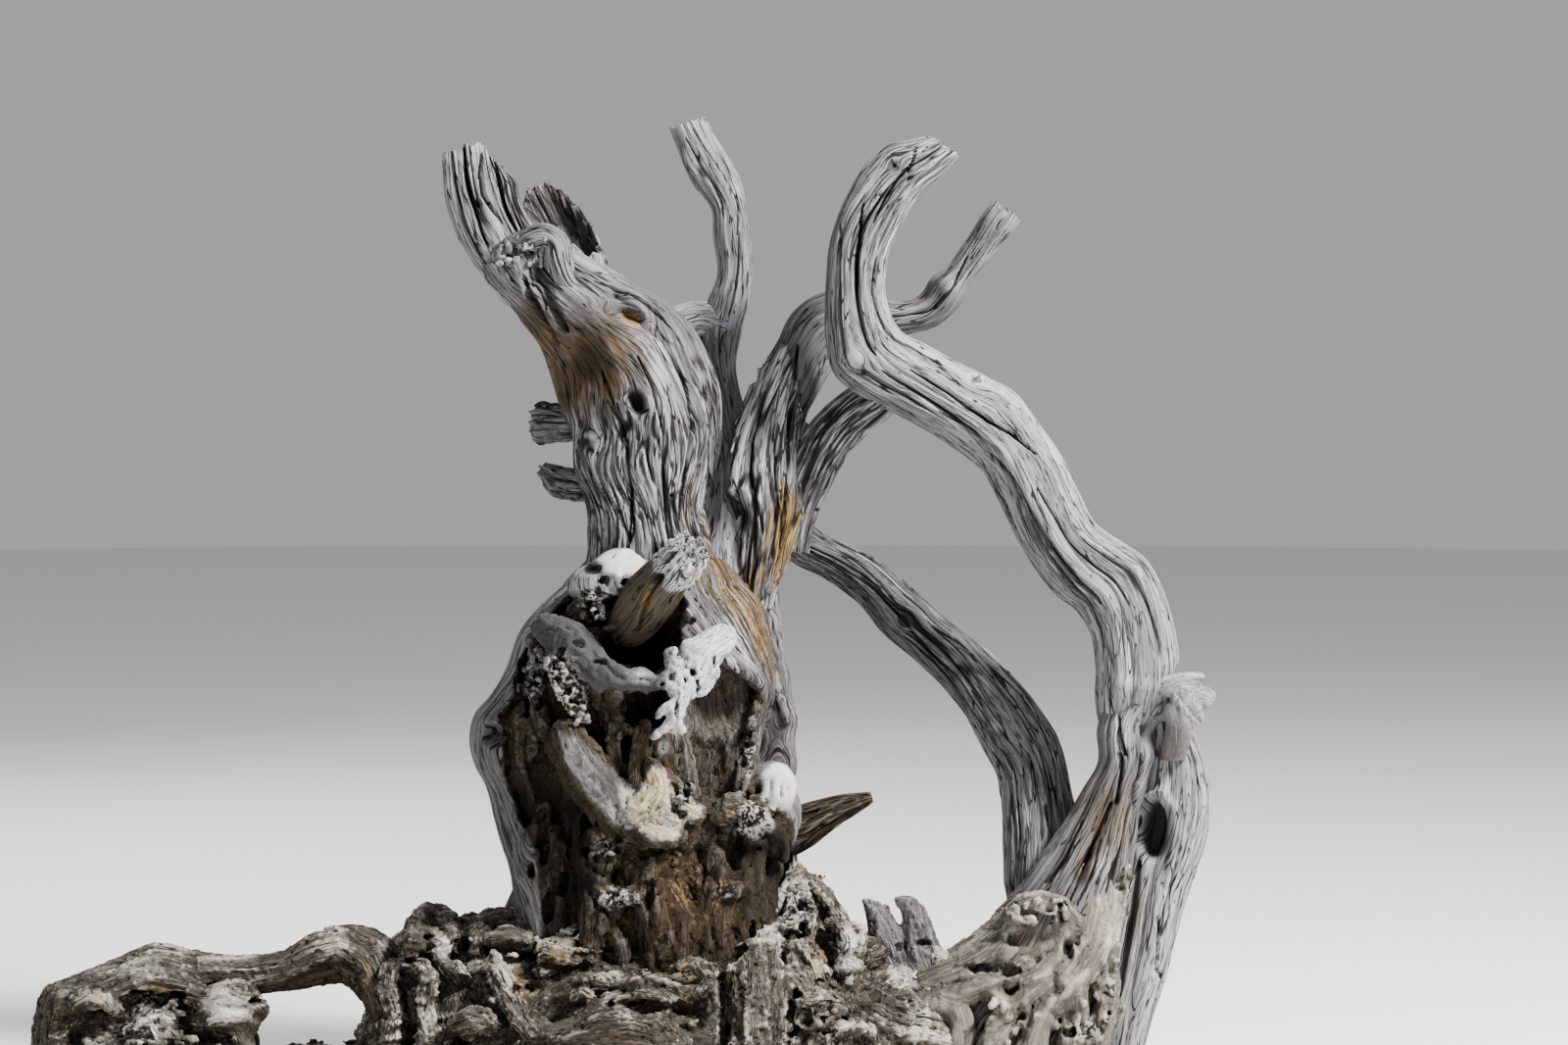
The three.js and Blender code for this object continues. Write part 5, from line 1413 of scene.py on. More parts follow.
    F.relief(crust)
    V, Q = F.surface()
    N = normals(V, Q)
    p, q, a, b, _ = H.local(V[:, 0], V[:, 1], V[:, 2])
    phi = np.arctan2(q / b, p / a)
    uu, vv, _ = front(V)
    ins = inside_of(uu, vv, HEART)
    heartm = sst(0, 4, ins) * sst(25, 0, V[:, 1])
    skin = 1 - heartm
    z = V[:, 2]
    zt, zb = P(0, 600, -100)[2], P(0, 700, -100)[2]
    right = sst(-2.2, -1.2, phi) * sst(0.6, -0.3, phi)
    lean = 0.85 * right * np.clip((zt - z) / (zt - zb), 0, 1) - 0.10 * np.sin((z - 250) / 75)
    lean = lean + 0.20 * noise(V[:, 0] / 90, V[:, 1] / 90, z / 150, 95)
    g = phi - lean
    cs, sn = np.cos(g), np.sin(g)
    gd = H.on_front
    guides += [[gd(*w) for w in line] for line in [
        [(590, 650, 30), (640, 660, 60), (700, 650, 30)], [(540, 650, 15), (535, 700, 18), (545, 740, 15)],
        [(735, 826, 5), (765, 836, 5), (795, 846, 5)], [(794, 780, 2), (798, 804, 0), (800, 830, 2)], [(600, 590, 0), (625, 583, 0), (652, 588, 0)]]]
    G, along, off, _ = near_guides(V, guides)
    G = flow_of(V, Q, N, G, 8)

    def hull_noise(size, length, seed):
        k = 150 / size
        return noise(cs * k + 5, sn * k + 9, z / length, seed)

    f1, f2, f3 = rounded(hull_noise(23, 300, 96), 0.3), rounded(hull_noise(8.5, 150, 97), 0.25), rounded(hull_noise(4.2, 90, 98), 0.3)
    st1 = rounded(streaks(V, G, 6.5, 99, 8), 0.3)
    st2 = rounded(streaks(V, G, 3.4, 100, 8), 0.3)
    fine = noise(V[:, 0] / 4.5, V[:, 1] / 4.5, V[:, 2] / 4.5, 101)
    pk = lambda u, v, ru, rv: patch(V, u, v, ru, rv, -90, 110)
    cr = np.clip(0.95 * pk(612, 620, 36, 22) + 0.9 * pk(545, 692, 22, 54) + 0.72 * pk(692, 822, 46, 44) + 1.0 * pk(768, 838, 38, 38) + 0.9 * pk(616, 866, 26, 24) + 0.9 * pk(626, 916, 42, 24) + 0.9 * pk(742, 908, 28, 18) + 0.8 * pk(764, 772, 16, 46) + 0.9 * pk(552, 642, 20, 14) + 0.8 * pk(604, 603, 34, 12) + 0.6 * pk(700, 640, 18, 26) + 0.3 * pk(560, 850, 40, 80), 0, 1) * sst(-2, 4, ins + 6 * pk(604, 603, 34, 14))
    calm = np.clip(1.6 * pk(632, 575, 40, 22) + 1.6 * pk(796, 804, 36, 44), 0, 1)
    worn = np.clip(0.75 + 1.1 * noise(V[:, 0] / 60, V[:, 1] / 60, z / 90, 102), 0.25, 1.2)
    d = (1 - 0.85 * calm) * skin * worn * (3.0 * (f1 - 0.75) + 2.0 * (f2 - 0.75) + 0.7 * (f3 - 0.7)) + heartm * (1.7 * (st1 - 0.7) + 0.8 * (st2 - 0.7)) + cr * 1.6 * fine
    flat = V[:, 2] <= F.lo[2] + 4
    V2 = V + N * d[:, None] * (~flat)[:, None]
    conv = ((V2 - smooth_of(V2, Q, 9)) * N).sum(1)
    broad = ((V2 - smooth_of(V2, Q, 40)) * N).sum(1)
    nz = 0.14 * noise(V[:, 0] / 7, V[:, 1] / 7, V[:, 2] / 7, 103)
    spot = lambda u, v, ru, rv: sst(1.14, 0.86, np.sqrt(((uu - u) / ru) ** 2 + ((vv - v) / rv) ** 2) + nz) * sst(10, -25, V[:, 1])
    seen = sst(25, 0, V[:, 1])
    within = lambda pts, soft=5: sst(-2, soft, inside_of(uu, vv, pts) + 14 * nz) * seen
    goldm = within([(700, 552), (730, 548), (756, 572), (776, 600), (794, 640), (800, 694), (784, 696), (768, 662), (746, 634), (724, 612), (704, 590)], 7) * skin
    bowl = np.clip(1.8 * pk(742, 748, 70, 130), 0, 1) * heartm
    flames = heartm * np.clip(1.7 * pk(705, 912, 110, 110), 0, 1) * sst(0.50, 0.82, st1) * sst(-0.10, 0.42, fbm(V[:, 0] / 26, V[:, 1] / 26, V[:, 2] / 60, 2, 105))
    mood = heartm * sst(0.0, 0.45, fbm(V[:, 0] / 42, V[:, 1] / 42, V[:, 2] / 60, 2, 104)) * (1 - bowl)
    band = pk(752, 650, 52, 74) * skin
    creamm = within([(628, 800), (650, 806), (664, 780), (678, 782), (690, 806), (716, 822), (718, 834), (700, 842), (694, 858), (664, 860), (640, 838)], 6)
    white = np.clip(1.15 * spot(634, 573, 24, 13) + 1.3 * pk(612, 600, 52, 24) + 1.15 * spot(795, 803, 18, 24) + 1.05 * creamm + 0.7 * pk(642, 916, 20, 12) + 0.9 * pk(552, 640, 16, 12) + 0.8 * pk(678, 763, 10, 16) + 0.6 * pk(690, 745, 16, 14), 0, 1.3)
    cream = creamm
    plank = within([(566, 742), (592, 750), (614, 774), (650, 800), (656, 852), (628, 846), (594, 812), (574, 778)], 6) * heartm
    lip = within([(564, 740), (572, 742), (590, 776), (614, 806), (646, 846), (638, 852), (604, 816), (576, 780)], 4) * heartm
    gold = np.clip(skin * (0.85 * goldm + 0.5 * pk(780, 645, 24, 60)) * (0.15 + 1.0 * f3) + 0.80 * creamm + 0.35 * spot(795, 805, 18, 24) + 0.75 * flames + 0.55 * pk(744, 828, 22, 16) + 0.6 * pk(616, 856, 20, 14) + 0.6 * pk(742, 906, 24, 12) + 0.5 * pk(620, 912, 24, 14) + heartm * 0.22 * pk(700, 905, 90, 70) + 0.35 * pk(524, 745, 14, 26) + 0.35 * pk(666, 790, 20, 16) + 0.35 * pk(575, 890, 30, 30), 0, 1)
    at = {
        # cav: painted shade in hollows and furrows; pal rises on bumps by the curvature, a painted highlight, over the
        # pale patches
        "cav": np.clip(sst(0.3, -2.4, conv) * 0.8 + skin * (0.45 * sst(0.45, 0.05, f2) + 0.3 * sst(0.4, 0.0, f1)) + heartm * 0.35 * sst(0.4, 0.0, st1), 0, 1.2),
        "pal": np.clip(white * (0.75 + 0.45 * sst(-0.6, 1.0, conv)) + heartm * 0.20 * sst(0.6, 2.6, conv) + 0.6 * band * (0.4 + 0.8 * f3) + 0.10 * skin + 0.30 * skin * pk(560, 640, 40, 50) + 0.20 * plank * (0.4 + 0.9 * st1) + 0.35 * lip + 0.16 * bowl, 0, 1.4),
        "brn": np.clip(heartm * (0.76 - 0.28 * sst(0.2, 1.8, conv)) * (1 - 0.85 * np.clip(white, 0, 1)) * (1 - 0.55 * plank) * (1 - 0.25 * bowl) + 0.2 * skin * sst(0.4, 0.0, f2) + 0.05 * cream, 0, 1.2),
        "och": np.clip(gold * (0.5 + 0.5 * sst(-1.2, 1.0, conv)), 0, 1.2),
        # drk: painted shade in broad hollows and in the mouth, a painted shadow on the left skin, and darker patches
        # over the heart
        "drk": np.clip(0.5 * mood + heartm * 0.9 * sst(-4, -18, broad) * (1 - 0.8 * np.clip(white, 0, 1)) + 0.72 * heartm * np.clip(1.7 * pk(560, 868, 92, 150), 0, 1) * (1 - plank) + 0.9 * heartm * pk(642, 664, 50, 24) + 0.55 * heartm * np.clip(1.6 * pk(782, 892, 62, 90), 0, 1) * (1 - np.clip(white, 0, 1)) + 0.22 * skin * pk(500, 760, 60, 260), 0, 1),
        "cru": np.clip(cr, 0, 1),
        "rgh": np.clip((skin * (0.35 + 0.8 * pk(756, 630, 80, 120)) + 0.10 * plank) * (1 - spot(634, 573, 30, 19)) * (1 - spot(795, 803, 25, 31)), 0, 1),
        "smo": np.clip(1.0 * spot(634, 573, 28, 17) + 1.0 * spot(795, 803, 22, 28) + 0.4 * creamm + 0.45 * plank + 0.3 * bowl, 0, 1),
        "gc": np.where(skin[:, None] > 0.5, np.stack([cs * 150, sn * 150, z], 1), np.stack([off[:, 0] + 0.6 * off[:, 1], off[:, 2] + 0.6 * off[:, 1], along], 1)) * 0.001,
    }
    return make("Burl", V2, Q, None, at)


def rooted(name, F, guides, seed, patches=(), gold=(), crusts=(), darks=(), smooth=(), amp=1.0, brown=0.55, lean=(0.5, 0.2, -1.0), top_light=1.0):
    """Surface, grain and colour of a craggy root body. Patches: (u, v, ru, rv, weight) in the front view."""
    V, Q = F.surface()
    N = normals(V, Q)
    G, along, off, _ = near_guides(V, guides)
    G = flow_of(V, Q, N, G, 10, lean)
    s1 = rounded(streaks(V, G, 8.0, seed + 1, 9), 0.3)
    s2 = rounded(streaks(V, G, 4.0, seed + 2, 9), 0.3)
    tone = fbm(V[:, 0] / 70, V[:, 1] / 70, V[:, 2] / 55, 3, seed + 4)
    total = lambda rows: sum((w * patch(V, u, v, ru, rv, -80, 110) for u, v, ru, rv, w in rows), np.zeros(len(V)))
    white, och, soft, dark = total(patches), total(gold), np.clip(total(smooth), 0, 1), np.clip(total(darks), 0, 1)
    # crusts where they are seen, and scattered ones where nothing is seen
    hidden = sst(-10, 50, V[:, 1])
    cru = np.clip(total(crusts) + hidden * 0.8 * sst(0.14, 0.36, fbm(V[:, 0] / 50, V[:, 1] / 50, V[:, 2] / 40, 3, seed + 6)), 0, 1)
    fine = noise(V[:, 0] / 5, V[:, 1] / 5, V[:, 2] / 5, seed + 3)
    d = amp * (1 - 0.45 * soft) * (2.8 * (s1 - 0.72) + 1.2 * (s2 - 0.7)) + cru * 1.8 * fine
    flat = V[:, 2] < 1.0
    d = np.where(flat, 0, d * sst(0, 7, V[:, 2]))
    V2 = V + N * d[:, None]
    V2[:, 2] = np.where(flat, V[:, 2], np.maximum(V2[:, 2], 0.2))
    conv = ((V2 - smooth_of(V2, Q, 10)) * N).sum(1)
    broad = ((V2 - smooth_of(V2, Q, 45)) * N).sum(1)
    # painted light: faces turned up get paler (lit_top), and bumps paler (edge), a painted highlight; hollows get
    # darker (cav, and drk from broad), painted shade
    lit_top = sst(-0.45, 0.75, N[:, 2] + 0.6 * tone)
    edge = sst(0.5, 2.8, conv)
    white = np.clip(white + top_light * 0.42 * lit_top * sst(-0.05, 0.4, tone), 0, 1.3)
    och = och + 0.35 * (1 - lit_top) * sst(0.05, 0.4, -tone)
    at = {
        "cav": np.clip(sst(0.2, -3.0, conv) * 0.85 + 0.40 * sst(0.45, 0, s1) + 0.15 * sst(0.4, 0, s2), 0, 1.2),
        "pal": np.clip(white * (0.6 + 0.6 * sst(-0.8, 1.2, conv)) + 0.45 * edge + 0.08 * lit_top, 0, 1.3),
        "brn": np.clip(brown * (1 - 0.6 * lit_top) * (1 - 0.4 * edge) * (1 - 0.7 * np.clip(white, 0, 1)) + 0.25 * tone, 0, 1.2),
        "och": np.clip(och * (0.4 + 0.6 * sst(-1.0, 1.2, conv)), 0, 1.1),
        "drk": np.clip((1.0 * sst(-2.5, -11.0, broad) + 0.8 * dark * sst(3, -4, broad) + 0.72 * np.clip(total(darks) - 1, 0, 1)) * (1 - 0.6 * np.clip(white - 0.4, 0, 1)), 0, 1),
        "cru": cru,
        "smo": 0.8 * soft,
        "gc": np.stack([off[:, 0] + 0.6 * off[:, 1], off[:, 2] + 0.6 * off[:, 1], along], 1) * 0.001,
    }
    return make(name, V2, Q, None, at)


def root_crown():
    H = Hull([[378, 1062, 378, 1140, -12, 1.3], [392, 990, 392, 1210, -12, 0.8], [420, 945, 420, 1250, -12, 0.72], [462, 942, 462, 1250, -14, 0.84], [505, 936, 505, 1262, -12, 0.94], [560, 930, 560, 1262, -8, 1], [625, 914, 625, 1270, -4, 1], [690, 910, 690, 1270, 2, 1.02], [750, 908, 750, 1270, 6, 1.04], [805, 908, 805, 1270, 8, 1], [850, 925, 850, 1262, 8, 0.96], [890, 945, 890, 1250, 4, 0.9], [940, 962, 940, 1240, -2, 0.86], [985, 985, 985, 1220, -6, 0.8], [1040, 1010, 1040, 1205, -8, 0.8], [1078, 1050, 1078, 1160, -8, 1]], "x")
    h = 2.8
    F = Field((-434, -186, -2 * h), (306, 196, 268), h)
    x, y, z = F.ax[0][:, None, None], F.ax[1][None, :, None], F.ax[2][None, None, :]
    F.D = H.dist(x, y, z, 16.0).astype(F4)
    S = H.on_front
    rs = np.random.RandomState(5)
    guides = []

    def on(xx, psi, lift):
        cy, cz = np.interp(xx, H.key, H.C[:, 1]), np.interp(xx, H.key, H.C[:, 2])
        a, b = np.interp(xx, H.key, H.a), np.interp(xx, H.key, H.b)
        return np.array([xx, cy - (b - 16 + lift) * math.sin(psi), cz + (a - 16 + lift) * math.cos(psi)])

    def run(x0, p0, dx, dp, r0, r1, lift0=2.0, lift1=2.0, wig=10.0, k=5.0):
        n = max(4, int(abs(dx) / 26 + abs(dp) / 0.28))
        ph = rs.rand(3) * 6.28
        pts = []
        for i in range(n + 1):
            t = i / n
            xx = x0 + dx * t + wig * 0.9 * math.sin(ph[0] + 5.5 * t)
            pp = p0 + dp * t + wig * 0.006 * math.sin(ph[1] + 6.5 * t)
            li = lift0 + (lift1 - lift0) * t + 3 * math.sin(ph[2] + 7 * t)
            r = r0 + (r1 - r0) * t
            pts.append((*on(min(max(xx, -418), 278), pp, li), r * (1 + 0.12 * math.sin(9 * t + ph[0]))))
        F.strand(pts, k, smooth=2)
        guides.append([p[:3] for p in pts])

    # roots that fan out: behind, over the top and low down in front
    for i in range(24):
        x0 = rs.uniform(-190, 190)
        run(x0, -rs.uniform(0.1, 0.7), (x0 / 170 + rs.uniform(-0.5, 0.5)) * rs.uniform(80, 190), -rs.uniform(0.6, 1.1), rs.uniform(15, 25), rs.uniform(9, 14), lift0=rs.uniform(-2, 7), lift1=rs.uniform(-2, 8))
    for i in range(20):
        run(rs.uniform(-400, 240), -rs.uniform(0.1, 1.5), rs.uniform(60, 170) * rs.choice([-1, 1]), -rs.uniform(-0.3, 0.5), rs.uniform(10, 19), rs.uniform(6, 11), lift0=rs.uniform(0, 8))
    for i in range(12):
        run(rs.uniform(-400, 250), rs.uniform(0.0, 0.5), rs.uniform(60, 150) * rs.choice([-1, 1]), rs.uniform(-0.1, 0.25), rs.uniform(10, 16), rs.uniform(6, 11), lift0=rs.uniform(0, 6))
    for i in range(26):
        run(rs.uniform(-405, 265), rs.uniform(1.0, 1.35), rs.uniform(-70, 70), rs.uniform(0.15, 0.5), rs.uniform(12, 20), rs.uniform(8, 14), lift0=rs.uniform(2, 8))

    def st(pts, k=4.0, squash=None, keep=True):
        q = [(*S(u, v, i), r) for u, v, i, r in pts]
        F.strand(q, k, squash=squash)
        if keep:
            guides.append([p[:3] for p in q])

    # left shoulder: two rounded lumps, a pale fibrous shelf, a rough column and dark pockets between
    st([(424, 962, 4, 14), (428, 944, 14, 15), (443, 938, 20, 16), (460, 948, 16, 14), (466, 964, 6, 11)], 5)
    st([(486, 962, 6, 12), (494, 946, 12, 13), (512, 942, 14, 15), (532, 946, 12, 14), (545, 960, 6, 11)], 5)
    st([(500, 958, 2, 10), (520, 956, 0, 12), (538, 962, 0, 10)], 4)
    for i, (dv, r) in enumerate(((0, 8), (9, 8), (18, 7), (27, 7), (36, 6))):
        st([(540 + i * 3, 944 + dv, 6 - i, r), (556, 940 + dv, 0, r), (576, 944 + dv * 0.95, -2, r), (592, 948 + dv * 0.9, 2, r * 0.9), (602, 956 + dv * 0.7, 8, r * 0.7)], 2.5)
    st([(440, 952, 2, 7), (450, 962, -2, 8), (462, 974, 0, 7)], 3)
    st([(434, 962, 4, 6), (446, 972, 0, 7), (458, 984, 2, 6)], 3)
    st([(504, 976, 2, 8), (510, 992, -4, 11), (520, 1014, -4, 12), (530, 1038, -2, 12), (548, 1056, 0, 12), (575, 1064, 0, 12)], 4)
    st([(516, 984, -6, 5), (526, 984, -10, 3.6), (536, 980, -13, 1.8)], 2)
    st([(466, 1046, 4, 11), (484, 1040, -4, 14), (502, 1046, 2, 10)], 4)
    st([(430, 985, 2, 9), (438, 1005, -2, 11), (434, 1028, 2, 10), (440, 1060, 2, 12)], 4)
    st([(400, 985, 8, 10), (396, 1010, 4, 12), (404, 1040, 4, 12), (400, 1066, 4, 13)], 4)
    st([(460, 985, 6, 9), (474, 1000, 4, 9), (478, 1022, 8, 8)], 4)
    # the layered ledges below the burl
    st([(584, 1004, 4, 7), (604, 998, -5, 9), (628, 1000, -6, 10), (650, 1008, 2, 8)], 3)
    for i, (dv, r, ii) in enumerate(((0, 8, 0), (9, 8, -4), (18, 8, -7), (27, 9, -8), (37, 10, -6), (48, 10, -3))):
        st([(546 + i * 2, 1046 + dv * 0.35, 6, r), (566, 1052 + dv * 0.3, ii, r), (590, 1040 + dv * 0.5, ii, r), (614, 1022 + dv * 0.8, ii - 2, r), (640, 1014 + dv, ii, r), (668, 1020 + dv, ii + 3, r), (696, 1036 + dv * 0.9, 6, r * 0.8)], 2.5)
    st([(584, 1020, -4, 7), (594, 1012, -8, 6), (604, 1020, -8, 6), (600, 1032, -6, 5)], 2.5)
    for pts in ([(622, 996, 2, 8), (642, 1002, -6, 9), (664, 1000, -8, 9), (684, 1006, -4, 9), (700, 1016, 0, 8)],
                [(640, 1012, 0, 8), (660, 1014, -8, 9), (682, 1018, -8, 9), (700, 1030, -2, 9), (712, 1046, 2, 8)],
                [(684, 996, 0, 7), (696, 986, -6, 8), (712, 986, -8, 9), (722, 998, -6, 9), (716, 1012, -4, 8), (700, 1010, -2, 6)],
                [(724, 988, 0, 7), (732, 1004, -3, 8), (734, 1024, 0, 7)],
                [(636, 1034, 0, 7), (656, 1038, -5, 8), (676, 1046, -4, 8), (690, 1062, 0, 8)]):
        st(pts, 2.5)
    # a dark slab with upright grain and a pale edge
    for u0, r, i in ((748, 10, 8), (762, 11, 3), (777, 11, 1), (790, 9, 3)):
        st([(u0 - 4, 958, i + 8, r), (u0, 985, i, r), (u0 + 2, 1020, i - 2, r), (u0 + 3, 1064, i - 2, r), (u0, 1120, i, r)], 2.5)
    st([(799, 1012, 0, 4), (802, 1030, -5, 6), (804, 1052, -6, 6), (802, 1084, -2, 7)], 2.5)
    # the crusty peak on the right, with pale strands that run up to it
    F.strand([(*P(813, 886, -20), 7), (*P(817, 898, -20), 12), (*P(824, 915, -20), 20), (*P(834, 948, -12), 33), (*P(842, 1000, 0), 48)], 6)
    pk = [(813, 884), (817, 890)]
    for pts in ([(812, 884, -24, 4.5), (802, 902, -38, 6), (792, 922, -56, 7), (776, 942, -74, 8), (760, 960, -88, 9)],
                [(814, 888, -28, 4), (812, 908, -44, 6), (806, 930, -62, 7), (796, 948, -78, 8), (784, 968, -92, 8)],
                [(816, 888, -26, 4), (822, 906, -42, 6), (828, 928, -56, 7), (826, 952, -74, 8), (818, 975, -88, 8)],
                [(818, 890, -22, 4), (834, 908, -36, 6), (848, 928, -46, 7), (858, 946, -56, 7)],
                [(768, 958, -88, 6), (784, 950, -84, 7), (802, 942, -78, 7), (820, 934, -70, 6)],
                [(800, 964, -90, 6), (806, 985, -98, 8), (820, 1004, -102, 9), (830, 1030, -104, 9)]):
        F.strand([(*P(u, v, yy), r) for u, v, yy, r in pts], 2.5)
        guides.append([P(u, v, yy) for u, v, yy, r in pts])
    for u0, v0, u1, v1 in ((812, 958, 838, 1004), (819, 956, 846, 1012), (828, 962, 853, 1006)):
        F.strand([(*P(u0, v0, -84), 2.6), (*P((u0 + u1) / 2, (v0 + v1) / 2 - 3, -98), 3.6), (*P(u1, v1, -104), 2.4)], 2)
        guides.append([P(u0, v0, -84), P(u1, v1, -104)])
    for pts in ([(846, 940, -62, 6), (860, 948, -74, 9), (866, 964, -82, 10), (858, 980, -84, 7)], [(868, 944, -60, 5), (878, 952, -66, 8), (876, 970, -76, 8)],
                [(852, 994, -84, 7), (866, 984, -90, 10), (876, 990, -88, 8), (866, 1002, -92, 7)]):
        F.strand([(*P(u, v, yy), r) for u, v, yy, r in pts], 2.5)
        guides.append([P(u, v, yy) for u, v, yy, r in pts])
    st([(806, 1010, 4, 8), (822, 1022, 0, 9), (840, 1018, 0, 9), (858, 1026, 2, 8)], 3)
    st([(812, 1036, 2, 9), (830, 1044, -2, 9), (846, 1040, 2, 7)], 3)
    st([(844, 1068, -2, 6), (854, 1052, -9, 7), (872, 1046, -12, 7.5), (888, 1054, -9, 7), (896, 1072, -2, 7)], 2.5)
    # the right end runs out towards the limb's foot
    st([(884, 978, 14, 11), (910, 964, 18, 11), (938, 968, 14, 11), (966, 986, 8, 13)], 5)
    st([(880, 1040, 10, 11), (905, 1052, 4, 12), (935, 1060, 2, 13), (970, 1068, 2, 14)], 4)
    # a wing-shaped chip
    F.strand([(*P(902, 986, -80), 3), (*P(911, 992, -88), 6.5), (*P(922, 997, -90), 7)], 2.5)
    F.strand([(*P(943, 1006, -80), 3), (*P(938, 993, -88), 6.5), (*P(928, 989, -90), 7), (*P(920, 996, -90), 7)], 2.5)
    F.strand([(*P(908, 1003, -82), 2.5), (*P(914, 996, -88), 5)], 2)
    # pockets: where they are seen, then where nothing is seen
    for u, v, i, rx, ry, rz in [(690, 948, 0, 78, 40, 20), (620, 984, 2, 34, 22, 9), (568, 1012, -2, 15, 20, 15), (540, 1000, 0, 12, 16, 18), (478, 1010, 0, 18, 18, 16), (462, 1030, 0, 12, 14, 12), (740, 968, 2, 22, 26, 16), (742, 1030, -4, 7, 18, 40), (640, 1028, -10, 14, 12, 5), (664, 1030, -10, 12, 10, 4), (700, 1030, 0, 12, 14, 8), (722, 1050, 0, 12, 16, 18), (890, 1010, -2, 20, 24, 22), (922, 1030, -2, 24, 22, 18), (842, 968, -4, 7, 12, 12), (800, 912, -60, 5, 10, 14), (470, 968, 2, 8, 16, 12), (416, 990, 0, 8, 16, 20), (418, 1045, 0, 8, 14, 22), (880, 1030, -4, 10, 14, 8), (820, 1060, -4, 14, 12, 8), (520, 1056, -2, 12, 12, 8)]:
        F.ball(S(u, v, i), (rx, ry, rz), 4, cut=True, rough=4, seed=int(u + v))
    for i in range(70):
        front_too = i > 46
        c = on(rs.uniform(-395, 255), rs.uniform(0.9, 1.5) if front_too else -rs.uniform(0, 1.7), rs.uniform(4, 16))
        F.ball(c, rs.uniform(7, 20, 3) * (0.6 if front_too else 1), 4, cut=True, rough=4, seed=200 + i)
    for cu, cv, ru, rv, n in ((570, 955, 32, 20, 18), (516, 1005, 16, 34, 16), (815, 925, 40, 40, 40), (830, 1035, 34, 26, 22), (690, 1005, 50, 26, 20), (450, 970, 20, 20, 10)):
        for _ in range(n):
            a, q = rs.rand() * 6.28, math.sqrt(rs.rand())
            F.ball(S(cu + ru * q * math.cos(a), cv + rv * q * math.sin(a), rs.uniform(-8, 8)), rs.uniform(3, 7, 3), 2.5, cut=rs.rand() < 0.7, rough=1.5, seed=int(rs.randint(9999)))

    def crags(p):
        w = 16 * noise(p[:, 0] / 75, p[:, 1] / 75, p[:, 2] / 75, 131)
        w2 = 16 * noise(p[:, 0] / 75, p[:, 1] / 75, p[:, 2] / 75, 134)
        lay = rounded(noise((p[:, 0] + w) / 62, (p[:, 1] + w2) / 40, (p[:, 2] - w + w2) / 15, 132), 0.3)
        upr = rounded(noise((p[:, 0] + w) / 15, (p[:, 1] + w2) / 20, (p[:, 2] - w) / 60, 133), 0.3)
        m = sst(-0.25, 0.25, noise(p[:, 0] / 110, p[:, 1] / 110, p[:, 2] / 110, 135) + 0.25 * np.tanh((p[:, 0] - 90) / 60))
        fine = rounded(noise((p[:, 0] + w) / 22, (p[:, 1] + w2) / 18, (p[:, 2] + w2) / 8, 136), 0.3)
        hide = sst(-30, 40, p[:, 1])
        return -((4.2 + 2.0 * hide) * ((1 - m) * lay + m * upr - 0.66) + 1.8 * (fine - 0.66)) * sst(-4, 14, p[:, 2])

    F.relief(crags)
    F.ground()
    return rooted("Root_Crown", F, guides, 300,
                  patches=[(570, 954, 40, 26, 1.1), (452, 966, 18, 18, 0.8), (514, 1002, 20, 44, 0.9), (532, 982, 12, 8, 1.0), (616, 1002, 44, 14, 1.3), (620, 1036, 96, 32, 0.55), (692, 1002, 56, 30, 0.55), (802, 1044, 8, 40, 1.2), (814, 915, 40, 50, 0.6), (784, 952, 30, 16, 0.8), (835, 990, 22, 30, 0.6), (866, 962, 24, 26, 1.0), (866, 992, 20, 16, 1.0), (840, 1024, 30, 20, 0.6), (872, 1052, 30, 16, 1.0), (923, 996, 28, 18, 1.5), (484, 1044, 26, 16, 0.4), (560, 1058, 30, 14, 0.5), (960, 1030, 40, 40, 0.35)],
                  gold=[(835, 985, 34, 44, 0.9), (690, 1010, 80, 50, 1.1), (572, 970, 44, 30, 1.0), (524, 1010, 34, 54, 1.2), (640, 1050, 90, 44, 0.9), (690, 970, 90, 34, 0.9), (410, 1020, 30, 50, 0.35), (484, 1040, 36, 24, 0.4), (860, 1040, 60, 30, 0.35)],
                  crusts=[(575, 955, 34, 24, 0.42), (516, 1005, 18, 40, 0.45), (815, 920, 50, 56, 0.85), (835, 1038, 44, 30, 0.8), (700, 1008, 52, 28, 0.42), (480, 980, 40, 26, 0.6), (770, 965, 30, 20, 0.6), (450, 1010, 30, 40, 0.4), (660, 1050, 40, 20, 0.5)],
                  darks=[(772, 1030, 62, 150, 2.2), (690, 950, 110, 34, 1.3), (470, 1015, 40, 40, 0.6), (568, 1012, 24, 22, 0.9), (900, 1022, 50, 40, 0.7), (728, 1040, 16, 40, 0.9), (415, 1010, 40, 50, 0.4)],
                  smooth=[(442, 945, 28, 20, 0.9), (515, 950, 34, 16, 0.9), (616, 1002, 40, 12, 0.9), (484, 1044, 26, 16, 0.9), (772, 1030, 30, 60, 0.4), (872, 1052, 30, 14, 0.9)], amp=1.1)


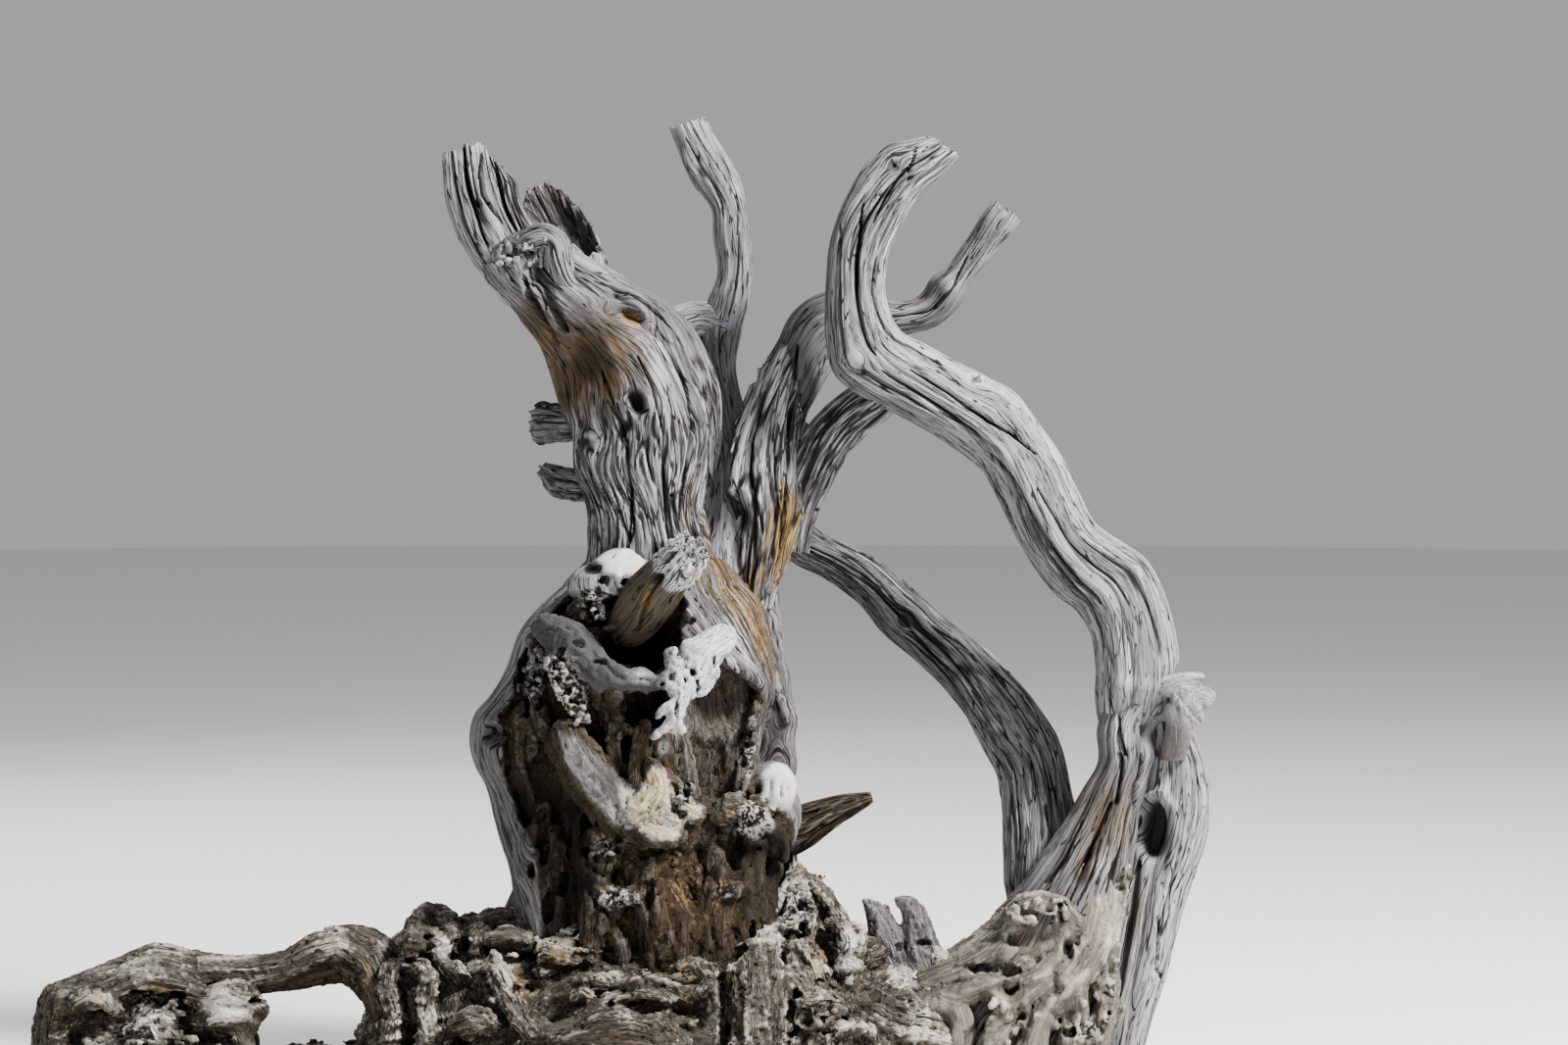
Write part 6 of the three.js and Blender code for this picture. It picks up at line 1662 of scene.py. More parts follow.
def left_root():
    H = Hull([[36, 1046, 36, 1180, -22, 0.6], [48, 1004, 48, 1225, -22, 0.48], [92, 997, 92, 1240, -24, 0.56], [125, 981, 125, 1250, -24, 0.58], [158, 966, 158, 1260, -24, 0.56], [190, 977, 190, 1250, -22, 0.6], [222, 990, 222, 1230, -20, 0.6], [246, 1012, 246, 1200, -20, 0.56], [258, 1050, 258, 1190, -20, 0.5]], "x")
    h = 2.5
    F = Field((-772, -146, -2 * h), (-222, 108, 206), h)
    x, y, z = F.ax[0][:, None, None], F.ax[1][None, :, None], F.ax[2][None, None, :]
    F.D = H.dist(x, y, z, 12.0).astype(F4)
    S = H.on_front
    rs = np.random.RandomState(8)
    guides = []

    def strand(pts, k=4.0, squash=None):
        pts = [(*P(u, v, yy), r) for u, v, yy, r in pts]
        F.strand(pts, k, smooth=3, squash=squash)
        guides.append([p[:3] for p in pts])

    # the bridge over the gap: layered strands side by side
    strand([(420, 1064, -12, 34), (408, 1020, -12, 34), (390, 992, -14, 32), (368, 976, -16, 29), (345, 974, -18, 27), (315, 983, -20, 23), (280, 994, -22, 17), (235, 998, -22, 18), (190, 1000, -20, 28)], 6)
    for u_, dv, yy, r in ((0, -7, -38, 9), (4, 2, -46, 9), (8, 12, -46, 9), (12, 22, -38, 8)):
        strand([(392 + u_, 1050, yy - 4, r + 3), (380 + u_, 1010 + dv * 0.6, yy - 4, r + 2), (366 + u_, 978 + dv, yy, r + 1), (345, 961 + dv, yy, r), (318, 969 + dv, yy, r), (288, 984 + dv * 0.8, yy, r), (250, 989 + dv * 0.9, yy - 2, r), (205, 990 + dv, yy - 8, r)], 3)
    for dv, yy, r in ((-6, 2, 10), (4, 10, 11), (16, 10, 11)):
        strand([(404, 1056, yy, 14), (388, 1000, yy, 13), (370, 972 + dv, yy, 11), (345, 962 + dv, yy, r), (320, 970 + dv, yy - 2, r), (285, 986 + dv * 0.8, yy - 4, r), (240, 990 + dv, yy - 2, r), (190, 984 + dv, yy + 4, r)], 3)
    # layered strands over the top of the left mass
    for u0, dv, yy, r in ((0, 0, -26, 11), (-4, 5, -44, 10), (-8, 12, -58, 10), (-12, 20, -68, 9), (-6, 28, -76, 9), (4, 4, -6, 11), (0, 12, 12, 11), (6, 24, 28, 12), (0, 40, 40, 12)):
        strand([(222 + u0, 994 + dv, yy, r * 0.8), (196 + u0, 981 + dv, yy, r), (160 + u0, 974 + dv, yy, r * 1.1), (126 + u0, 986 + dv, yy - 2, r), (92 + u0, 1000 + dv * 0.8, yy - 2, r), (62, 1009 + dv * 0.7, yy * 0.8 - 4, r * 0.9)], 3)
    # the rounded knob at the far left, with upright grain
    for du, yy, r in ((-8, -30, 10), (2, -42, 11), (13, -46, 10), (-2, -12, 12), (0, 8, 12)):
        strand([(62 + du, 1012, yy, r), (54 + du, 1030, yy - 3, r), (50 + du, 1066, yy - 4, r + 1), (48 + du, 1120, yy, r + 3), (50 + du, 1180, yy, r + 3)], 3)
    # crusts below, then the smooth pale lump and the pointed pale piece
    for i in range(20):
        u = rs.uniform(78, 236)
        v0 = rs.uniform(1004, 1080)
        sd = 1 if i % 2 else -1
        pts = []
        for j in range(5):
            t = j / 4
            uu_, vv_ = min(max(u + sd * 34 * t, 60), 244), v0 + 26 * t + 5 * math.sin(5 * t + i)
            p = S(uu_, vv_, rs.uniform(2, 6))
            if i % 3 == 0:
                p = np.array([p[0], -44 - p[1], p[2]])
            pts.append((*p, rs.uniform(7, 11)))
        F.strand(pts, 3.5, smooth=2)
        guides.append([p[:3] for p in pts])
    strand([(196, 1036, -66, 12), (212, 1022, -76, 14), (232, 1015, -76, 15), (250, 1018, -66, 15), (262, 1030, -50, 13)], 3)
    strand([(204, 1044, -74, 11), (224, 1036, -80, 13), (244, 1036, -72, 12), (256, 1044, -56, 11)], 3)
    strand([(238, 1050, -66, 14), (246, 1080, -60, 17), (240, 1120, -56, 22), (236, 1170, -54, 24)], 5)
    strand([(120, 1066, -88, 7), (138, 1050, -94, 8), (152, 1042, -94, 8), (168, 1036, -88, 6), (178, 1046, -84, 5)], 2.5)
    strand([(150, 1044, -94, 7), (158, 1058, -94, 9), (168, 1080, -88, 11)], 2.5)
    strand([(78, 1022, -80, 10), (92, 1014, -84, 9), (108, 1018, -84, 9), (120, 1030, -82, 8)], 3)
    for u, v, i, rx, ry, rz in [(104, 1052, 0, 26, 18, 11), (206, 1060, 0, 24, 20, 10), (182, 1016, 0, 10, 14, 7), (150, 1020, -2, 8, 12, 6), (214, 1006, 2, 18, 14, 4), (76, 1062, 0, 8, 14, 14), (300, 1018, 0, 44, 30, 5)]:
        F.ball(S(u, v, i) if u < 280 else P(u, v, -52), (rx, ry, rz), 3, cut=True, rough=3, seed=int(u))
    for cu, cv, ru, rv, n in ((150, 1030, 44, 28, 46), (210, 1070, 40, 30, 18), (100, 1080, 40, 24, 14)):
        for _ in range(n):
            a, q = rs.rand() * 6.28, math.sqrt(rs.rand())
            F.ball(S(cu + ru * q * math.cos(a), cv + rv * q * math.sin(a), rs.uniform(-6, 6)), rs.uniform(3, 7.5, 3), 2.5, cut=rs.rand() < 0.75, rough=1.5, seed=int(rs.randint(9999)))
    for i in range(24):
        p = P(rs.uniform(50, 250), rs.uniform(1000, 1130), 0)
        a, b = np.interp(p[0], H.key, H.a), np.interp(p[0], H.key, H.b)
        cz, cy = np.interp(p[0], H.key, H.C[:, 2]), np.interp(p[0], H.key, H.C[:, 1])
        F.ball((p[0], cy + (b + 2) * math.sqrt(max(0.05, 1 - min(1, ((p[2] - cz) / a) ** 2))), p[2]), rs.uniform(6, 15, 3), 4, cut=True, rough=4, seed=400 + i)

    def crags(p):
        w = 8 * noise(p[:, 0] / 60, p[:, 1] / 60, p[:, 2] / 60, 141)
        lay = rounded(noise((p[:, 0] + w) / 66, p[:, 1] / 26, (p[:, 2] - w) / 11, 142), 0.3)
        mid = rounded(noise(p[:, 0] / 20, p[:, 1] / 12, p[:, 2] / 7, 143), 0.3)
        low = sst(0, -30, p[:, 2] - np.interp(p[:, 0], H.key, H.C[:, 2] + H.a) + 14) * sst(-395, -420, p[:, 0])
        return -((1.6 + 2.4 * low) * (lay - 0.64) + (0.6 + 1.6 * low) * (mid - 0.64)) * sst(-4, 14, p[:, 2])

    F.relief(crags)
    F.ground()
    return rooted("Left_Root", F, guides, 500,
                  patches=[(232, 1030, 40, 24, 1.4), (152, 1050, 34, 26, 1.2), (100, 1020, 34, 16, 0.8), (140, 990, 80, 16, 0.5), (338, 966, 30, 22, 0.9), (250, 996, 60, 14, 0.35), (62, 1012, 24, 14, 0.5)],
                  gold=[(335, 966, 34, 22, 0.5), (110, 992, 50, 14, 0.3), (52, 1030, 20, 34, 0.25), (374, 1010, 16, 34, 0.25), (100, 1024, 30, 14, 0.3)],
                  crusts=[(152, 1026, 44, 30, 0.8), (212, 1044, 30, 16, 0.45), (120, 1060, 60, 30, 0.5)],
                  darks=[(104, 1054, 34, 18, 0.9), (206, 1060, 30, 14, 0.9), (270, 1012, 70, 8, 0.6), (400, 1030, 40, 50, 0.55)],
                  smooth=[(232, 1030, 40, 24, 0.8), (55, 1036, 26, 44, 0.5)], amp=0.9, brown=0.5, lean=(1.0, 0.2, -0.5))


def antler_root():
    h = 1.5
    F = Field((-116, -176, 356), (112, -70, 520), h)
    st = lambda pts, k=4.0, **kw: F.strand([(*P(u, v, y), r) for u, v, y, r in pts], k, **kw)
    st([(556, 640, -78, 14), (574, 650, -98, 19), (590, 664, -110, 21), (606, 682, -120, 15), (626, 692, -128, 10), (650, 697, -134, 7), (674, 696, -137, 7), (692, 690, -137, 10)])
    st([(578, 650, -110, 11), (600, 660, -120, 9), (622, 680, -130, 7), (650, 690, -138, 5)], 3)
    st([(570, 660, -104, 13), (576, 685, -110, 15), (586, 706, -112, 14), (590, 724, -112, 9)])
    st([(596, 672, -118, 8), (606, 690, -124, 7), (612, 703, -124, 4)], 3)
    # the bleached plate and its forks
    st([(738, 650, -90, 14), (724, 662, -106, 17), (711, 672, -122, 19), (706, 688, -132, 15), (700, 704, -138, 11)], 4, squash=((0.3, 1, 0), 0.7))
    st([(703, 664, -126, 10), (714, 668, -126, 13), (722, 678, -124, 11), (719, 694, -126, 9), (712, 706, -132, 6)], 4, squash=((0.2, 1, 0), 0.75))
    st([(716, 668, -124, 12), (722, 684, -126, 10), (712, 702, -132, 6)], 4)
    st([(690, 680, -134, 8), (688, 696, -136, 9), (692, 708, -138, 8)], 4)
    st([(698, 702, -140, 9), (694, 716, -144, 7.5), (690, 729, -147, 6.5), (682, 740, -148, 5.2), (666, 752, -148, 3.2)], 3)
    st([(694, 716, -144, 6), (682, 722, -147, 5), (671, 730, -148, 3.6)], 3)
    st([(688, 734, -147, 4.5), (694, 741, -147, 4), (697, 747, -146, 2.6)], 3)
    st([(641, 689, -134, 4), (652, 686, -139, 5.2), (664, 690, -140, 4)], 3)
    st([(641, 698, -132, 3.2), (652, 701, -136, 3.2), (660, 706, -136, 2.4)], 2)
    F.ball(P(707, 686, -142), (4.2, 9, 4.6), 2, cut=True)
    F.ball(P(690, 672, -142), (4, 8, 3), 2, cut=True)
    for u, v, y, rx, rz, q in ((722, 664, -126, 3, 7, 1), (699, 694, -146, 2.2, 6, 2), (712, 700, -142, 3, 5, 3), (684, 690, -146, 3.5, 3, 4), (690, 722, -152, 1.6, 7, 5), (728, 676, -128, 2, 6, 6), (700, 672, -140, 4, 2.4, 7), (678, 698, -144, 5, 1.8, 8), (612, 676, -134, 6, 2.4, 9), (590, 656, -130, 7, 4, 10), (600, 690, -134, 3, 6, 11), (574, 664, -124, 5, 4, 12)):
        F.ball(P(u, v, y), (rx, 5, rz), 1.6, cut=True, rough=1.4, seed=q)
    rs = np.random.RandomState(3)
    for i in range(150):
        t = rs.rand()
        F.ball(P(564 + 26 * t + rs.uniform(-9, 9), 676 + 56 * t + rs.uniform(-6, 6), rs.uniform(-130, -121)), rs.uniform(2.2, 4.8, 3), 1.2, cut=rs.rand() < 0.42, rough=1.2, seed=700 + i)
    for i in range(9):
        F.ball(P(rs.uniform(680, 694), rs.uniform(664, 684), rs.uniform(-140, -130)), rs.uniform(3, 6, 3), 2, rough=1.5, seed=760 + i)
    F.relief(lambda p: -(2.3 * (rounded(noise(p[:, 0] / 12, p[:, 1] / 12, p[:, 2] / 12, 151), 0.4) - 0.6) + 1.0 * (rounded(noise(p[:, 0] / 6, p[:, 1] / 6, p[:, 2] / 6, 154), 0.3) - 0.6)), 8)
    V, Q = F.surface()
    N = normals(V, Q)
    gd = [[P(*q) for q in line] for line in ([(560, 645, -90), (590, 664, -110), (626, 692, -128), (674, 696, -137)], [(738, 652, -92), (710, 674, -124), (694, 716, -144), (666, 752, -148)], [(576, 680, -112), (592, 724, -116)])]
    G, along, off, _ = near_guides(V, gd)
    s = rounded(streaks(V, G, 3.4, 152, 7), 0.3)
    V2 = V + N * (0.9 * (s - 0.7) + 0.3 * noise(V[:, 0] / 3, V[:, 1] / 3, V[:, 2] / 3, 153))[:, None]
    conv = ((V2 - smooth_of(V2, Q, 8)) * N).sum(1)
    pk = lambda u, v, ru, rv: patch(V, u, v, ru, rv, -120, 60)
    uu, vv, _ = front(V)
    bits = np.clip(2.2 * pk(572, 688, 26, 32) + 2.2 * pk(586, 716, 28, 34), 0, 1)
    bright = np.clip(sst(672, 690, uu + 0.25 * (vv - 700)) * 1.3 + 1.0 * bits * sst(-0.8, 0.5, conv) + 1.3 * pk(652, 690, 24, 13), 0, 1.3)
    # painted shadow: the arm is darkened (drk) where it lies in shadow
    shadowed_arm = sst(690, 668, uu) * (1 - np.clip(bright, 0, 1))
    at = {
        # cav darkens hollows from the curvature, painted shade; pal rises on bumps, a painted highlight on the bleached
        # plate
        "cav": np.clip(sst(0.1, -1.5, conv) * 1.0 + 0.35 * sst(0.40, 0, s), 0, 1.1),
        "pal": np.clip(bright * (0.80 + 0.3 * sst(-0.6, 0.8, conv)), 0, 1.2),
        "brn": np.clip(0.04 - 0.2 * bright, 0, 1),
        "och": np.clip(0.3 * pk(652, 687, 16, 8), 0, 1),
        "drk": 0.80 * shadowed_arm,
        "cru": 0.85 * bits,
        "smo": np.clip(0.45 + 0 * conv, 0, 1),
        "gc": np.stack([off[:, 0] + 0.6 * off[:, 1], off[:, 2] + 0.6 * off[:, 1], along], 1) * 0.001,
    }
    return make("Antler_Root", V2, Q, None, at)


def burl_knob():
    L = Limb([[636, 644, 18, -54], [644, 636, 24, -72], [654, 622, 27, -90], [666, 605, 27, -110], [680, 588, 24, -130], [690, 577, 23, -140], [700, 566, 22, -149], [704, 561, 20, -153]], kind="round", around=150, step=2.0, seed=79)
    L.twist(1.6, 0.5)
    head = sst(L.L - 40, L.L - 24, L.S + 9 * noise(L.base[..., 0] / 13, L.base[..., 1] / 13, L.base[..., 2] / 13, 84))
    L.relief(flutes=3.0, furrows=1.2, fine=0.5, flute_size=22, furrow_size=9, lump=3.5, fur=0.12)
    L.checks(3, 10, 60, 0.06, 9, 0.05)
    L.hollow(8, L.px(671, 590, 10, 9))
    L.hollow(6, L.line([(652, 640), (660, 612), (672, 594)], 4))
    L.hollow(-4, L.px(662, 606, 16, 20))
    bits = rounded(noise(L.base[..., 0] / 8, L.base[..., 1] / 8, L.base[..., 2] / 8, 82), 0.3)
    L.D += (5.0 * head * (bits - 0.45)).astype(F4)
    L.mask["pal"] += 1.5 * head
    L.mask["rgh"] -= 0.6 * head
    L.mask["cav"] += 0.55 * head * sst(0.30, 0.1, bits)
    # painted shade in the hole; the knob's body is darker and browner than its head
    L.mask["drk"] += 0.8 * L.px(671, 590, 13, 12) + 0.38 * (1 - head)
    L.mask["brn"] += 0.7 * (1 - head)
    L.mask["och"] += 0.6 * L.px(660, 614, 20, 24)
    L.broken(1, rough=5, cell=5, seed=81, reach=20, deep=9, wall=0.5, rings=14)
    return L.build("Burl_Knob")


def knot_stub():
    h = 1.4
    F = Field((480, -56, 352), (592, 12, 452), h)
    st = lambda pts, k=4.0, **kw: F.strand([(*P(u, v, y), r) for u, v, y, r in pts], k, **kw)
    # a curled rim around a dark hollow, with a rounded end and hanging chips
    st([(1158, 708, -20, 6), (1168, 700, -26, 5.5), (1182, 695, -31, 5), (1200, 692, -33, 4.6), (1214, 690, -30, 4.4), (1225, 690, -22, 4.4)], 2)
    st([(1176, 706, -24, 8), (1192, 702, -28, 9), (1208, 700, -28, 8), (1220, 699, -22, 6)], 3)
    st([(1184, 718, -12, 18), (1200, 715, -17, 17), (1216, 712, -18, 14), (1230, 712, -18, 10.5)], 4)
    st([(1204, 702, -33, 7), (1211, 712, -35, 8), (1219, 724, -33, 7), (1226, 735, -28, 3)], 2.5, squash=((0.3, 1, 0), 0.75))
    st([(1198, 706, -34, 4), (1203, 718, -37, 4), (1213, 730, -36, 3.4), (1222, 738, -31, 2)], 1.5)
    st([(1200, 718, -24, 12), (1203, 734, -26, 12), (1202, 750, -24, 12), (1198, 764, -18, 12), (1196, 780, -10, 10)], 5)
    F.ball(P(1177, 720, -32), (11, 16, 14), 3, cut=True)
    F.ball(P(1188, 714, -40), (9, 12, 6), 2, cut=True, rough=1.5, seed=5)
    F.ball(P(1212, 733, -44), (5, 7, 4), 2, cut=True)
    F.relief(lambda p: -(0.8 * (rounded(noise(p[:, 0] / 12, p[:, 1] / 12, p[:, 2] / 12, 161), 0.4) - 0.6)), 8)
    V, Q = F.surface()
    N = normals(V, Q)
    gd = [[P(*q) for q in line] for line in ([(1160, 706, -22), (1182, 696, -30), (1224, 692, -22)], [(1182, 714, -16), (1234, 710, -18)], [(1196, 712, -34), (1198, 765, -26)])]
    G, along, off, _ = near_guides(V, gd)
    s = rounded(streaks(V, G, 3.2, 162, 7), 0.3)
    V2 = V + N * (0.5 * (s - 0.7) + 0.2 * noise(V[:, 0] / 4, V[:, 1] / 4, V[:, 2] / 4, 163))[:, None]
    conv = ((V2 - smooth_of(V2, Q, 8)) * N).sum(1)
    uu, vv, _ = front(V)
    # the hanging nose is browner (brn) and darker and less pale (drk, pal): its own brown tint and a painted shade; the
    # left hollow is darkened, painted shade; cav and pal follow the curvature, painted shade in hollows and highlight
    # on bumps
    low = sst(722, 746, vv) * sst(1222, 1212, uu)
    at = {"cav": np.clip(sst(0.1, -1.8, conv) * 0.9 + 0.3 * sst(0.35, 0, s), 0, 1.1), "pal": (0.15 + 0.35 * sst(0, 1.2, conv)) * (1 - 0.8 * low), "brn": 0.12 * sst(0, -2, conv) + 0.42 * low, "och": 0 * conv, "drk": 0.35 * low + 0.85 * patch(V, 1180, 718, 24, 30, -24, 40), "smo": 0.6 + 0 * conv,
          "gc": np.stack([off[:, 0] + 0.6 * off[:, 1], off[:, 2] + 0.6 * off[:, 1], along], 1) * 0.001}
    return make("Knot_Stub", V2, Q, None, at)


def claw_root():
    h = 1.8
    F = Field((204, -66, 112), (312, 36, 214), h)
    st = lambda pts, k=4.0, **kw: F.strand([(*P(u, v, y), r) for u, v, y, r in pts], k, **kw)
    st([(883, 919, -20, 3.5), (890, 926, -22, 7), (897, 938, -22, 12), (906, 962, -20, 20), (914, 1000, -14, 28)], 3)
    st([(905, 925, -18, 3), (905, 938, -20, 6), (906, 955, -20, 10)], 3)
    st([(917, 919, -22, 5), (925, 920, -22, 8), (933, 932, -22, 11), (936, 950, -20, 16), (938, 980, -16, 24)], 3)
    st([(945, 948, -14, 4), (948, 958, -14, 7), (950, 975, -12, 12)], 3)
    rs = np.random.RandomState(4)
    for i in range(16):
        F.ball(P(rs.uniform(886, 945), rs.uniform(935, 985), rs.uniform(-48, -34)), rs.uniform(4, 8, 3), 3, cut=True, rough=2, seed=800 + i)
    F.relief(lambda p: -(2.6 * (rounded(noise(p[:, 0] / 11, p[:, 1] / 11, p[:, 2] / 16, 171), 0.35) - 0.6)), 9)
    V, Q = F.surface()
    N = normals(V, Q)
    gd = [[P(*q) for q in line] for line in ([(884, 920, -20), (912, 1000, -15)], [(920, 920, -22), (936, 1000, -16)])]
    G, along, off, _ = near_guides(V, gd)
    s = rounded(streaks(V, G, 3.6, 172, 7), 0.3)
    V2 = V + N * (1.2 * (s - 0.7))[:, None]
    conv = ((V2 - smooth_of(V2, Q, 8)) * N).sum(1)
    # darker in hollows and paler on bumps, from the curvature: painted shade and painted highlight
    at = {"cav": np.clip(sst(0.1, -2.0, conv) * 0.9 + 0.3 * sst(0.35, 0, s), 0, 1.1), "pal": 0.12 + 0.35 * sst(0.3, 1.8, conv), "brn": 0.3 + 0 * conv, "och": 0 * conv, "drk": 0.2 * sst(0, -3, conv),
          "gc": np.stack([off[:, 0] + 0.6 * off[:, 1], off[:, 2] + 0.6 * off[:, 1], along], 1) * 0.001}
    return make("Claw_Root", V2, Q, None, at)


def right_foot():
    h = 2.5
    F = Field((262, -122, -2 * h), (512, 44, 250), h)
    F.strand([(*P(1108, 870, 2), 32), (*P(1094, 915, 0), 48), (*P(1066, 972, 0), 63), (*P(1044, 1030, 0), 72), (*P(1022, 1100, 0), 76), (*P(1014, 1160, 0), 78)], 6)
    F.strand([(*P(1060, 950, -14), 34), (*P(1016, 985, -18), 38), (*P(980, 1015, -20), 40), (*P(962, 1060, -20), 42), (*P(952, 1130, -18), 44)], 10)
    guides = []

    def st(pts, k=7.0):
        F.strand([(*P(u, v, y + 3), r + 1) for u, v, y, r in pts], k, smooth=2)
        guides.append([P(u, v, y) for u, v, y, _ in pts])

    # the smooth pale fold that swings down and to the left, and the one inside it
    st([(1142, 850, -10, 8), (1140, 876, -18, 10), (1138, 904, -30, 11), (1134, 934, -46, 12), (1124, 962, -60, 12), (1106, 990, -70, 13), (1086, 1008, -76, 12), (1074, 1026, -80, 10)])
    st([(1106, 862, -16, 8), (1112, 896, -30, 10), (1115, 928, -46, 11), (1109, 956, -60, 11), (1096, 974, -70, 11), (1084, 992, -74, 9)])
    st([(1086, 940, -56, 9), (1090, 958, -62, 10), (1082, 978, -68, 10), (1066, 994, -74, 9), (1050, 1002, -76, 8)])
    # the broken ledge with bits hanging under it
    st([(1028, 934, -44, 7), (1044, 922, -54, 8), (1064, 920, -60, 9), (1084, 926, -60, 8), (1096, 940, -58, 8)])
    st([(1034, 940, -48, 6), (1030, 956, -50, 8), (1022, 972, -54, 9)])
    # smooth long ridges on the left with a hollow between them
    st([(1034, 954, -48, 9), (1010, 972, -54, 10), (984, 986, -54, 10), (958, 996, -50, 11), (936, 1006, -46, 11)])
    st([(1046, 984, -70, 8), (1024, 1000, -72, 9), (1000, 1008, -70, 10), (976, 1016, -66, 10), (950, 1024, -62, 10)])
    st([(940, 1052, -56, 9), (944, 1034, -62, 9), (960, 1024, -68, 9), (976, 1030, -72, 9), (982, 1046, -74, 9), (976, 1064, -74, 9)])
    st([(1012, 1014, -76, 6), (1020, 1020, -80, 9), (1026, 1034, -84, 10), (1014, 1044, -86, 8)], 2)
    for pts in ([(1074, 1020, -80, 9), (1062, 1040, -84, 12), (1052, 1070, -84, 14), (1048, 1110, -80, 16), (1046, 1150, -78, 17)],
                [(1024, 1040, -82, 9), (1014, 1062, -84, 13), (1006, 1096, -82, 15), (1000, 1140, -80, 16)],
                [(984, 1050, -72, 10), (972, 1078, -74, 13), (964, 1112, -70, 15), (960, 1140, -68, 15)],
                [(1096, 1000, -72, 9), (1098, 1030, -74, 12), (1094, 1066, -74, 14), (1084, 1110, -72, 15), (1080, 1150, -70, 16)],
                [(1128, 970, -52, 8), (1132, 1004, -54, 10), (1126, 1040, -56, 12), (1112, 1080, -58, 13), (1100, 1120, -56, 14)],
                [(1066, 1004, -78, 6), (1048, 1016, -82, 7), (1036, 1030, -84, 6)]):
        st(pts)
    # the back and the side: plain ribs
    for dx, y, r in ((-62, 20, 16), (-30, 40, 18), (6, 48, 18), (40, 40, 17), (66, 14, 15)):
        F.strand([(*P(1084 + dx * 0.45, 905, y * 0.5), r * 0.6), (*P(1050 + dx * 0.8, 975, y * 0.8), r), (*P(1030 + dx, 1040, y), r), (*P(1010 + dx, 1140, y), r * 1.1)], 6)
    for u, v, y, rx, ry, rz in [(1044, 958, -66, 16, 16, 8), (1066, 956, -74, 10, 14, 8), (1090, 968, -78, 6, 12, 12), (1008, 990, -66, 26, 12, 6), (1100, 948, -72, 6, 10, 12), (1076, 1008, -90, 14, 12, 7), (1040, 1046, -96, 8, 12, 20), (1000, 1034, -92, 8, 12, 12), (1076, 1060, -98, 7, 12, 26), (1110, 1040, -84, 6, 12, 26), (1030, 1010, -86, 8, 10, 6), (962, 1046, -82, 7, 9, 10)]:
        F.ball(P(u, v, y), (rx, ry, rz), 3, cut=True, rough=3, seed=int(u + v))
    rs = np.random.RandomState(14)
    for cu, cv, ru, rv, y, n, keepers in ((1062, 930, 36, 14, -66, 44, 0.85), (1150, 930, 12, 60, -40, 30, 0.9), (1134, 1000, 18, 44, -58, 34, 0.8), (1018, 1030, 14, 12, -90, 20, 1.0), (1110, 1046, 36, 26, -80, 40, 0.75), (1046, 1050, 30, 20, -92, 12, 0.6)):
        for _ in range(n):
            a, q = rs.rand() * 6.28, math.sqrt(rs.rand())
            F.ball(P(cu + ru * q * math.cos(a), cv + rv * q * math.sin(a), y + rs.uniform(-5, 7)), rs.uniform(2.6, 6, 3), 2.2, cut=rs.rand() > keepers, rough=1.5, seed=int(rs.randint(9999)))

    def crags(p):
        w = 10 * noise(p[:, 0] / 60, p[:, 1] / 60, p[:, 2] / 60, 191)
        lay = rounded(noise((p[:, 0] + w) / 16, (p[:, 1] + w) / 18, (p[:, 2] - w) / 60, 192), 0.3)
        return -(2.4 * (lay - 0.66)) * sst(-4, 14, p[:, 2]) * sst(240, 200, p[:, 2])

    F.relief(crags)
    F.ground()
    return rooted("Right_Foot", F, guides, 700,
                  patches=[(1122, 905, 26, 34, 0.35), (1132, 945, 24, 70, 0.40), (1096, 1002, 40, 30, 0.5), (1064, 926, 40, 12, 0.35), (1018, 1026, 16, 14, 1.0), (960, 1030, 30, 24, 0.3), (1062, 994, 24, 14, 0.35)],
                  gold=[(1130, 950, 20, 70, 0.45), (1090, 1008, 50, 26, 0.4), (1030, 1030, 60, 40, 0.35), (1110, 1050, 50, 30, 0.35)],
                  crusts=[(1062, 928, 40, 16, 0.4), (1148, 940, 16, 70, 0.6), (1134, 1010, 22, 50, 0.6), (1112, 1050, 44, 32, 0.7), (1018, 1030, 16, 14, 0.4)],
                  darks=[(1044, 962, 26, 18, 1.0), (1100, 948, 14, 18, 0.5), (1150, 900, 14, 60, 0.4), (1080, 1012, 26, 14, 0.5)],
                  smooth=[(1100, 960, 110, 150, 1.6), (1000, 1000, 120, 90, 1.6), (962, 1034, 50, 40, 0.8), (1060, 1050, 130, 80, 0.8)], amp=0.75, brown=0.20, top_light=0.3)


stand_for(arch_limb(), "arch_limb", 76000)
stand_for(right_limb_front(), "right_limb_front", 46000)
stand_for(right_limb_back(), "right_limb_back", 34000)
stand_for(rear_limb(), "rear_limb", 36000)
stand_for(middle_limb(), "middle_limb", 50000)
stand_for(brace_limb(), "brace_limb", 12000)
stand_for(rear_branch(), "rear_branch", 30000)
stand_for(rear_collar(), "rear_branch", 5000)
stand_for(left_trunk(), "left_trunk", 76000)
stand_for(trunk_brow(), "left_trunk", 28000)
stand_for(knot_roll(), "left_trunk", 10000)
stand_for(crumbly_knot(), "left_trunk", 12000)
stand_for(broken_spike(), "broken_spike", 18000)
stand_for(broken_spike_side(), "broken_spike", 8000)
stand_for(hollow_stub(), "hollow_stub", 24000)
stand_for(side_knot("Upper_Knot", [[545, 431, 18, 27], [553, 431, 21, 26], [570, 431, 20, 22], [604, 434, 19, 10]], 71, 8), "upper_knot", 6000)
stand_for(side_knot("Lower_Knot", [[553, 479, 7, 27], [560, 484, 12, 26], [574, 492, 17, 22], [606, 496, 17, 10]], 73, 3), "lower_knot", 6000)
stand_for(root_spike(), "root_spike", 12000)
stand_for(burl(), "burl", 160000, HEARTWOOD)
stand_for(root_crown(), "root_crown", 164000)
stand_for(left_root(), "left_root", 60000)
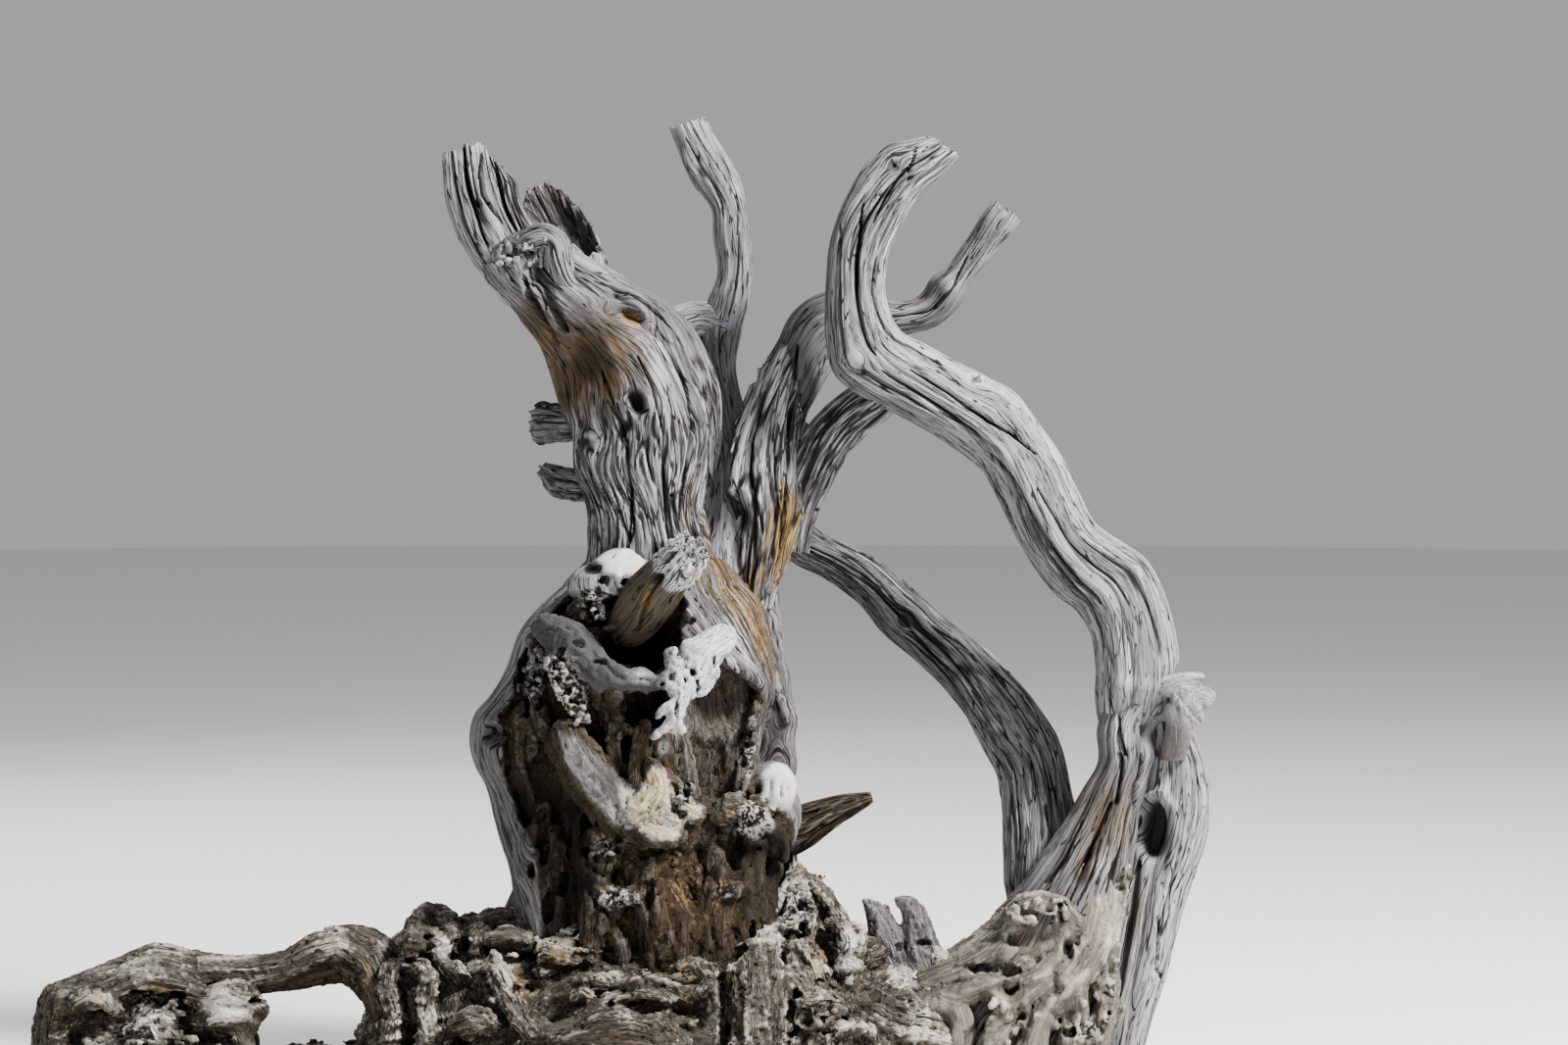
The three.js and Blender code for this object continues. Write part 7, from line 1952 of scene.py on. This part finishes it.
stand_for(antler_root(), "antler_root", 28000)
stand_for(burl_knob(), "burl_knob", 20000)
stand_for(knot_stub(), "knot_stub", 18000)
stand_for(claw_root(), "claw_root", 14000)
stand_for(right_foot(), "right_limb_front", 42000, FOOT)


# ---------------------------------------------------------------- studio
def studio():
    sc = bpy.context.scene
    me = bpy.data.meshes.new("floor")
    bm = bmesh.new()
    bmesh.ops.create_circle(bm, cap_ends=True, segments=96, radius=14.0)
    bm.to_mesh(me)
    bm.free()
    floor = bpy.data.objects.new("Floor", me)
    sc.collection.objects.link(floor)
    mat = bpy.data.materials.new("floor paint")
    mat.use_nodes = True
    b = mat.node_tree.nodes["Principled BSDF"]
    b.inputs["Base Color"].default_value = (0.84, 0.84, 0.83, 1)
    b.inputs["Roughness"].default_value = 0.9
    b.inputs["Specular IOR Level"].default_value = 0.1
    me.materials.append(mat)
    floor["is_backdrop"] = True
    world = bpy.data.worlds.new("studio")
    world.use_nodes = True
    world.node_tree.nodes["Background"].inputs[0].default_value = (0.80, 0.80, 0.80, 1)
    world.node_tree.nodes["Background"].inputs[1].default_value = 0.45
    sc.world = world

    def area(name, at, size, power, colour=(1, 1, 1)):
        d = bpy.data.lights.new(name, "AREA")
        d.shape = "DISK"
        d.size = size
        d.energy = power
        d.color = colour
        o = bpy.data.objects.new(name, d)
        o.location = at
        o.rotation_euler = (Vector((0.14, 0, 0.5)) - Vector(at)).to_track_quat("-Z", "Y").to_euler()
        sc.collection.objects.link(o)

    area("Key", (2.3, -1.5, 2.9), 0.7, 350, (1.0, 0.97, 0.93))
    area("Fill", (-2.6, -2.4, 1.6), 2.2, 14, (0.93, 0.96, 1.0))
    area("Rim", (-1.6, 2.4, 2.4), 1.4, 56, (0.95, 0.97, 1.0))

    cam = bpy.data.cameras.new("Camera")
    cam.sensor_width = 36.0
    cam.sensor_fit = "HORIZONTAL"
    cam.lens = 36.0 * VIEW_DISTANCE / 1600.0
    cam.clip_start, cam.clip_end = 0.1, 60
    co = bpy.data.objects.new("Camera", cam)
    co.location = EYE * 0.001
    co.rotation_euler = (math.pi / 2 - PITCH, 0, 0)
    sc.collection.objects.link(co)
    sc.camera = co
    sc.view_settings.look = "AgX - Medium High Contrast"


studio()
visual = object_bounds()
plain = lambda b: [[float(x) for x in p] for p in b]
{"cad": plain(CAD_BOX), "visual": plain(visual)}
